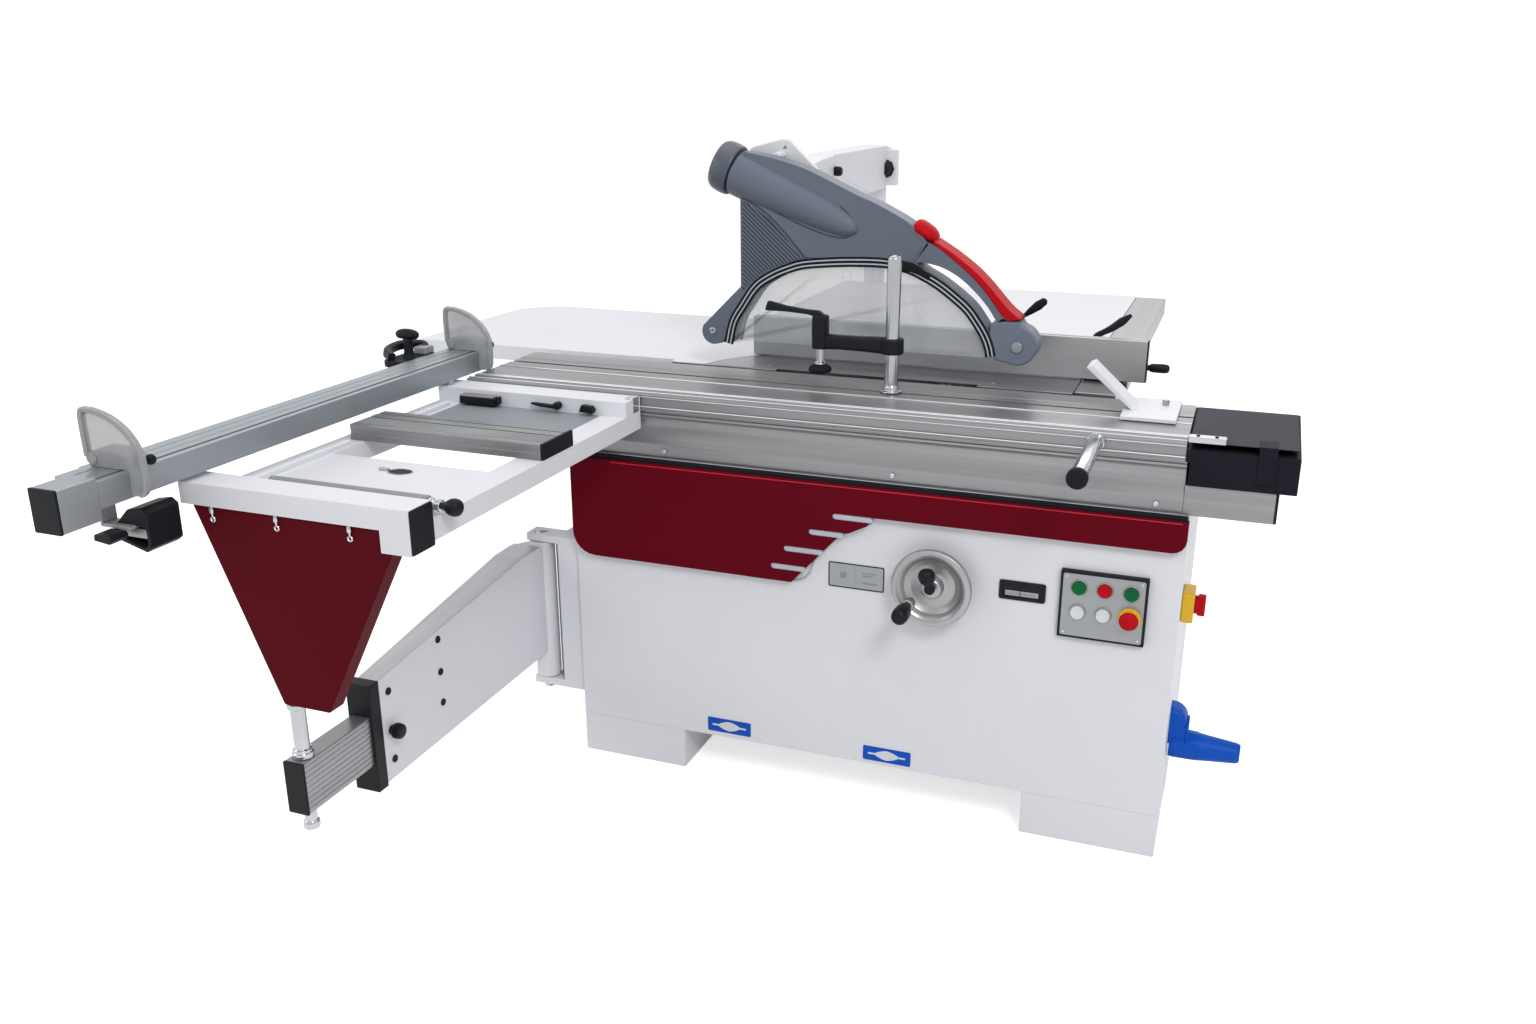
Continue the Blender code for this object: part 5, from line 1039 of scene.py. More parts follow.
def roller_and_lever():
    """The near roller with ringed ends, and its chrome clevis and black grip."""
    low, high = span("support_roller")
    y, z, r = (low[1] + high[1]) / 2, (low[2] + high[2]) / 2, (high[2] - low[2]) / 2
    length = high[0] - low[0]
    ends = lambda a, s: [(r - 0.003, a), (r, a + s * 0.0025), (r, a + s * 0.01),
        (r - 0.0008, a + s * 0.0108), (r - 0.0008, a + s * 0.0128), (r, a + s * 0.0136)]
    profile = [(0, 0), *ends(0, 1), *ends(length, -1)[::-1], (0, length)]
    piece("support_roller_bar", turned(profile, "X", (low[0], y, z), 48, 0.0005), "alu_x", "roller",
        replaces="support_roller")
    low, high = span("roller_lever")
    _, y, z = (low + high) / 2
    clevis = mm((0, 0), (12.5, 0), (13, 5), (9, 8), (8, 16), (11, 19), (11, 25), (6, 27), (0, 27))
    piece("roller_clevis", turned(clevis, "X", (low[0], y, z), 40, 0.0012), "chrome", "roller_lever")
    grip = mm((0, 24), (6, 24), (6.5, 30), (11, 36), (15.2, 44), (15.8, 53), (12.5, 61), (0, 63))
    piece("roller_grip", turned(grip, "X", (low[0], y, z), 40, 0.004), "black", "roller_lever",
        replaces="roller_lever")
    pin = tube([(low[0] + 0.0215, y - 0.0115, z + 0.001), (low[0] + 0.0215, y + 0.0115, z + 0.001)],
        0.0028, 16)
    piece("roller_pin", pin, "chrome", "roller_lever")


class PANELSAW_OT_fence(bpy.types.Operator):
    """Make the crosscut fence, its extension, its knob and its two flip stops"""

    bl_idname = "panel_saw.fence"
    bl_label = "Crosscut fence"

    def execute(self, context):
        fence_profile()
        fence_knob()
        fence_clamp()
        extension_block()
        for side in ("near", "far"):
            flip_stop(side)
            stop_carrier(side)
        near_stop_clamp()
        return {"FINISHED"}


def fence_profile():
    """The extruded fence: a plain face, a deep slot just behind it and two shallow grooves."""
    low, high = span("crosscut_fence")
    front, top, rear, bottom = high[0], high[2], high[0] - 0.09, high[2] - 0.0465
    outline = [(rear, bottom), (front - 0.0008, bottom), (front, bottom + 0.0012), (front, top - 0.0012),
        (front - 0.0012, top), (front - 0.0095, top), (front - 0.01, top - 0.0005),
        (front - 0.01, top - 0.006), (front - 0.019, top - 0.006), (front - 0.019, top - 0.0005),
        (front - 0.0195, top), (front - 0.036, top), (front - 0.0365, top - 0.0016),
        (front - 0.041, top - 0.0016), (front - 0.0415, top), (front - 0.06, top),
        (front - 0.0605, top - 0.0014), (front - 0.066, top - 0.0014), (front - 0.0665, top),
        (rear + 0.0012, top), (rear, top - 0.0012), (rear, top - 0.016), (rear + 0.003, top - 0.017),
        (rear + 0.003, top - 0.027), (rear, top - 0.028)]
    piece("crosscut_fence_shell", prism(upright(outline), "Y", low[1], high[1] - 0.003), "fence", "fence",
        0.00035, 2, 25, replaces="crosscut_fence")
    # Grey sheets at the bottoms of the slot and grooves: painted shade.
    slot_shades = [block((front - right, low[1] + 0.001, top - drop),
        (front - left, high[1] - 0.004, top - drop + 0.0006)) for left, right,
        drop in ((0.0102, 0.0188, 0.0058), (0.0368, 0.0408, 0.0015), (0.0612, 0.0652, 0.0013))]
    piece("fence_slot_shades", joined(*slot_shades), "grey_floor", "fence")
    cap = rounded_outline((bottom, rear), (top, front), 0.003)
    piece("fence_far_cap", prism(cap, "Y", high[1] - 0.0035, high[1]), "black", "fence", 0.0008)
    boss = turned(mm((0, -8), (10, -8), (10, 3), (0, 3)), "Z", (-0.286, -0.045, bottom), 40, 0.0006)
    piece("fence_pivot", boss, "chrome", "fence")
    shelf = rounded_outline((rear - 0.05, -0.135), (rear + 0.004, -0.015), 0.022, 10)
    piece("fence_shelf", prism(shelf, "Z", bottom + 0.01, bottom + 0.027), "black", "fence", 0.003, 3)


def fence_knob():
    """A black T-knob: a flared foot, a waisted stem and a domed cross bar."""
    low, high = span("fence_knob")
    x, y, z = (low[0] + high[0]) / 2, (low[1] + high[1]) / 2, low[2]
    foot = mm((0, 0), (20, 0), (20.5, 3), (19, 10), (16, 16), (11.5, 22), (10, 40), (11.5, 60), (0, 64))
    piece("fence_knob_stem", turned(foot, "Z", (x, y, z), 48, 0.003), "black", "fence_knob",
        replaces="fence_knob")
    t = np.linspace(-1, 1, 17)
    path = np.stack([x + 0.03 * t, y + 0 * t, z + 0.07 - 0.004 * t**2], -1)
    grow = np.sqrt(np.clip(1 - np.abs(t) ** 6, 0.02, 1)) * (1 - 0.15 * t**2)
    piece("fence_knob_bar", swept(path, ring_points(24, 0.0118)[None] * grow[:, None, None]), "black",
        "fence_knob")


def fence_clamp():
    """Behind the knob: the fence's black clamp, a thick base, a looped lever and a pale block."""
    top = span("crosscut_fence")[1][2]
    base = rounded_outline((-0.43, -0.1), (-0.348, 0.026), 0.022, 8)
    piece("fence_clamp_base", prism(base, "Z", top - 0.016, top - 0.0004), "black", "fence", 0.003, 3)
    loop = smooth_path([(-0.38, 0.01, top + 0.006), (-0.405, 0.028, top + 0.014),
        (-0.44, -0.005, top + 0.017), (-0.438, -0.06, top + 0.012), (-0.405, -0.09, top + 0.006)], 40)
    piece("fence_clamp_lever", swept(loop, capsule(0.0085, 0.01)), "black", "fence")
    block_near = block((-0.402, -0.012, top - 0.001), (-0.369, 0.025, top + 0.017))
    piece("fence_clamp_block", block_near, "cast_rim", "fence", 0.004, 3)


def extension_block():
    """The fence's sliding end: an aluminium tongue and block, with a thick black plate on its outer face."""
    low, high = span("fence_extension")
    left, near, bottom = high[0] - 0.055, low[1], low[2]
    body = rounded_outline((bottom, left), (high[2], high[0]), 0.0025)
    shell = prism(body, "Y", near + 0.005, near + 0.08)
    tongue = block((-0.347, near + 0.079, 0.9195), (-0.317, high[1], 0.9495))
    piece("fence_extension_shell", joined(shell, tongue), "fence", "fence_extension", 0.0008,
        replaces="fence_extension")
    plate = rounded_outline((bottom - 0.0005, left - 0.0005), (high[2] + 0.0005, high[0] + 0.0005), 0.003)
    piece("extension_cap", prism(plate, "Y", near, near + 0.0052), "black", "fence_extension", 0.0012)


def paddle_curve(hinge, reach, rise, count=28):
    """Points of a quarter oval from the paddle's outer side up to its top."""
    turn = np.linspace(math.radians(4), math.radians(86), count)
    return np.stack([hinge[0] + reach * np.cos(turn), hinge[1] + rise * np.sin(turn)], -1)


def flip_stop(side):
    """A clear moulded paddle: a thin web inside a thick rounded rim, with a plain hinge eye."""
    low, high = span("flip_stop_" + side)
    body = "paddle_" + side
    hinge = (low[0] + FENCE_PIN_REACH, HINGE_HEIGHT)
    front = -0.2744
    curve = paddle_curve(hinge, high[0] - hinge[0] - 0.003, high[2] - hinge[1] - 0.0012)
    tail = [(low[0] + 0.003, high[2] - 0.004), (low[0] + 0.003, hinge[1])]
    web = np.vstack([[(low[0] + 0.003, hinge[1] - 0.004), (hinge[0], 0.9605), (front, 0.9605),
        (front, low[2] + 0.001), (high[0] - 0.02, low[2] + 0.001), (high[0] - 0.003, low[2] + 0.02)],
        curve, tail[:1]])
    middle = (low[1] + high[1]) / 2
    piece(f"flip_stop_{side}_web", prism(upright(web), "Y", middle - 0.0024, middle + 0.0024),
        "cast_clear", body, 0.0008, replaces="flip_stop_" + side)
    rim = smooth_path(np.vstack([[(high[0] - 0.016, low[2] + 0.004), (high[0] - 0.005, low[2] + 0.016)],
        curve[::3] + (-0.0008, -0.0008), [(low[0] + 0.0045, high[2] - 0.01),
        (low[0] + 0.0045, hinge[1] + 0.004)]]), 90)
    path = np.stack([rim[:, 0], np.full(90, middle), rim[:, 1]], -1)
    piece(f"flip_stop_{side}_rim", swept(path, capsule(0.0062, 0.0044)), "cast_rim", body)
    eye = turned(mm((0, -4.4), (11, -4.4), (11, 4.4), (0, 4.4)), "Y", (hinge[0], middle, hinge[1]), 40)
    piece(f"flip_stop_{side}_eye", eye, "cast_rim", body)


def stop_carrier(side):
    """The stop's carrier: a clear saddle on the fence, a chrome hinge pin and its clamping knobs."""
    low, high = span("stop_carrier_" + side)
    body = "stop_" + side
    saddle = [(low[0], low[2]), (high[0], low[2]), (high[0], low[2] + 0.01),
        (high[0] - 0.012, high[2] - 0.004), (high[0] - 0.03, high[2]), (low[0] + 0.012, high[2]),
        (low[0], high[2] - 0.008)]
    piece(f"stop_carrier_{side}_saddle", prism(upright(saddle), "Y", low[1] + 0.0004, high[1]),
        "cast_rim", body, 0.003, 3, replaces="stop_carrier_" + side)
    z = (low[2] + high[2]) / 2
    pin = tube([(low[0] + FENCE_PIN_REACH, y + 0.004, HINGE_HEIGHT) for y in (low[1], high[1])], 0.0042,
        20)
    piece(f"stop_pin_{side}", pin, "chrome", body)
    knob = turned(mm((0, 0), (4.5, 0), (4.5, 5), (8.5, 7), (9.5, 13), (7, 18), (0, 18.8)), "X", (0, 0, 0),
        32, 0.0015)
    rows = [(high[0] - 0.002, y, z - 0.004) for y in (low[1] + 0.013, high[1] - 0.01)]
    piece(f"stop_knobs_{side}", copies(knob, rows), "black", body)


def near_stop_clamp():
    """A block behind the near stop, and under the fence a strap, a foot and a clamp with its channel."""
    low, high = span("stop_carrier_near")
    x, y = low[0], (low[1] + high[1]) / 2
    rear = block((x - 0.028, y - 0.026, 0.926), (x - 0.0012, y + 0.026, 0.954))
    piece("stop_near_rear", rear, "cast_rim", "stop_near", 0.006, 3)
    strap = block((x - 0.006, y - 0.016, 0.853), (x - 0.0008, y + 0.016, 0.925))
    foot = block((x - 0.006, y - 0.016, 0.848), (x + 0.058, y + 0.016, 0.854))
    piece("fence_strap", joined(strap, foot), "cast_rim", "fence", 0.001)
    frame_outer = mm((-356, 824), (-290, 806), (-278.5, 815), (-278.5, 878), (-290, 886), (-322, 880),
        (-358, 844))
    frame_inner = mm((-346, 830), (-292, 815), (-286, 820), (-286, 848), (-292, 852), (-322, 850),
        (-346, 840))
    ring = flat_ring(upright(frame_outer), upright(frame_inner), "Y", y - 0.004, y + 0.068)
    piece("fence_near_clamp", ring, "black", "fence", 0.003, 3)
    channel = block((-0.3455, y - 0.002, 0.8305), (-0.2865, y + 0.066, 0.847))
    piece("fence_near_channel", channel, "alu_x", "fence", 0.0015, 3)
    pad = prism(upright(mm((-352, 836), (-318, 832), (-312, 840), (-316, 847.8), (-350, 847.8))), "Y",
        y - 0.052, y - 0.014)
    piece("fence_near_pad", pad, "black", "fence", 0.0025, 3)


HOOD_FRONT, HOOD_MIDDLE, HOOD_REAR = 0.31, 0.34, 0.37
WINDOW_POINTS = 90
ARCH = ((0.261, 0.972), (0.274, 1.024), (0.297, 1.062), (0.331, 1.11), (0.372, 1.138), (0.416, 1.157),
    (0.45, 1.1665), (0.51, 1.1735), (0.572, 1.1775), (0.638, 1.178), (0.69, 1.169), (0.727, 1.1545),
    (0.764, 1.135), (0.801, 1.109), (0.83, 1.085), (0.853, 1.056), (0.869, 1.032), (0.88, 1.008),
    (0.886, 0.985))


def arch_curve(offset=0.0, count=WINDOW_POINTS):
    """The window's arch as (x, z) points, moved outwards square to itself by an offset."""
    curve = smooth_path(np.array(ARCH), count)
    ahead = np.gradient(curve, axis=0)
    ahead /= np.linalg.norm(ahead, axis=1)[:, None]
    return curve + offset * np.stack([-ahead[:, 1], ahead[:, 0]], -1)


def at_depth(curve, y):
    """Puts an (x, z) curve at a depth."""
    curve = np.asarray(curve, float)
    return np.stack([curve[:, 0], np.full(len(curve), y), curve[:, 1]], -1)


class PANELSAW_OT_guard(bpy.types.Operator):
    """Make the overhead guard: hood, suction tube, ribs, arch, window, nose, red strip and grip"""

    bl_idname = "panel_saw.guard"
    bl_label = "Guard"

    def execute(self, context):
        hood_body()
        hood_ribs()
        suction_tube()
        window_arch()
        nose_and_strip()
        return {"FINISHED"}


def hood_body():
    """The hood's body: a deep shell from the toe up its rear edge, along the ridge and back over the arch."""
    turn = np.radians(np.linspace(150, 275, 10))
    toe = np.stack([0.222 + 0.03 * np.cos(turn), 0.997 + 0.03 * np.sin(turn)], -1)
    ridge = smooth_path(mm((304, 1412), (380, 1397), (455, 1375), (566, 1326), (621, 1304), (697, 1264),
        (737, 1223.5)), 40)
    under = arch_curve(0.006)[3:58][::-1]
    outline = np.vstack([toe, mm((245, 972)), under[::-1], mm((708, 1183)), ridge[::-1],
        mm((293.5, 1403), (292, 1312), (292, 1108), (274, 1090))])
    piece("hood_body", prism(upright(outline), "Y", HOOD_FRONT, HOOD_REAR), "guard", "guard", 0.0055, 3,
        42, replaces="guard_hood")
    cheek = np.vstack([smooth_path(mm((297.5, 1312), (333, 1294), (368, 1270), (408, 1232), (440, 1196),
        (456, 1183)), 30), arch_curve(0.01)[34:58], mm((700, 1186)), mm((724, 1220)),
        smooth_path(mm((693, 1256), (619, 1296), (564, 1318), (453, 1367), (380, 1389), (315, 1401)),
        24)])
    for name, start, end in (("hood_cheek_front", HOOD_FRONT - 0.0016, HOOD_FRONT + 0.001),
            ("hood_cheek_rear", HOOD_REAR - 0.001, HOOD_REAR + 0.0016)):
        piece(name, prism(upright(cheek), "Y", start, end), "guard", "guard", 0.0012, 3, 42)
    boss = turned(mm((0, 0), (9, 0), (9, 49), (0, 49)), "Y", (0.356, HOOD_REAR, 1.4), 40)
    piece("hood_pivot_boss", boss, "white", "guard")
    toe_bolt = [(0.22, HOOD_FRONT - 0.0004, 0.999)]
    bolt_heads("hood_toe_bolt", toe_bolt, "Y", -1, "guard", 0.0085, 0.003)


def hood_ribs():
    """Raised diagonal ribs on the lower back of the hood, each cut off by the field's sides."""
    field = mm((297, 1304), (330, 1287), (364, 1264), (405, 1223), (442, 1179), (405, 1169), (362, 1152),
        (322, 1124), (297, 1098))
    along = np.array([0.745, -0.667])
    across = np.array([0.667, 0.745])
    ribs = []
    for offset in np.arange((field @ across).min() + 0.004, (field @ across).max() - 0.002, 0.0074):
        side = field @ across - offset
        after = np.roll(side, -1)
        crossed = np.nonzero(side * after < 0)[0]
        if len(crossed) < 2:
            continue
        share = (side[crossed] / (side[crossed] - after[crossed]))[:, None]
        ends = field[crossed] * (1 - share) + np.roll(field, -1, 0)[crossed] * share
        ends = ends[np.argsort(ends @ along)]
        if np.linalg.norm(ends[-1] - ends[0]) > 0.006:
            ribs.append(tube(at_depth(ends[[0, -1]], HOOD_FRONT - 0.0004), 0.0022, 8))
            ribs.append(tube(at_depth(ends[[0, -1]], HOOD_REAR + 0.0004), 0.0022, 8))
    piece("hood_ribs", joined(*ribs), "guard", "guard")
    # The rib field takes a darker copy of the guard grey.
    for name, start, end in (("rib_field_front", HOOD_FRONT - 0.0006, HOOD_FRONT + 0.001),
            ("rib_field_rear", HOOD_REAR - 0.001, HOOD_REAR + 0.0006)):
        piece(name, prism(upright(field), "Y", start, end), "guard_dark", "guard")
    # Two dark lines: one along the rib field's top and over the arch, one round the suction tube's underside
    # and tip.
    border = smooth_path(mm((296, 1311), (330, 1295), (365, 1271), (405, 1233), (438, 1196), (456, 1180),
        (520, 1183), (640, 1188), (704, 1182)), 60)
    under = smooth_path(mm((266, 1329), (340, 1298), (428, 1260), (480, 1241), (520, 1231), (548, 1231),
        (566, 1242), (570, 1257), (560, 1275), (533, 1299)), 60)
    lines = [tube(at_depth(curve, y), 0.0014, 8) for curve in (border, under)
        for y in (HOOD_FRONT - 0.0016, HOOD_REAR + 0.0016)]
    piece("hood_dark_lines", joined(*lines), "guard_dark", "guard")


def suction_tube():
    """The suction tube: round at its mouth, an oval along the hood's side, narrowing to a blunt tip."""
    mouth = np.array([0.243, 0.34, 1.378])
    slope = math.radians(21.8)
    ahead = np.array([math.cos(slope), 0, -math.sin(slope)])
    up = np.array([math.sin(slope), 0, math.cos(slope)])

    def surface(name, profile, widen, finish_name, radius=0.003):
        """Goes round the sloping tube: height by the radius, depth by the radius blended to an oval."""
        profile = softened(profile, radius)
        turn = np.linspace(0, 2 * np.pi, 72, endpoint=False)
        t, r = profile[:, 1][:, None, None], profile[:, 0][:, None, None]
        depth = np.where(r > 1e-6, 0.03 * widen + (1 - 0.53 * widen) * r, 0)
        height, side = r * np.cos(turn)[:, None] * up, depth * np.sin(turn)[:, None] * np.array([0, 1, 0])
        points = mouth + t * ahead + height + side
        piece(name, grid(points, wrap_columns=True), finish_name, "guard")

    surface("suction_tube", mm((0, 30), (52.5, 30), (53.5, 60), (51.5, 100), (49, 160), (46, 220),
        (43, 270), (38.5, 310), (32.5, 335), (23.5, 349), (12, 355.5), (0, 357)), 1.0, "guard", 0.01)
    # The mouth takes a darker copy of the body's grey: painted shade on the same plastic.
    surface("suction_mouth", mm((0, 20), (44, 20), (44, -10), (47, -16), (52, -15.5), (57.5, -6), (59, 8),
        (59, 20), (57.5, 29), (53, 30), (0, 30)), 0.0, "guard_shaded", 0.004)
    surface("suction_groove", mm((0, 29.5), (54, 29.5), (54, 34.5), (0, 34.5)), 0.0, "black", 0.0004)


def window_arch():
    """The clear window, its grey arch, the black lips and pale lines round it, and a black catch."""
    top = arch_curve(-0.004)
    pane = np.vstack([top, mm((884, 980), (264, 980))])
    for name, start, end, replaced in (("window_front", HOOD_FRONT + 0.006, HOOD_FRONT + 0.009,
            "guard_window"), ("window_rear", HOOD_REAR - 0.009, HOOD_REAR - 0.006, None)):
        piece(name, prism(upright(pane), "Y", start, end), "clear", "guard", 0.0006, 2, 42,
            replaces=replaced)
    wide = np.interp(np.linspace(0, 1, WINDOW_POINTS), [0, 0.12, 0.4, 0.75, 1],
        [0.62, 0.85, 0.95, 1.0, 0.8])
    band = capsule(0.03, 0.0098, 5)[None] * np.stack([np.ones(WINDOW_POINTS), wide], -1)[:, None]
    # The arch band takes a lighter copy of the guard grey: its own grey, lifted by a painted highlight.
    piece("window_arch", swept(at_depth(arch_curve(0.0035), HOOD_MIDDLE), band), "guard_light", "guard")
    lips = []
    lines = []
    for y, side in ((HOOD_FRONT, -1), (HOOD_REAR, 1)):
        lips += [tube(at_depth(arch_curve(offset), y + side * 0.001), 0.0026, 10)
            for offset in (0.0095, 0.0005, -0.0085)]
        lines += [tube(at_depth(arch_curve(offset), y + side * 0.0016), 0.0018, 8)
            for offset in (0.005, -0.004)]
    piece("window_lips", joined(*lips), "rubber", "guard")
    piece("window_lines", joined(*lines), "rim", "guard")
    catch = smooth_path(mm((664, 1172), (690, 1173.5), (716, 1166), (742, 1150)), 16)
    grow = np.interp(np.linspace(0, 1, 16), [0, 0.2, 0.6, 1], [0.5, 1.0, 0.9, 0.5])
    piece("window_catch", swept(at_depth(catch, HOOD_FRONT - 0.002),
        capsule(0.005, 0.0105)[None] * grow[:, None, None]), "rubber", "guard")


def nose_and_strip():
    """Over the window: a curved grey rail, a red strip and grip on it, and the rounded nose with its boss."""
    outer = smooth_path(mm((733, 1228), (757, 1218), (785, 1198.5), (818, 1173), (852, 1143), (882, 1108),
        (910, 1072)), 44)
    inner = smooth_path(mm((701, 1175), (720, 1183), (764, 1176), (804, 1157), (840, 1129), (872, 1096),
        (896, 1062)), 44)
    loop = np.vstack([outer, inner[::-1]])
    piece("hood_rail", prism(upright(loop), "Y", HOOD_FRONT, HOOD_REAR), "guard", "guard", 0.004, 3, 42)
    red_low = outer[4:] + (0.0, 0.0005)
    red_high = smooth_path(mm((748, 1233), (770, 1220), (796, 1204), (838, 1174), (870, 1145),
        (895, 1118), (922, 1090), (949, 1070)), 44)
    strip = np.vstack([red_low, mm((924, 1066)), red_high[::-1]])
    piece("red_strip", prism(upright(strip), "Y", HOOD_FRONT - 0.0025, HOOD_REAR + 0.0025), "signal",
        "guard", 0.0038, 3, 42)
    t = np.linspace(0, 1, 26)
    path = smooth_path(mm((696, 1262), (712, 1256), (732, 1244), (750, 1228)), 26)
    fat = np.sqrt(np.clip(1 - np.abs(2 * t - 1) ** 3.2, 0.003, 1))
    section = ring_points(30)[None] * np.stack([0.036 * np.ones(26), 0.0185 - 0.004 * t],
        -1)[:, None] * fat[:, None, None]
    piece("red_grip", swept(at_depth(path, HOOD_MIDDLE), section), "signal", "guard")
    turn = np.radians(np.linspace(-112, 78, 26))
    tip = np.stack([0.943 + 0.044 * np.cos(turn), 1.012 + 0.044 * np.sin(turn)], -1)
    nose = np.vstack([mm((893, 978)), tip, mm((948, 1065), (920, 1065), (882, 1059), (879, 1030))])
    piece("hood_nose", prism(upright(nose), "Y", HOOD_FRONT - 0.001, HOOD_REAR + 0.001), "guard_light",
        "guard", 0.005, 3, 42)
    boss = turned(disc(0.0125, 0.004, 0.0012), "Y", (0.943, HOOD_FRONT - 0.0046, 1.009), 40)
    piece("nose_boss", boss, "plate", "guard")
    path = mm((930, 384, 1056), (944, 385, 1068), (956, 386, 1078), (972, 387, 1091), (986, 388, 1102),
        (989, 388, 1104.5))
    grow = np.array([0.45, 0.5, 0.85, 1.15, 0.9, 0.35])
    piece("nose_grip", swept(path, ring_points(20, 0.0092)[None] * grow[:, None, None]), "rubber",
        "guard")
    post = tube(mm((936, 366, 1058), (936, 389, 1062)), 0.006, 20)
    piece("nose_post", post, "rubber", "guard")


class PANELSAW_OT_guard_support(bpy.types.Operator):
    """Make the guard's arm, ear and column with their knobs"""

    bl_idname = "panel_saw.guard_support"
    bl_label = "Guard support"

    def execute(self, context):
        guard_arm()
        column_top()
        return {"FINISHED"}


def guard_arm():
    """The arm: an ear beside the hood with a grey disc painted as the shade in its hole, a limb that runs
    back and the deep casting over the column.
    """
    low, high = span("guard_arm")
    ear = mm((270, 1300), (270, 1410), (280, 1418), (345, 1434.5), (352, 1435.8), (364, 1435.8),
        (373, 1433), (436, 1374), (456, 1340), (450, 1300))
    plate = prism(upright(ear), "Y", low[1] + 0.0004, low[1] + 0.018)
    near = low[1] + 0.016
    path = smooth_path([(0.33, near, 1.327), (0.29, 0.7, 1.327), (0.23, 1.0, 1.327),
        (0.2025, 1.22, 1.327), (0.2025, 1.4, 1.327)], 24)
    limb = swept(path, rounded_outline((-0.034, -0.033), (0.034, 0.033), 0.006))
    casting = [(1.16, 1.301), (1.26, 1.288), (1.54, 1.224), (1.7, 1.224), (1.745, 1.234),
        (high[1], 1.234), (high[1], 1.348), (1.73, 1.362), (1.16, 1.362)]
    web = prism(casting, "X", low[0], 0.24)
    front = block((0.19, 1.738, 1.2345), (0.276, 1.756, 1.348))
    piece("guard_arm_casting", joined(plate, limb, web, front), "white", "machine", 0.004, 3,
        replaces="guard_arm")
    # A grey disc where the ear's hole is: painted shade.
    mark = turned(mm((0, 0), (6.5, 0), (6.5, -0.6), (0, -0.6)), "Y", (0.361, low[1] + 0.0006, 1.417), 3)
    piece("ear_hole_shade", mark, "grey_floor", "machine")


def column_top():
    """The column, its large black knob on the casting's front and the small knob on the arm's side."""
    refined("guard_column", "white", 0.003, 3)
    knob = mm((0, -30), (18, -29), (22, -24), (24, -12), (30, -9), (31, -2), (29.5, 0), (0, 0))
    piece("column_knob", turned(knob, "Y", (0.236, 1.738, 1.287), 8, 0.002), "black", "machine")
    small = mm((0, 0), (12.5, 0), (14, 3), (13.5, 18), (10, 23), (0, 24))
    piece("arm_knob", turned(small, "X", (0.24, 1.176, 1.314), 40, 0.0016), "black", "machine")


class PANELSAW_OT_clamp(bpy.types.Operator):
    """Make the hold-down clamp: chrome post, black arm and lever, and the screw with its pad"""

    bl_idname = "panel_saw.clamp"
    bl_label = "Hold-down clamp"

    def execute(self, context):
        low, high = span("clamp_post")
        x, y, z = (low[0] + high[0]) / 2, (low[1] + high[1]) / 2, low[2]
        r = 0.0155
        profile = [(0, 0), (0.024, 0), (0.024, 0.004), (0.019, 0.006), (0.0185, 0.013), (r, 0.016),
            (r, high[2] - z - 0.005), (r - 0.003, high[2] - z), (0.007, high[2] - z),
            (0.006, high[2] - z - 0.003), (0, high[2] - z - 0.003)]
        piece("clamp_post_bar", turned(profile, "Z", (x, y, z), 56, 0.0012), "chrome", "clamp_post",
            replaces="clamp_post")
        low, high = span("clamp_arm")
        cz, ar = (low[2] + high[2]) / 2, (high[2] - low[2]) / 2
        left = 0.525
        t = np.array([0.0, 0.02, 0.25, 0.6, 0.92, 1.0])
        path = np.stack([left + 0.006 + (x - left - 0.01) * t, 0 * t + y, 0 * t + cz], -1)
        grow = np.array([0.9, 0.95, 0.86, 0.9, 1.0, 0.98])
        section = capsule(0.015, ar * 1.06, 6)[None] * grow[:, None, None]
        piece("clamp_arm_bar", swept(path, section), "black", "clamp_arm", replaces="clamp_arm")
        collar = [(0.016, -ar), (0.0235, -ar), (0.0255, -ar + 0.003), (0.0255, ar - 0.003), (0.0235, ar),
            (0.016, ar), (0.016, -ar)]
        piece("clamp_collar", turned(collar, "Z", (x, y, cz), 56, 0.0012), "black", "clamp_arm")
        low, high = span("clamp_spindle")
        x = (low[0] + high[0]) / 2
        section = capsule(0.0185, 0.0175, 6)
        path = np.array([(x, y, z) for z in (cz - ar + 0.0005, cz - ar + 0.0025, cz + 0.02,
            high[2] - 0.02, high[2] - 0.014, high[2] - 0.012)])
        grow = np.array([0.82, 0.95, 1.0, 0.98, 0.94, 0.8])
        piece("clamp_body", swept(path, section[None] * grow[:, None, None]), "black", "clamp_arm")
        lever = [(0.014, high[2] - 0.01), (-0.004, high[2] + 0.003), (-0.03, high[2] + 0.0035),
            (-0.08, high[2] + 0.009), (-0.124, high[2] + 0.018), (-0.13, high[2] - 0.003),
            (-0.08, high[2] - 0.003), (-0.03, high[2] - 0.006), (-0.004, high[2] - 0.012)]
        lever = [(x + a, b - 0.005) for a, b in lever]
        piece("clamp_lever", prism(upright(lever), "Y", y - 0.0085, y + 0.0085), "black", "clamp_arm",
            0.003, 3)
        neck = mm((0, 17), (13, 17), (13, 22), (9.5, 24), (9.5, 58), (0, 58))
        piece("clamp_neck", turned(neck, "Z", (x, y, low[2]), 40, 0.0015), "chrome", "clamp_spindle")
        pad = mm((0, 0), (23.5, 0), (26, 3), (26, 9), (21, 14.5), (15, 18), (0, 18))
        piece("clamp_pad", turned(pad, "Z", (x, y, low[2]), 48, 0.003), "rubber", "clamp_spindle",
            replaces="clamp_spindle")
        return {"FINISHED"}


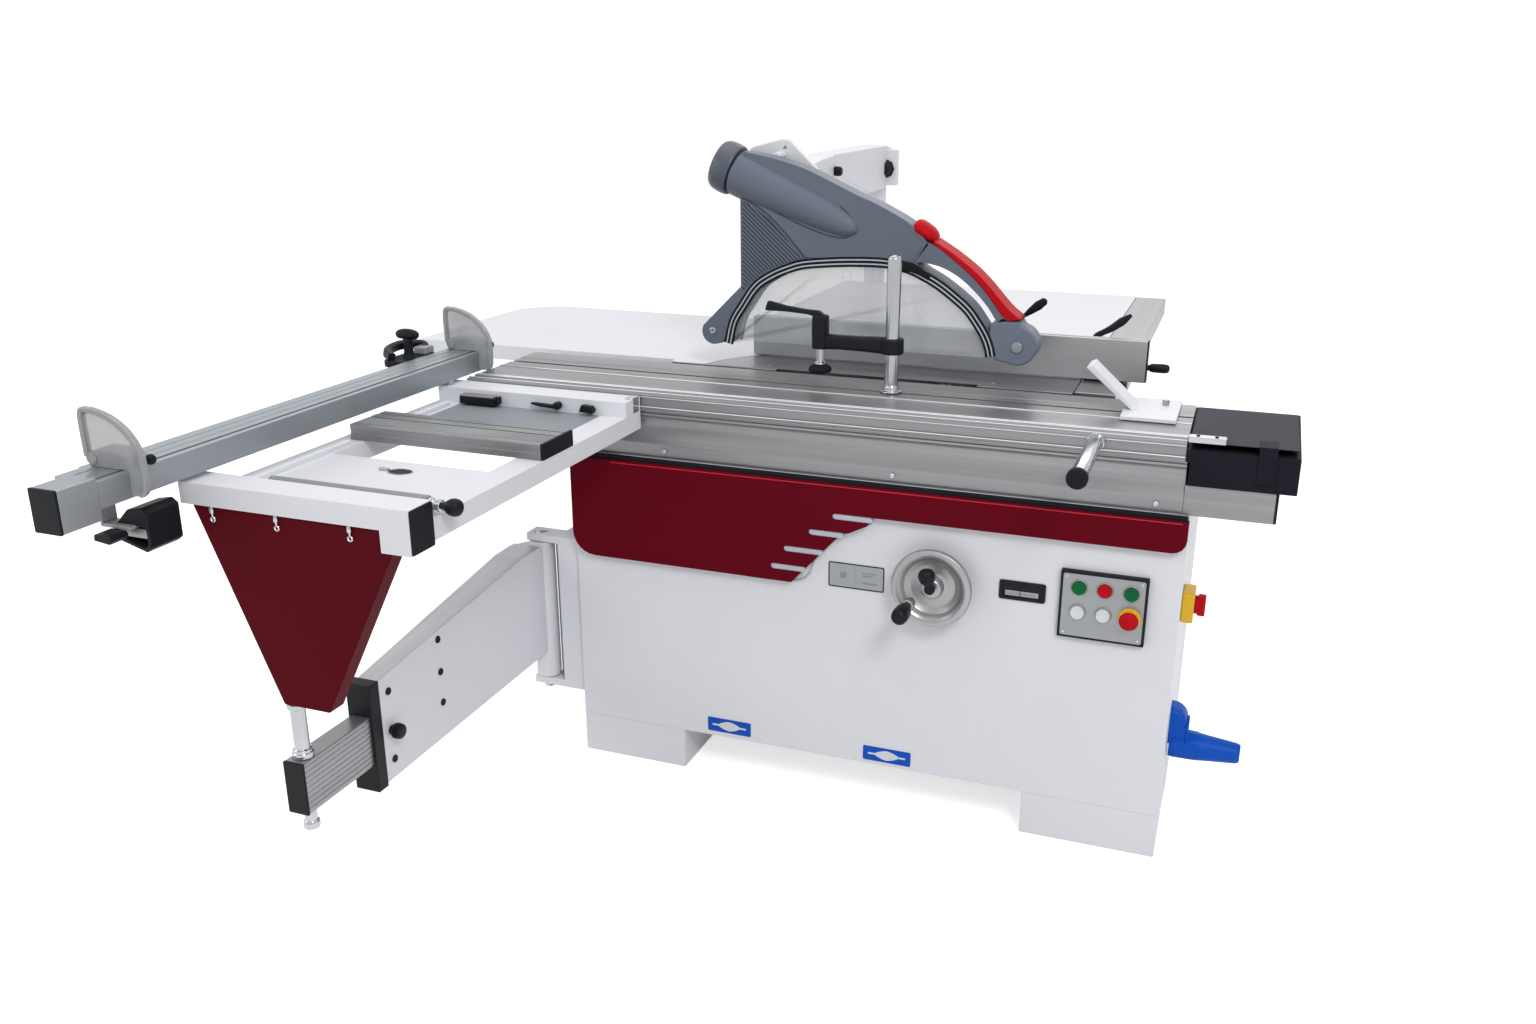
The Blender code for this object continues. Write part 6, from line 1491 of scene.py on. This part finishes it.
class PANELSAW_OT_tables(bpy.types.Operator):
    """Finish the main, side and outfeed tables, with the table insert, its screws and a white cover on the
    main table's left corner
    """

    bl_idname = "panel_saw.tables"
    bl_label = "Tables"

    def execute(self, context):
        refined("main_table", "iron", 0.0015)
        for node in ("side_table", "outfeed_table"):
            refined(node, "white", sizes().edge)
        low, high = span("main_table")
        top = high[2]
        insert = rounded_outline((0.33, low[1] + 0.012), (0.9, low[1] + 0.052), 0.012)
        piece("table_insert", prism(insert, "Z", top - 0.0006, top + 0.0003), "alu_x", "machine", 0.0002)
        places = [(x, low[1] + 0.036, top + 0.0002) for x in (0.345, 0.885)]
        bolt_heads("insert_screws", places, "Z", 1, "machine", 0.0045, 0.0008)
        corner = np.array([(low[0] + 0.0005, low[1] + 0.0005), (0.186, low[1] + 0.0005), (0.196, 0.35),
            (0.204, 0.374), (0.22, 0.402), (0.242, 0.436), (0.262, 0.46), (0.281, 0.479), (0.3, 0.51),
            (0.3, high[1] - 0.0005), (low[0] + 0.0005, high[1] - 0.0005)])
        piece("table_corner", prism(corner, "Z", top - 0.0012, top + 0.0006), "white", "machine", 0.0002)
        return {"FINISHED"}


class PANELSAW_OT_swing_arm(bpy.types.Operator):
    """Make the swing arm, its bracket, pivot and collar, the ribbed inner arm and the support post"""

    bl_idname = "panel_saw.swing_arm"
    bl_label = "Swing arm"

    def execute(self, context):
        refined("swing_arm", "white", 0.0022, 3)
        refined("arm_bracket", "white", 0.0018)
        refined("arm_collar", "black", 0.0018, 3)
        low, high = span("pivot_pin")
        x, y, _ = (low + high) / 2
        length, r = high[2] - low[2], (high[0] - low[0]) / 2
        pin = [(0, 0), (r * 0.75, 0), (r * 0.95, 0.003), (r, 0.008), (r, length - 0.006),
            (r * 0.93, length - 0.002), (r * 0.5, length), (0, length)]
        piece("pivot_pin_bar", turned(pin, "Z", (x, y, low[2]), 48), "chrome", "machine",
            replaces="pivot_pin")
        arm_screws()
        arm_top_and_foot()
        inner_arm()
        support_post()
        return {"FINISHED"}


def arm_screws():
    """Two rows of dark screws on the arm's right face, with a knob as the near row's middle one."""
    face = -0.1
    dark = turned(mm((0, 2.2), (3.2, 2.2), (3.6, 3.4), (6.6, 3.4), (7.8, 2.2), (7.8, -1), (0, -1)), "X",
        (0, 0, 0), 24, 0.0004)
    places = [(face, -0.43, z) for z in (0.457, 0.383, 0.312)] + [(face, -0.605, z)
        for z in (0.419, 0.269)]
    piece("arm_screws", copies(dark, places), "black", "swing_arm")
    knob = mm((0, -1), (10, -1), (10, 6), (15, 8), (16.5, 14), (15, 24), (12, 27), (0, 28))
    piece("arm_knob_grip", turned(knob, "X", (face, -0.605, 0.334), 48, 0.002), "black", "swing_arm")


def arm_top_and_foot():
    """A bright plate that follows the arm's top, a grey web in the bracket and the nut under the pivot."""
    y = np.array([-0.634, -0.36, -0.086, -0.084, 0.0])
    z = np.interp(y, (-0.635, -0.085, 0.01), (0.452, 0.515, 0.515))
    left = np.interp(y, (-0.645, -0.015), (-0.148, -0.175)) + 0.003
    right = -0.1015 + 0 * y
    loops = [(left, z - 0.002), (right, z - 0.002), (right, z + 0.0008), (left, z + 0.0008)]
    points = np.stack([np.stack([x, y, height], -1) for x, height in loops], 1)
    piece("arm_top_plate", grid(points, wrap_columns=True, caps=True), "arm_top", "swing_arm", 0.0005)
    web = block((-0.0825, 0.041, 0.171), (-0.0602, 0.095, 0.524))
    piece("bracket_web", web, "grey_floor", "machine", 0.001)
    low, high = span("pivot_pin")
    x, y, _ = (low + high) / 2
    nut = turned(mm((0, -13), (12, -13), (14.5, -10), (14.5, -1), (0, -1)), "Z", (x, y, low[2]), 6,
        0.0008)
    piece("pivot_nut", nut, "chrome", "machine")


def inner_arm():
    """The ribbed inner arm with a thick black plate on its near end."""
    low, high = span("inner_arm")
    left, right, bottom, top = low[0], high[0], low[2], high[2]
    count = 9
    pitch = (top - bottom - 0.01) / count
    side = []
    for i in range(count):
        z = bottom + 0.005 + i * pitch
        side += [(right, z), (right, z + pitch * 0.62), (right - 0.0012, z + pitch * 0.7),
            (right - 0.0012, z + pitch * 0.92)]
    other = [(left + right - x, z) for x, z in side][::-1]
    outline = [(left + 0.002, bottom), (right - 0.002, bottom), *side, (right, top - 0.002),
        (right - 0.002, top), (left + 0.002, top), (left, top - 0.002), *other]
    piece("inner_arm_shell", prism(upright(outline), "Y", low[1] + 0.0045, high[1]), "alu_y", "inner_arm",
        0.0004, 2, 25, replaces="inner_arm")
    cap = rounded_outline((bottom - 0.0006, left - 0.0006), (top + 0.0006, right + 0.0006), 0.003)
    piece("inner_arm_cap", prism(cap, "Y", low[1], low[1] + 0.0048), "black", "inner_arm", 0.0012)


def support_post():
    """The chrome post: a sleeve with a groove and a chamfered top, a thin rod below it and a round foot."""
    low, high = span("support_post")
    x, y, r = (low[0] + high[0]) / 2, (low[1] + high[1]) / 2, (high[0] - low[0]) / 2
    length = high[2] - low[2]
    sleeve = 0.388 + 0.0006 - low[2]
    upper = [(0, sleeve), (r, sleeve), (r, sleeve + 0.01), (r - 0.0022, sleeve + 0.0115),
        (r - 0.0022, sleeve + 0.016), (r * 0.72, sleeve + 0.018), (r * 0.72, length - 0.012),
        (r * 0.94, length - 0.01), (r * 0.94, length - 0.002), (r * 0.88, length), (0, length)]
    piece("support_post_bar", turned(upper, "Z", (x, y, low[2]), 48, 0.001), "chrome", "inner_arm",
        replaces="support_post")
    under = 0.2825 - low[2]
    lower = [(0, 0), (0.015, 0), (0.0155, 0.003), (0.0155, 0.011), (0.014, 0.015), (0.012, 0.017),
        (0.0118, 0.02), (0.0118, under), (0, under)]
    piece("support_post_foot", turned(lower, "Z", (x, y, low[2]), 40, 0.001), "chrome", "inner_arm")
    bolt = turned([(0, under - 0.01), (0.014, under - 0.01), (0.015, under - 0.008),
        (0.015, under - 0.001), (0, under - 0.001)], "Z", (x, y, low[2]), 6, 0.0006)
    piece("support_post_nut", bolt, "chrome", "inner_arm")


class PANELSAW_OT_rip_fence(bpy.types.Operator):
    """Make the rip fence, its rail, carrier and lever"""

    bl_idname = "panel_saw.rip_fence"
    bl_label = "Rip fence"

    def execute(self, context):
        low, high = span("rip_fence")
        front, rear, bottom, top = low[1], high[1], low[2], high[2]
        outline = [(front + 0.001, bottom), (rear, bottom), (rear, bottom + 0.02),
            (rear - 0.004, bottom + 0.022), (rear - 0.004, bottom + 0.034), (rear, bottom + 0.036),
            (rear, top - 0.001), (rear - 0.001, top), (front + 0.016, top), (front + 0.0155, top - 0.004),
            (front + 0.0085, top - 0.004), (front + 0.008, top), (front + 0.001, top),
            (front, top - 0.001), (front, bottom + 0.001)]
        piece("rip_fence_shell", prism(outline, "X", low[0], high[0] - 0.003), "fence_x", "rip_fence",
            0.0004, 2, 25, replaces="rip_fence")
        cap = rounded_outline((front, bottom), (rear, top), 0.003)
        piece("rip_fence_cap", prism(cap, "X", high[0] - 0.0032, high[0]), "black", "rip_fence", 0.0008)
        refined("rip_rail", "alu_y", 0.0022, 3)
        refined("rip_carrier", "alu_x", 0.0035, 3)
        rip_lever()
        carrier_fittings()
        return {"FINISHED"}


def rip_lever():
    """A black hub across the carrier's face, with a thin stick and a fat rounded grip."""
    low, high = span("rip_lever")
    _, y, z = (low + high) / 2
    x, r = low[0] + 0.012, 0.012
    hub = [(0, -r), (r * 0.9, -r), (r, -r + 0.002), (r, r - 0.002), (r * 0.9, r), (0, r)]
    piece("rip_lever_hub", turned(hub, "Y", (x, y, z), 40, 0.0012), "black", "rip_lever",
        replaces="rip_lever")
    stick = mm((0, 6), (5, 6), (4.4, 22), (7, 28), (10.2, 34), (10.8, 60), (9.6, 70), (5, 73.5), (0, 74))
    piece("rip_lever_grip", turned(stick, "X", (x, y, z), 40, 0.003), "black", "rip_lever")


def carrier_fittings():
    """On the rip carrier: a raised cover and a dark lever, and on the rail a lower grip with its shaft."""
    low, high = span("rip_carrier")
    x, y, top = low[0], high[1], high[2]
    cover = prism(upright([(x + 0.004, top), (high[0] - 0.006, top), (high[0] - 0.012, top + 0.02),
        (x + 0.03, top + 0.034), (x + 0.01, top + 0.03)]), "Y", low[1] + 0.01, y - 0.012)
    piece("rip_carrier_cover", cover, "alu_y", "rip_carrier", 0.003, 3)
    path = smooth_path([(x + 0.03, low[1] + 0.02, top + 0.026), (x + 0.02, low[1] + 0.03, top + 0.04),
        (x + 0.052, low[1] + 0.052, top + 0.058), (x + 0.09, low[1] + 0.074, top + 0.086)], 30)
    grow = np.interp(np.linspace(0, 1, 30), [0, 0.1, 0.5, 0.85, 1], [0.6, 1.0, 0.8, 1.2, 0.5])
    piece("rip_carrier_lever", swept(path, capsule(0.008, 0.0055)[None] * grow[:, None, None]), "black",
        "rip_carrier")
    low, high = span("rip_rail")
    grip = mm((0, 0), (4, 0), (4, 12), (8.5, 16), (9.2, 34), (7, 40), (0, 41))
    piece("rail_grip", turned(grip, "X", (high[0], low[1] + 0.03, low[2] + 0.025), 40, 0.002), "black",
        "machine")


class PANELSAW_OT_handwheel(bpy.types.Operator):
    """Make the handwheel with its hub knob, and the crank handle"""

    bl_idname = "panel_saw.handwheel"
    bl_label = "Handwheel"

    def execute(self, context):
        x, z, front = 0.855, 0.56, -0.048
        rim = mm((0, 21), (24, 21), (30, 24), (48, 22.5), (60, 15), (66.5, 6), (72, 1.2), (78, 0),
            (84, 2.4), (86, 8), (85, 14), (80, 20), (70, 26), (40, 34), (30, 35.5), (30, 47.6), (0, 47.6))
        piece("handwheel_rim", turned(rim, "Y", (x, front, z), 96, 0.0018), "wheel", "handwheel",
            replaces="handwheel")
        hub = mm((0, 1), (19, 1), (22.5, 4), (23.5, 11), (25, 22.5), (0, 22.5))
        piece("handwheel_hub", turned(hub, "Y", (x, front, z), 64, 0.0016), "wheel", "handwheel")
        knob = mm((0, -24), (8, -23), (11.2, -17), (10.8, -6), (7.5, -2), (7.5, 4), (0, 4))
        piece("handwheel_lock", turned(knob, "Y", (x + 0.002, front, z + 0.006), 40, 0.002), "black",
            "handwheel")
        wing = smooth_path([(x + 0.001, front - 0.016, z + 0.008), (x - 0.001, front - 0.019, z + 0.022),
            (x - 0.003, front - 0.022, z + 0.036), (x - 0.004, front - 0.024, z + 0.052)], 16)
        grow = np.interp(np.linspace(0, 1, 16), [0, 0.25, 0.5, 0.75, 0.92, 1],
            [0.42, 0.5, 0.92, 1.0, 0.85, 0.45])
        piece("handwheel_wing", swept(wing, ring_points(24, 0.018)[None] * grow[:, None, None]), "black",
            "handwheel")
        low, high = span("crank_handle")
        cx, cz = (low[0] + high[0]) / 2, (low[2] + high[2]) / 2
        lug = mm((0, -3.2), (11, -3.2), (13, -1), (13, 20), (0, 20))
        piece("crank_lug", turned(lug, "Y", (cx, front, cz), 48), "wheel", "handwheel")
        length = high[1] - low[1]
        grip = [(0, 0), (0.011, 0.001), (0.0165, 0.006), (0.018, 0.02), (0.0174, 0.038), (0.014, 0.056),
            (0.0095, length - 0.004), (0.0085, length), (0, length)]
        piece("crank_grip", turned(grip, "Y", (cx, low[1], cz), 56, 0.003), "black", "crank",
            replaces="crank_handle")
        return {"FINISHED"}


class PANELSAW_OT_controls(bpy.types.Operator):
    """Make the control panel, its six buttons, the main switch and the power connector"""

    bl_idname = "panel_saw.controls"
    bl_label = "Controls"

    def execute(self, context):
        control_plate()
        for name, colour_name in (("start", "green"), ("stop", "signal"), ("scorer", "green"),
                ("lamp", "ivory"), ("reset", "ivory")):
            push_button(name, colour_name)
        emergency_button()
        main_switch()
        power_connector()
        return {"FINISHED"}


def control_plate():
    """The black frame and, on it, a pale plate with a ring round each button."""
    low, high = span("control_panel")
    refined("control_panel", "black", 0.0015)
    inset, front = 0.0055, low[1]
    outline = rounded_outline((low[2] + inset, low[0] + inset), (high[2] - inset, high[0] - inset), 0.004)
    piece("control_plate", prism(outline, "Y", front - 0.001, front + 0.0004), "plate", "machine", 0.0004)
    places = [((a[0] + b[0]) / 2, front - 0.0009, (a[2] + b[2]) / 2) for a,
        b in (span("button_" + n) for n in ("start", "stop", "scorer", "lamp", "reset"))]
    ring = turned(mm((14.6, 0), (17.6, 0), (17.6, -1.2), (16.6, -2.4), (15, -2.4), (14.6, -1.6),
        (14.6, 0)), "Y", (0, 0, 0), 40, 0.0003)
    piece("button_rings", copies(ring, places), "plate", "machine")
    inset = 0.0125
    corners_at = [(x, front - 0.0009, z) for x in (low[0] + inset, high[0] - inset)
        for z in (low[2] + inset, high[2] - inset)]
    bolt_heads("control_screws", corners_at, "Y", -1, "machine", 0.0028, 0.0014)


def push_button(name, colour_name):
    """A round button with a dished face and a softened rim."""
    low, high = span("button_" + name)
    x, _, z = (low + high) / 2
    r, length = (high[0] - low[0]) / 2, high[1] - low[1]
    profile = [(0, 0.0022), (r * 0.45, 0.0018), (r * 0.74, 0.0006), (r * 0.86, 0), (r * 0.97, 0.0014),
        (r * 0.97, length), (0, length)]
    piece(f"button_{name}_cap", turned(profile, "Y", (x, low[1], z), 48, 0.0012), colour_name,
        f"button_{name}", replaces="button_" + name)


def emergency_button():
    """The red mushroom on its yellow collar."""
    low, high = span("button_emergency")
    x, z, r, near = (low[0] + high[0]) / 2, (low[2] + high[2]) / 2, (high[0] - low[0]) / 2, low[1]
    profile = [(0, 0), (r * 0.45, 0.0005), (r * 0.8, 0.003), (r * 0.98, 0.007), (r, 0.01),
        (r * 0.92, 0.0122), (0.0125, 0.0125), (0.0125, high[1] - near), (0, high[1] - near)]
    piece("button_emergency_cap", turned(profile, "Y", (x, near, z), 56, 0.003), "signal",
        "button_emergency", replaces="button_emergency")
    front = span("control_panel")[0][1]
    collar = mm((13.2, 0), (22.5, 0), (22.5, -2), (20.5, -5), (15, -6.2), (13.2, -6.2), (13.2, 0))
    piece("emergency_collar", turned(collar, "Y", (x, front - 0.0006, z), 56, 0.0006), "yellow",
        "machine")


def main_switch():
    """The yellow box with rounded corners, and the red knob with its bar."""
    low, high = span("switch_plate")
    outline = rounded_outline((low[1], low[2]), (high[1], high[2]), 0.008)
    piece("switch_box", prism(outline, "X", low[0], high[0]), "yellow", "machine", 0.003, 3, 42,
        replaces="switch_plate")
    klow, khigh = span("switch_knob")
    y, z, r = (klow[1] + khigh[1]) / 2, (klow[2] + khigh[2]) / 2, 0.019
    base = [(0, 0), (r, 0), (r, 0.006), (r * 0.93, 0.008), (0, 0.008)]
    piece("switch_knob_base", turned(base, "X", (klow[0], y, z), 56), "signal", "switch",
        replaces="switch_knob")
    bar = rounded_outline((y - 0.0125, z - 0.021), (y + 0.0125, z + 0.021), 0.005)
    piece("switch_bar", prism(bar, "X", klow[0] + 0.006, khigh[0]), "signal", "switch", 0.0018, 3, 42)


def power_connector():
    """The blue inlet: a socket with a round lid, and the plug's tapered sleeve below it, fluted at its socket
    end.
    """
    x, y, z, r = span("power_inlet")[0][0], 0.15, 0.235, 0.034
    body = [(0, 0), (r, 0), (r, 0.006), (r * 0.86, 0.008), (r * 0.86, 0.034), (r * 0.95, 0.036),
        (r * 0.95, 0.04), (0, 0.04)]
    piece("inlet_socket", turned(body, "X", (x, y, z), 56, 0.0012), "blue", "machine",
        replaces="power_inlet")
    lid = mm((0, 0), (24, 1), (30, 6), (32, 16), (32, 48), (28, 56), (0, 58))
    piece("inlet_lid", turned(lid, "Y", (x + 0.004, y - 0.0285, z + 0.024), 48, 0.003), "blue", "machine")
    slope = math.radians(1)
    ahead = np.array([math.cos(slope), 0, -math.sin(slope)])
    start = np.array([x + 0.003, y, z - 0.034])
    t = np.linspace(0, 1, 40)
    path = start + 0.1448 * t[:, None] * ahead
    radius = np.interp(t, [0, 0.06, 0.34, 0.42, 0.5, 0.62, 0.96, 1.0],
        [0.03, 0.0318, 0.031, 0.0302, 0.0286, 0.0268, 0.022, 0.019])
    flutes = 1 + 0.035 * np.cos(9 * np.linspace(0, 2 * np.pi, 72,
        endpoint=False))[None] * (t < 0.4)[:, None]
    section = ring_points(72)[None] * (radius[:, None] * flutes)[..., None]
    piece("plug_sleeve", swept(path, section), "blue", "machine")


BLADE_PLANE = 0.34


class PANELSAW_OT_saw_unit(bpy.types.Operator):
    """Make the two blades, and finish the trunnion, saw bed and motor"""

    bl_idname = "panel_saw.saw_unit"
    bl_label = "Saw unit"

    def execute(self, context):
        toothed_blade("saw_blade", "blade", 48, 0.0055, 0.03)
        toothed_blade("scoring_blade", "scorer", 24, 0.004, 0.018)
        refined("trunnion", "rough_iron", 0.0025, 3)
        refined("saw_bed", "rough_iron", 0.0025, 3)
        motor()
        return {"FINISHED"}


def toothed_blade(node, body, teeth, tooth, flange):
    """A disc whose rim radius climbs as a saw-tooth of the angle, with a turned flange through it."""
    low, high = span(node)
    x, _, z = (low + high) / 2
    r, thick = (high[0] - low[0]) / 2 - 0.0002, 0.003
    turn = np.linspace(0, 2 * np.pi, teeth * 6, endpoint=False)
    share = (turn * teeth / (2 * np.pi)) % 1
    rim = r - tooth * np.where(share < 0.7, 1 - share / 0.7, (share - 0.7) / 0.3)
    outline = np.stack([z + rim * np.sin(turn), x + rim * np.cos(turn)], -1)
    middle = BLADE_PLANE
    disc_mesh = prism(outline, "Y", middle - thick / 2, middle + thick / 2)
    piece(node + "_disc", disc_mesh, body, body, replaces=node)
    hub = [(0, low[1] - middle), (flange * 0.5, low[1] - middle), (flange * 0.55, -0.0017),
        (flange, -0.0017), (flange, 0.004), (flange * 0.8, high[1] - middle), (0, high[1] - middle)]
    piece(node + "_flange", turned(hub, "Y", (x, middle, z), 48, 0.0006), "steel", body)


def motor():
    """The motor: a finned drum with a wider fan cover at its end."""
    low, high = span("motor")
    x, z, near = (low[0] + high[0]) / 2, (low[2] + high[2]) / 2, low[1]
    turn = np.linspace(0, 2 * np.pi, 180, endpoint=False)
    length, r = high[1] - near, (high[0] - low[0]) / 2
    depth = np.array([0, 0.004, 0.022, 0.024, length - 0.05, length - 0.048, length - 0.012, length])
    base = np.array([0.55, 0.92, 0.94, 0.86, 0.86, 0.97, 0.97, 0.8]) * r
    fins = np.array([0, 0, 0, 1, 1, 0, 0, 0]) * r * 0.12
    rim = base[:, None] + fins[:, None] * (np.sin(30 * turn)[None] > 0.2)
    points = laid(rim * np.cos(turn), rim * np.sin(turn), depth[:, None] + 0 * turn,
        "Y") + np.array([x, near, z])
    piece("motor_drum", grid(points, wrap_columns=True, caps=True), "guard", "saw_unit", replaces="motor")


CAMERA_LENS = 30.3
CAMERA_PLACE = (0.97614, -2.8512, 1.57)
CAMERA_TURN = (71.436, 0, 20.604)
LOOK_AT = (0, 0, 0.6)
# each soft light's name, place, target, size and power
LIGHTS = (("key", (2.6, -3.6, 4.2), LOOK_AT, 1.5, 112), ("fill", (-4.2, -3.0, 3.0), LOOK_AT, 3.0, 52),
    ("back", (0.5, 4.0, 3.4), LOOK_AT, 3.0, 26), ("top", (-0.4, 0.2, 4.6), (-0.2, 0.2, 0.9), 3.2, 48))


def soft_light(name, place, target, size, power):
    """A square area lamp that looks at a target."""
    lamp = bpy.data.lights.new(name, "AREA")
    lamp.size = size
    lamp.energy = power
    obj = bpy.data.objects.new(name, lamp)
    obj.location = Vector(place)
    obj.rotation_euler = (Vector(target) - Vector(place)).to_track_quat("-Z", "Y").to_euler()
    bpy.context.scene.collection.objects.link(obj)
    return obj


class PANELSAW_OT_stage(bpy.types.Operator):
    """Set the pale floor, the soft studio light and the camera"""

    bl_idname = "panel_saw.stage"
    bl_label = "Stage"

    def execute(self, context):
        floor = bpy.data.objects.new("floor", mesh_from(*floor_shape()))
        context.scene.collection.objects.link(floor)
        floor.data.materials.append(floor_finish())
        make_world(context.scene)
        for light in LIGHTS:
            soft_light(*light)
        lens = bpy.data.cameras.new("camera")
        lens.lens = CAMERA_LENS
        lens.sensor_width = 36
        lens.clip_end = 100
        camera = bpy.data.objects.new("camera", lens)
        camera.location = CAMERA_PLACE
        camera.rotation_euler = [math.radians(a) for a in CAMERA_TURN]
        context.scene.collection.objects.link(camera)
        context.scene.camera = camera
        context.scene.view_settings.view_transform = "Standard"
        return {"FINISHED"}


def floor_shape():
    """A flat square just under the plinths."""
    corners = mm((-12000, -12000, -0.5), (12000, -12000, -0.5), (12000, 12000, -0.5),
        (-12000, 12000, -0.5))
    return corners - CORNER, [[0, 1, 2, 3]]


def background_rays(wiring):
    """1 for the rays that see the background: from the camera, off gloss and through clear pieces."""
    light_path = wiring.add("ShaderNodeLightPath").outputs
    direct = wiring.maths("MAXIMUM", light_path["Is Camera Ray"], light_path["Is Transmission Ray"])
    return wiring.maths("MAXIMUM", direct, light_path["Is Glossy Ray"])


def floor_finish():
    """A pale matt floor, lifted by a little white light of its own to the camera."""
    material, wiring, shader = start_material("Pale floor")
    shader.inputs["Base Color"].default_value = (0.8, 0.8, 0.8, 1)
    shader.inputs["Roughness"].default_value = 0.9
    shader.inputs["Emission Color"].default_value = (1, 1, 1, 1)
    wiring.link(wiring.maths("MULTIPLY", background_rays(wiring), 0.6), shader, "Emission Strength")
    return material


def make_world(scene):
    """A soft even sky, plain white to the camera."""
    world = bpy.data.worlds.new("studio")
    world.use_nodes = True
    scene.world = world
    wiring = Wiring(world.node_tree)
    background = world.node_tree.nodes["Background"]
    background.inputs["Color"].default_value = (1, 1, 1, 1)
    strength = wiring.between(background_rays(wiring), 0, 1, 0.55, 1.0)
    wiring.link(strength, background, "Strength")


OPERATORS = (
    PANELSAW_OT_finishes,
    PANELSAW_OT_cabinet,
    PANELSAW_OT_band,
    PANELSAW_OT_guide,
    PANELSAW_OT_carriage,
    PANELSAW_OT_crosscut_frame,
    PANELSAW_OT_fence,
    PANELSAW_OT_guard,
    PANELSAW_OT_guard_support,
    PANELSAW_OT_clamp,
    PANELSAW_OT_tables,
    PANELSAW_OT_swing_arm,
    PANELSAW_OT_rip_fence,
    PANELSAW_OT_handwheel,
    PANELSAW_OT_controls,
    PANELSAW_OT_saw_unit,
    PANELSAW_OT_stage,
)


class PANELSAW_PT_pieces(bpy.types.Panel):
    """The saw's pieces, in the order that they are made"""

    bl_idname = "PANELSAW_PT_pieces"
    bl_label = "Panel Saw"
    bl_space_type = "VIEW_3D"
    bl_region_type = "UI"
    bl_category = "Panel Saw"

    def draw(self, context):
        for group in (context.scene.panel_saw_colours, context.scene.panel_saw_sizes):
            for name in group.__annotations__:
                self.layout.prop(group, name)
        for operator in OPERATORS:
            self.layout.operator(operator.bl_idname)


CLASSES = (PanelSawColours, PanelSawSizes, *OPERATORS, PANELSAW_PT_pieces)


def register():
    for one in CLASSES:
        bpy.utils.register_class(one)
    bpy.types.Scene.panel_saw_colours = bpy.props.PointerProperty(type=PanelSawColours)
    bpy.types.Scene.panel_saw_sizes = bpy.props.PointerProperty(type=PanelSawSizes)


def unregister():
    del bpy.types.Scene.panel_saw_sizes
    del bpy.types.Scene.panel_saw_colours
    for one in reversed(CLASSES):
        bpy.utils.unregister_class(one)


def corners(box):
    """A box's two corners as plain lists."""
    return [[float(part) for part in corner] for corner in box]


def main():
    """Registers the classes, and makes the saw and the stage."""
    register()
    for operator in OPERATORS:
        group, name = operator.bl_idname.split(".")
        getattr(getattr(bpy.ops, group), name)()


if __name__ == "__main__":
    main()
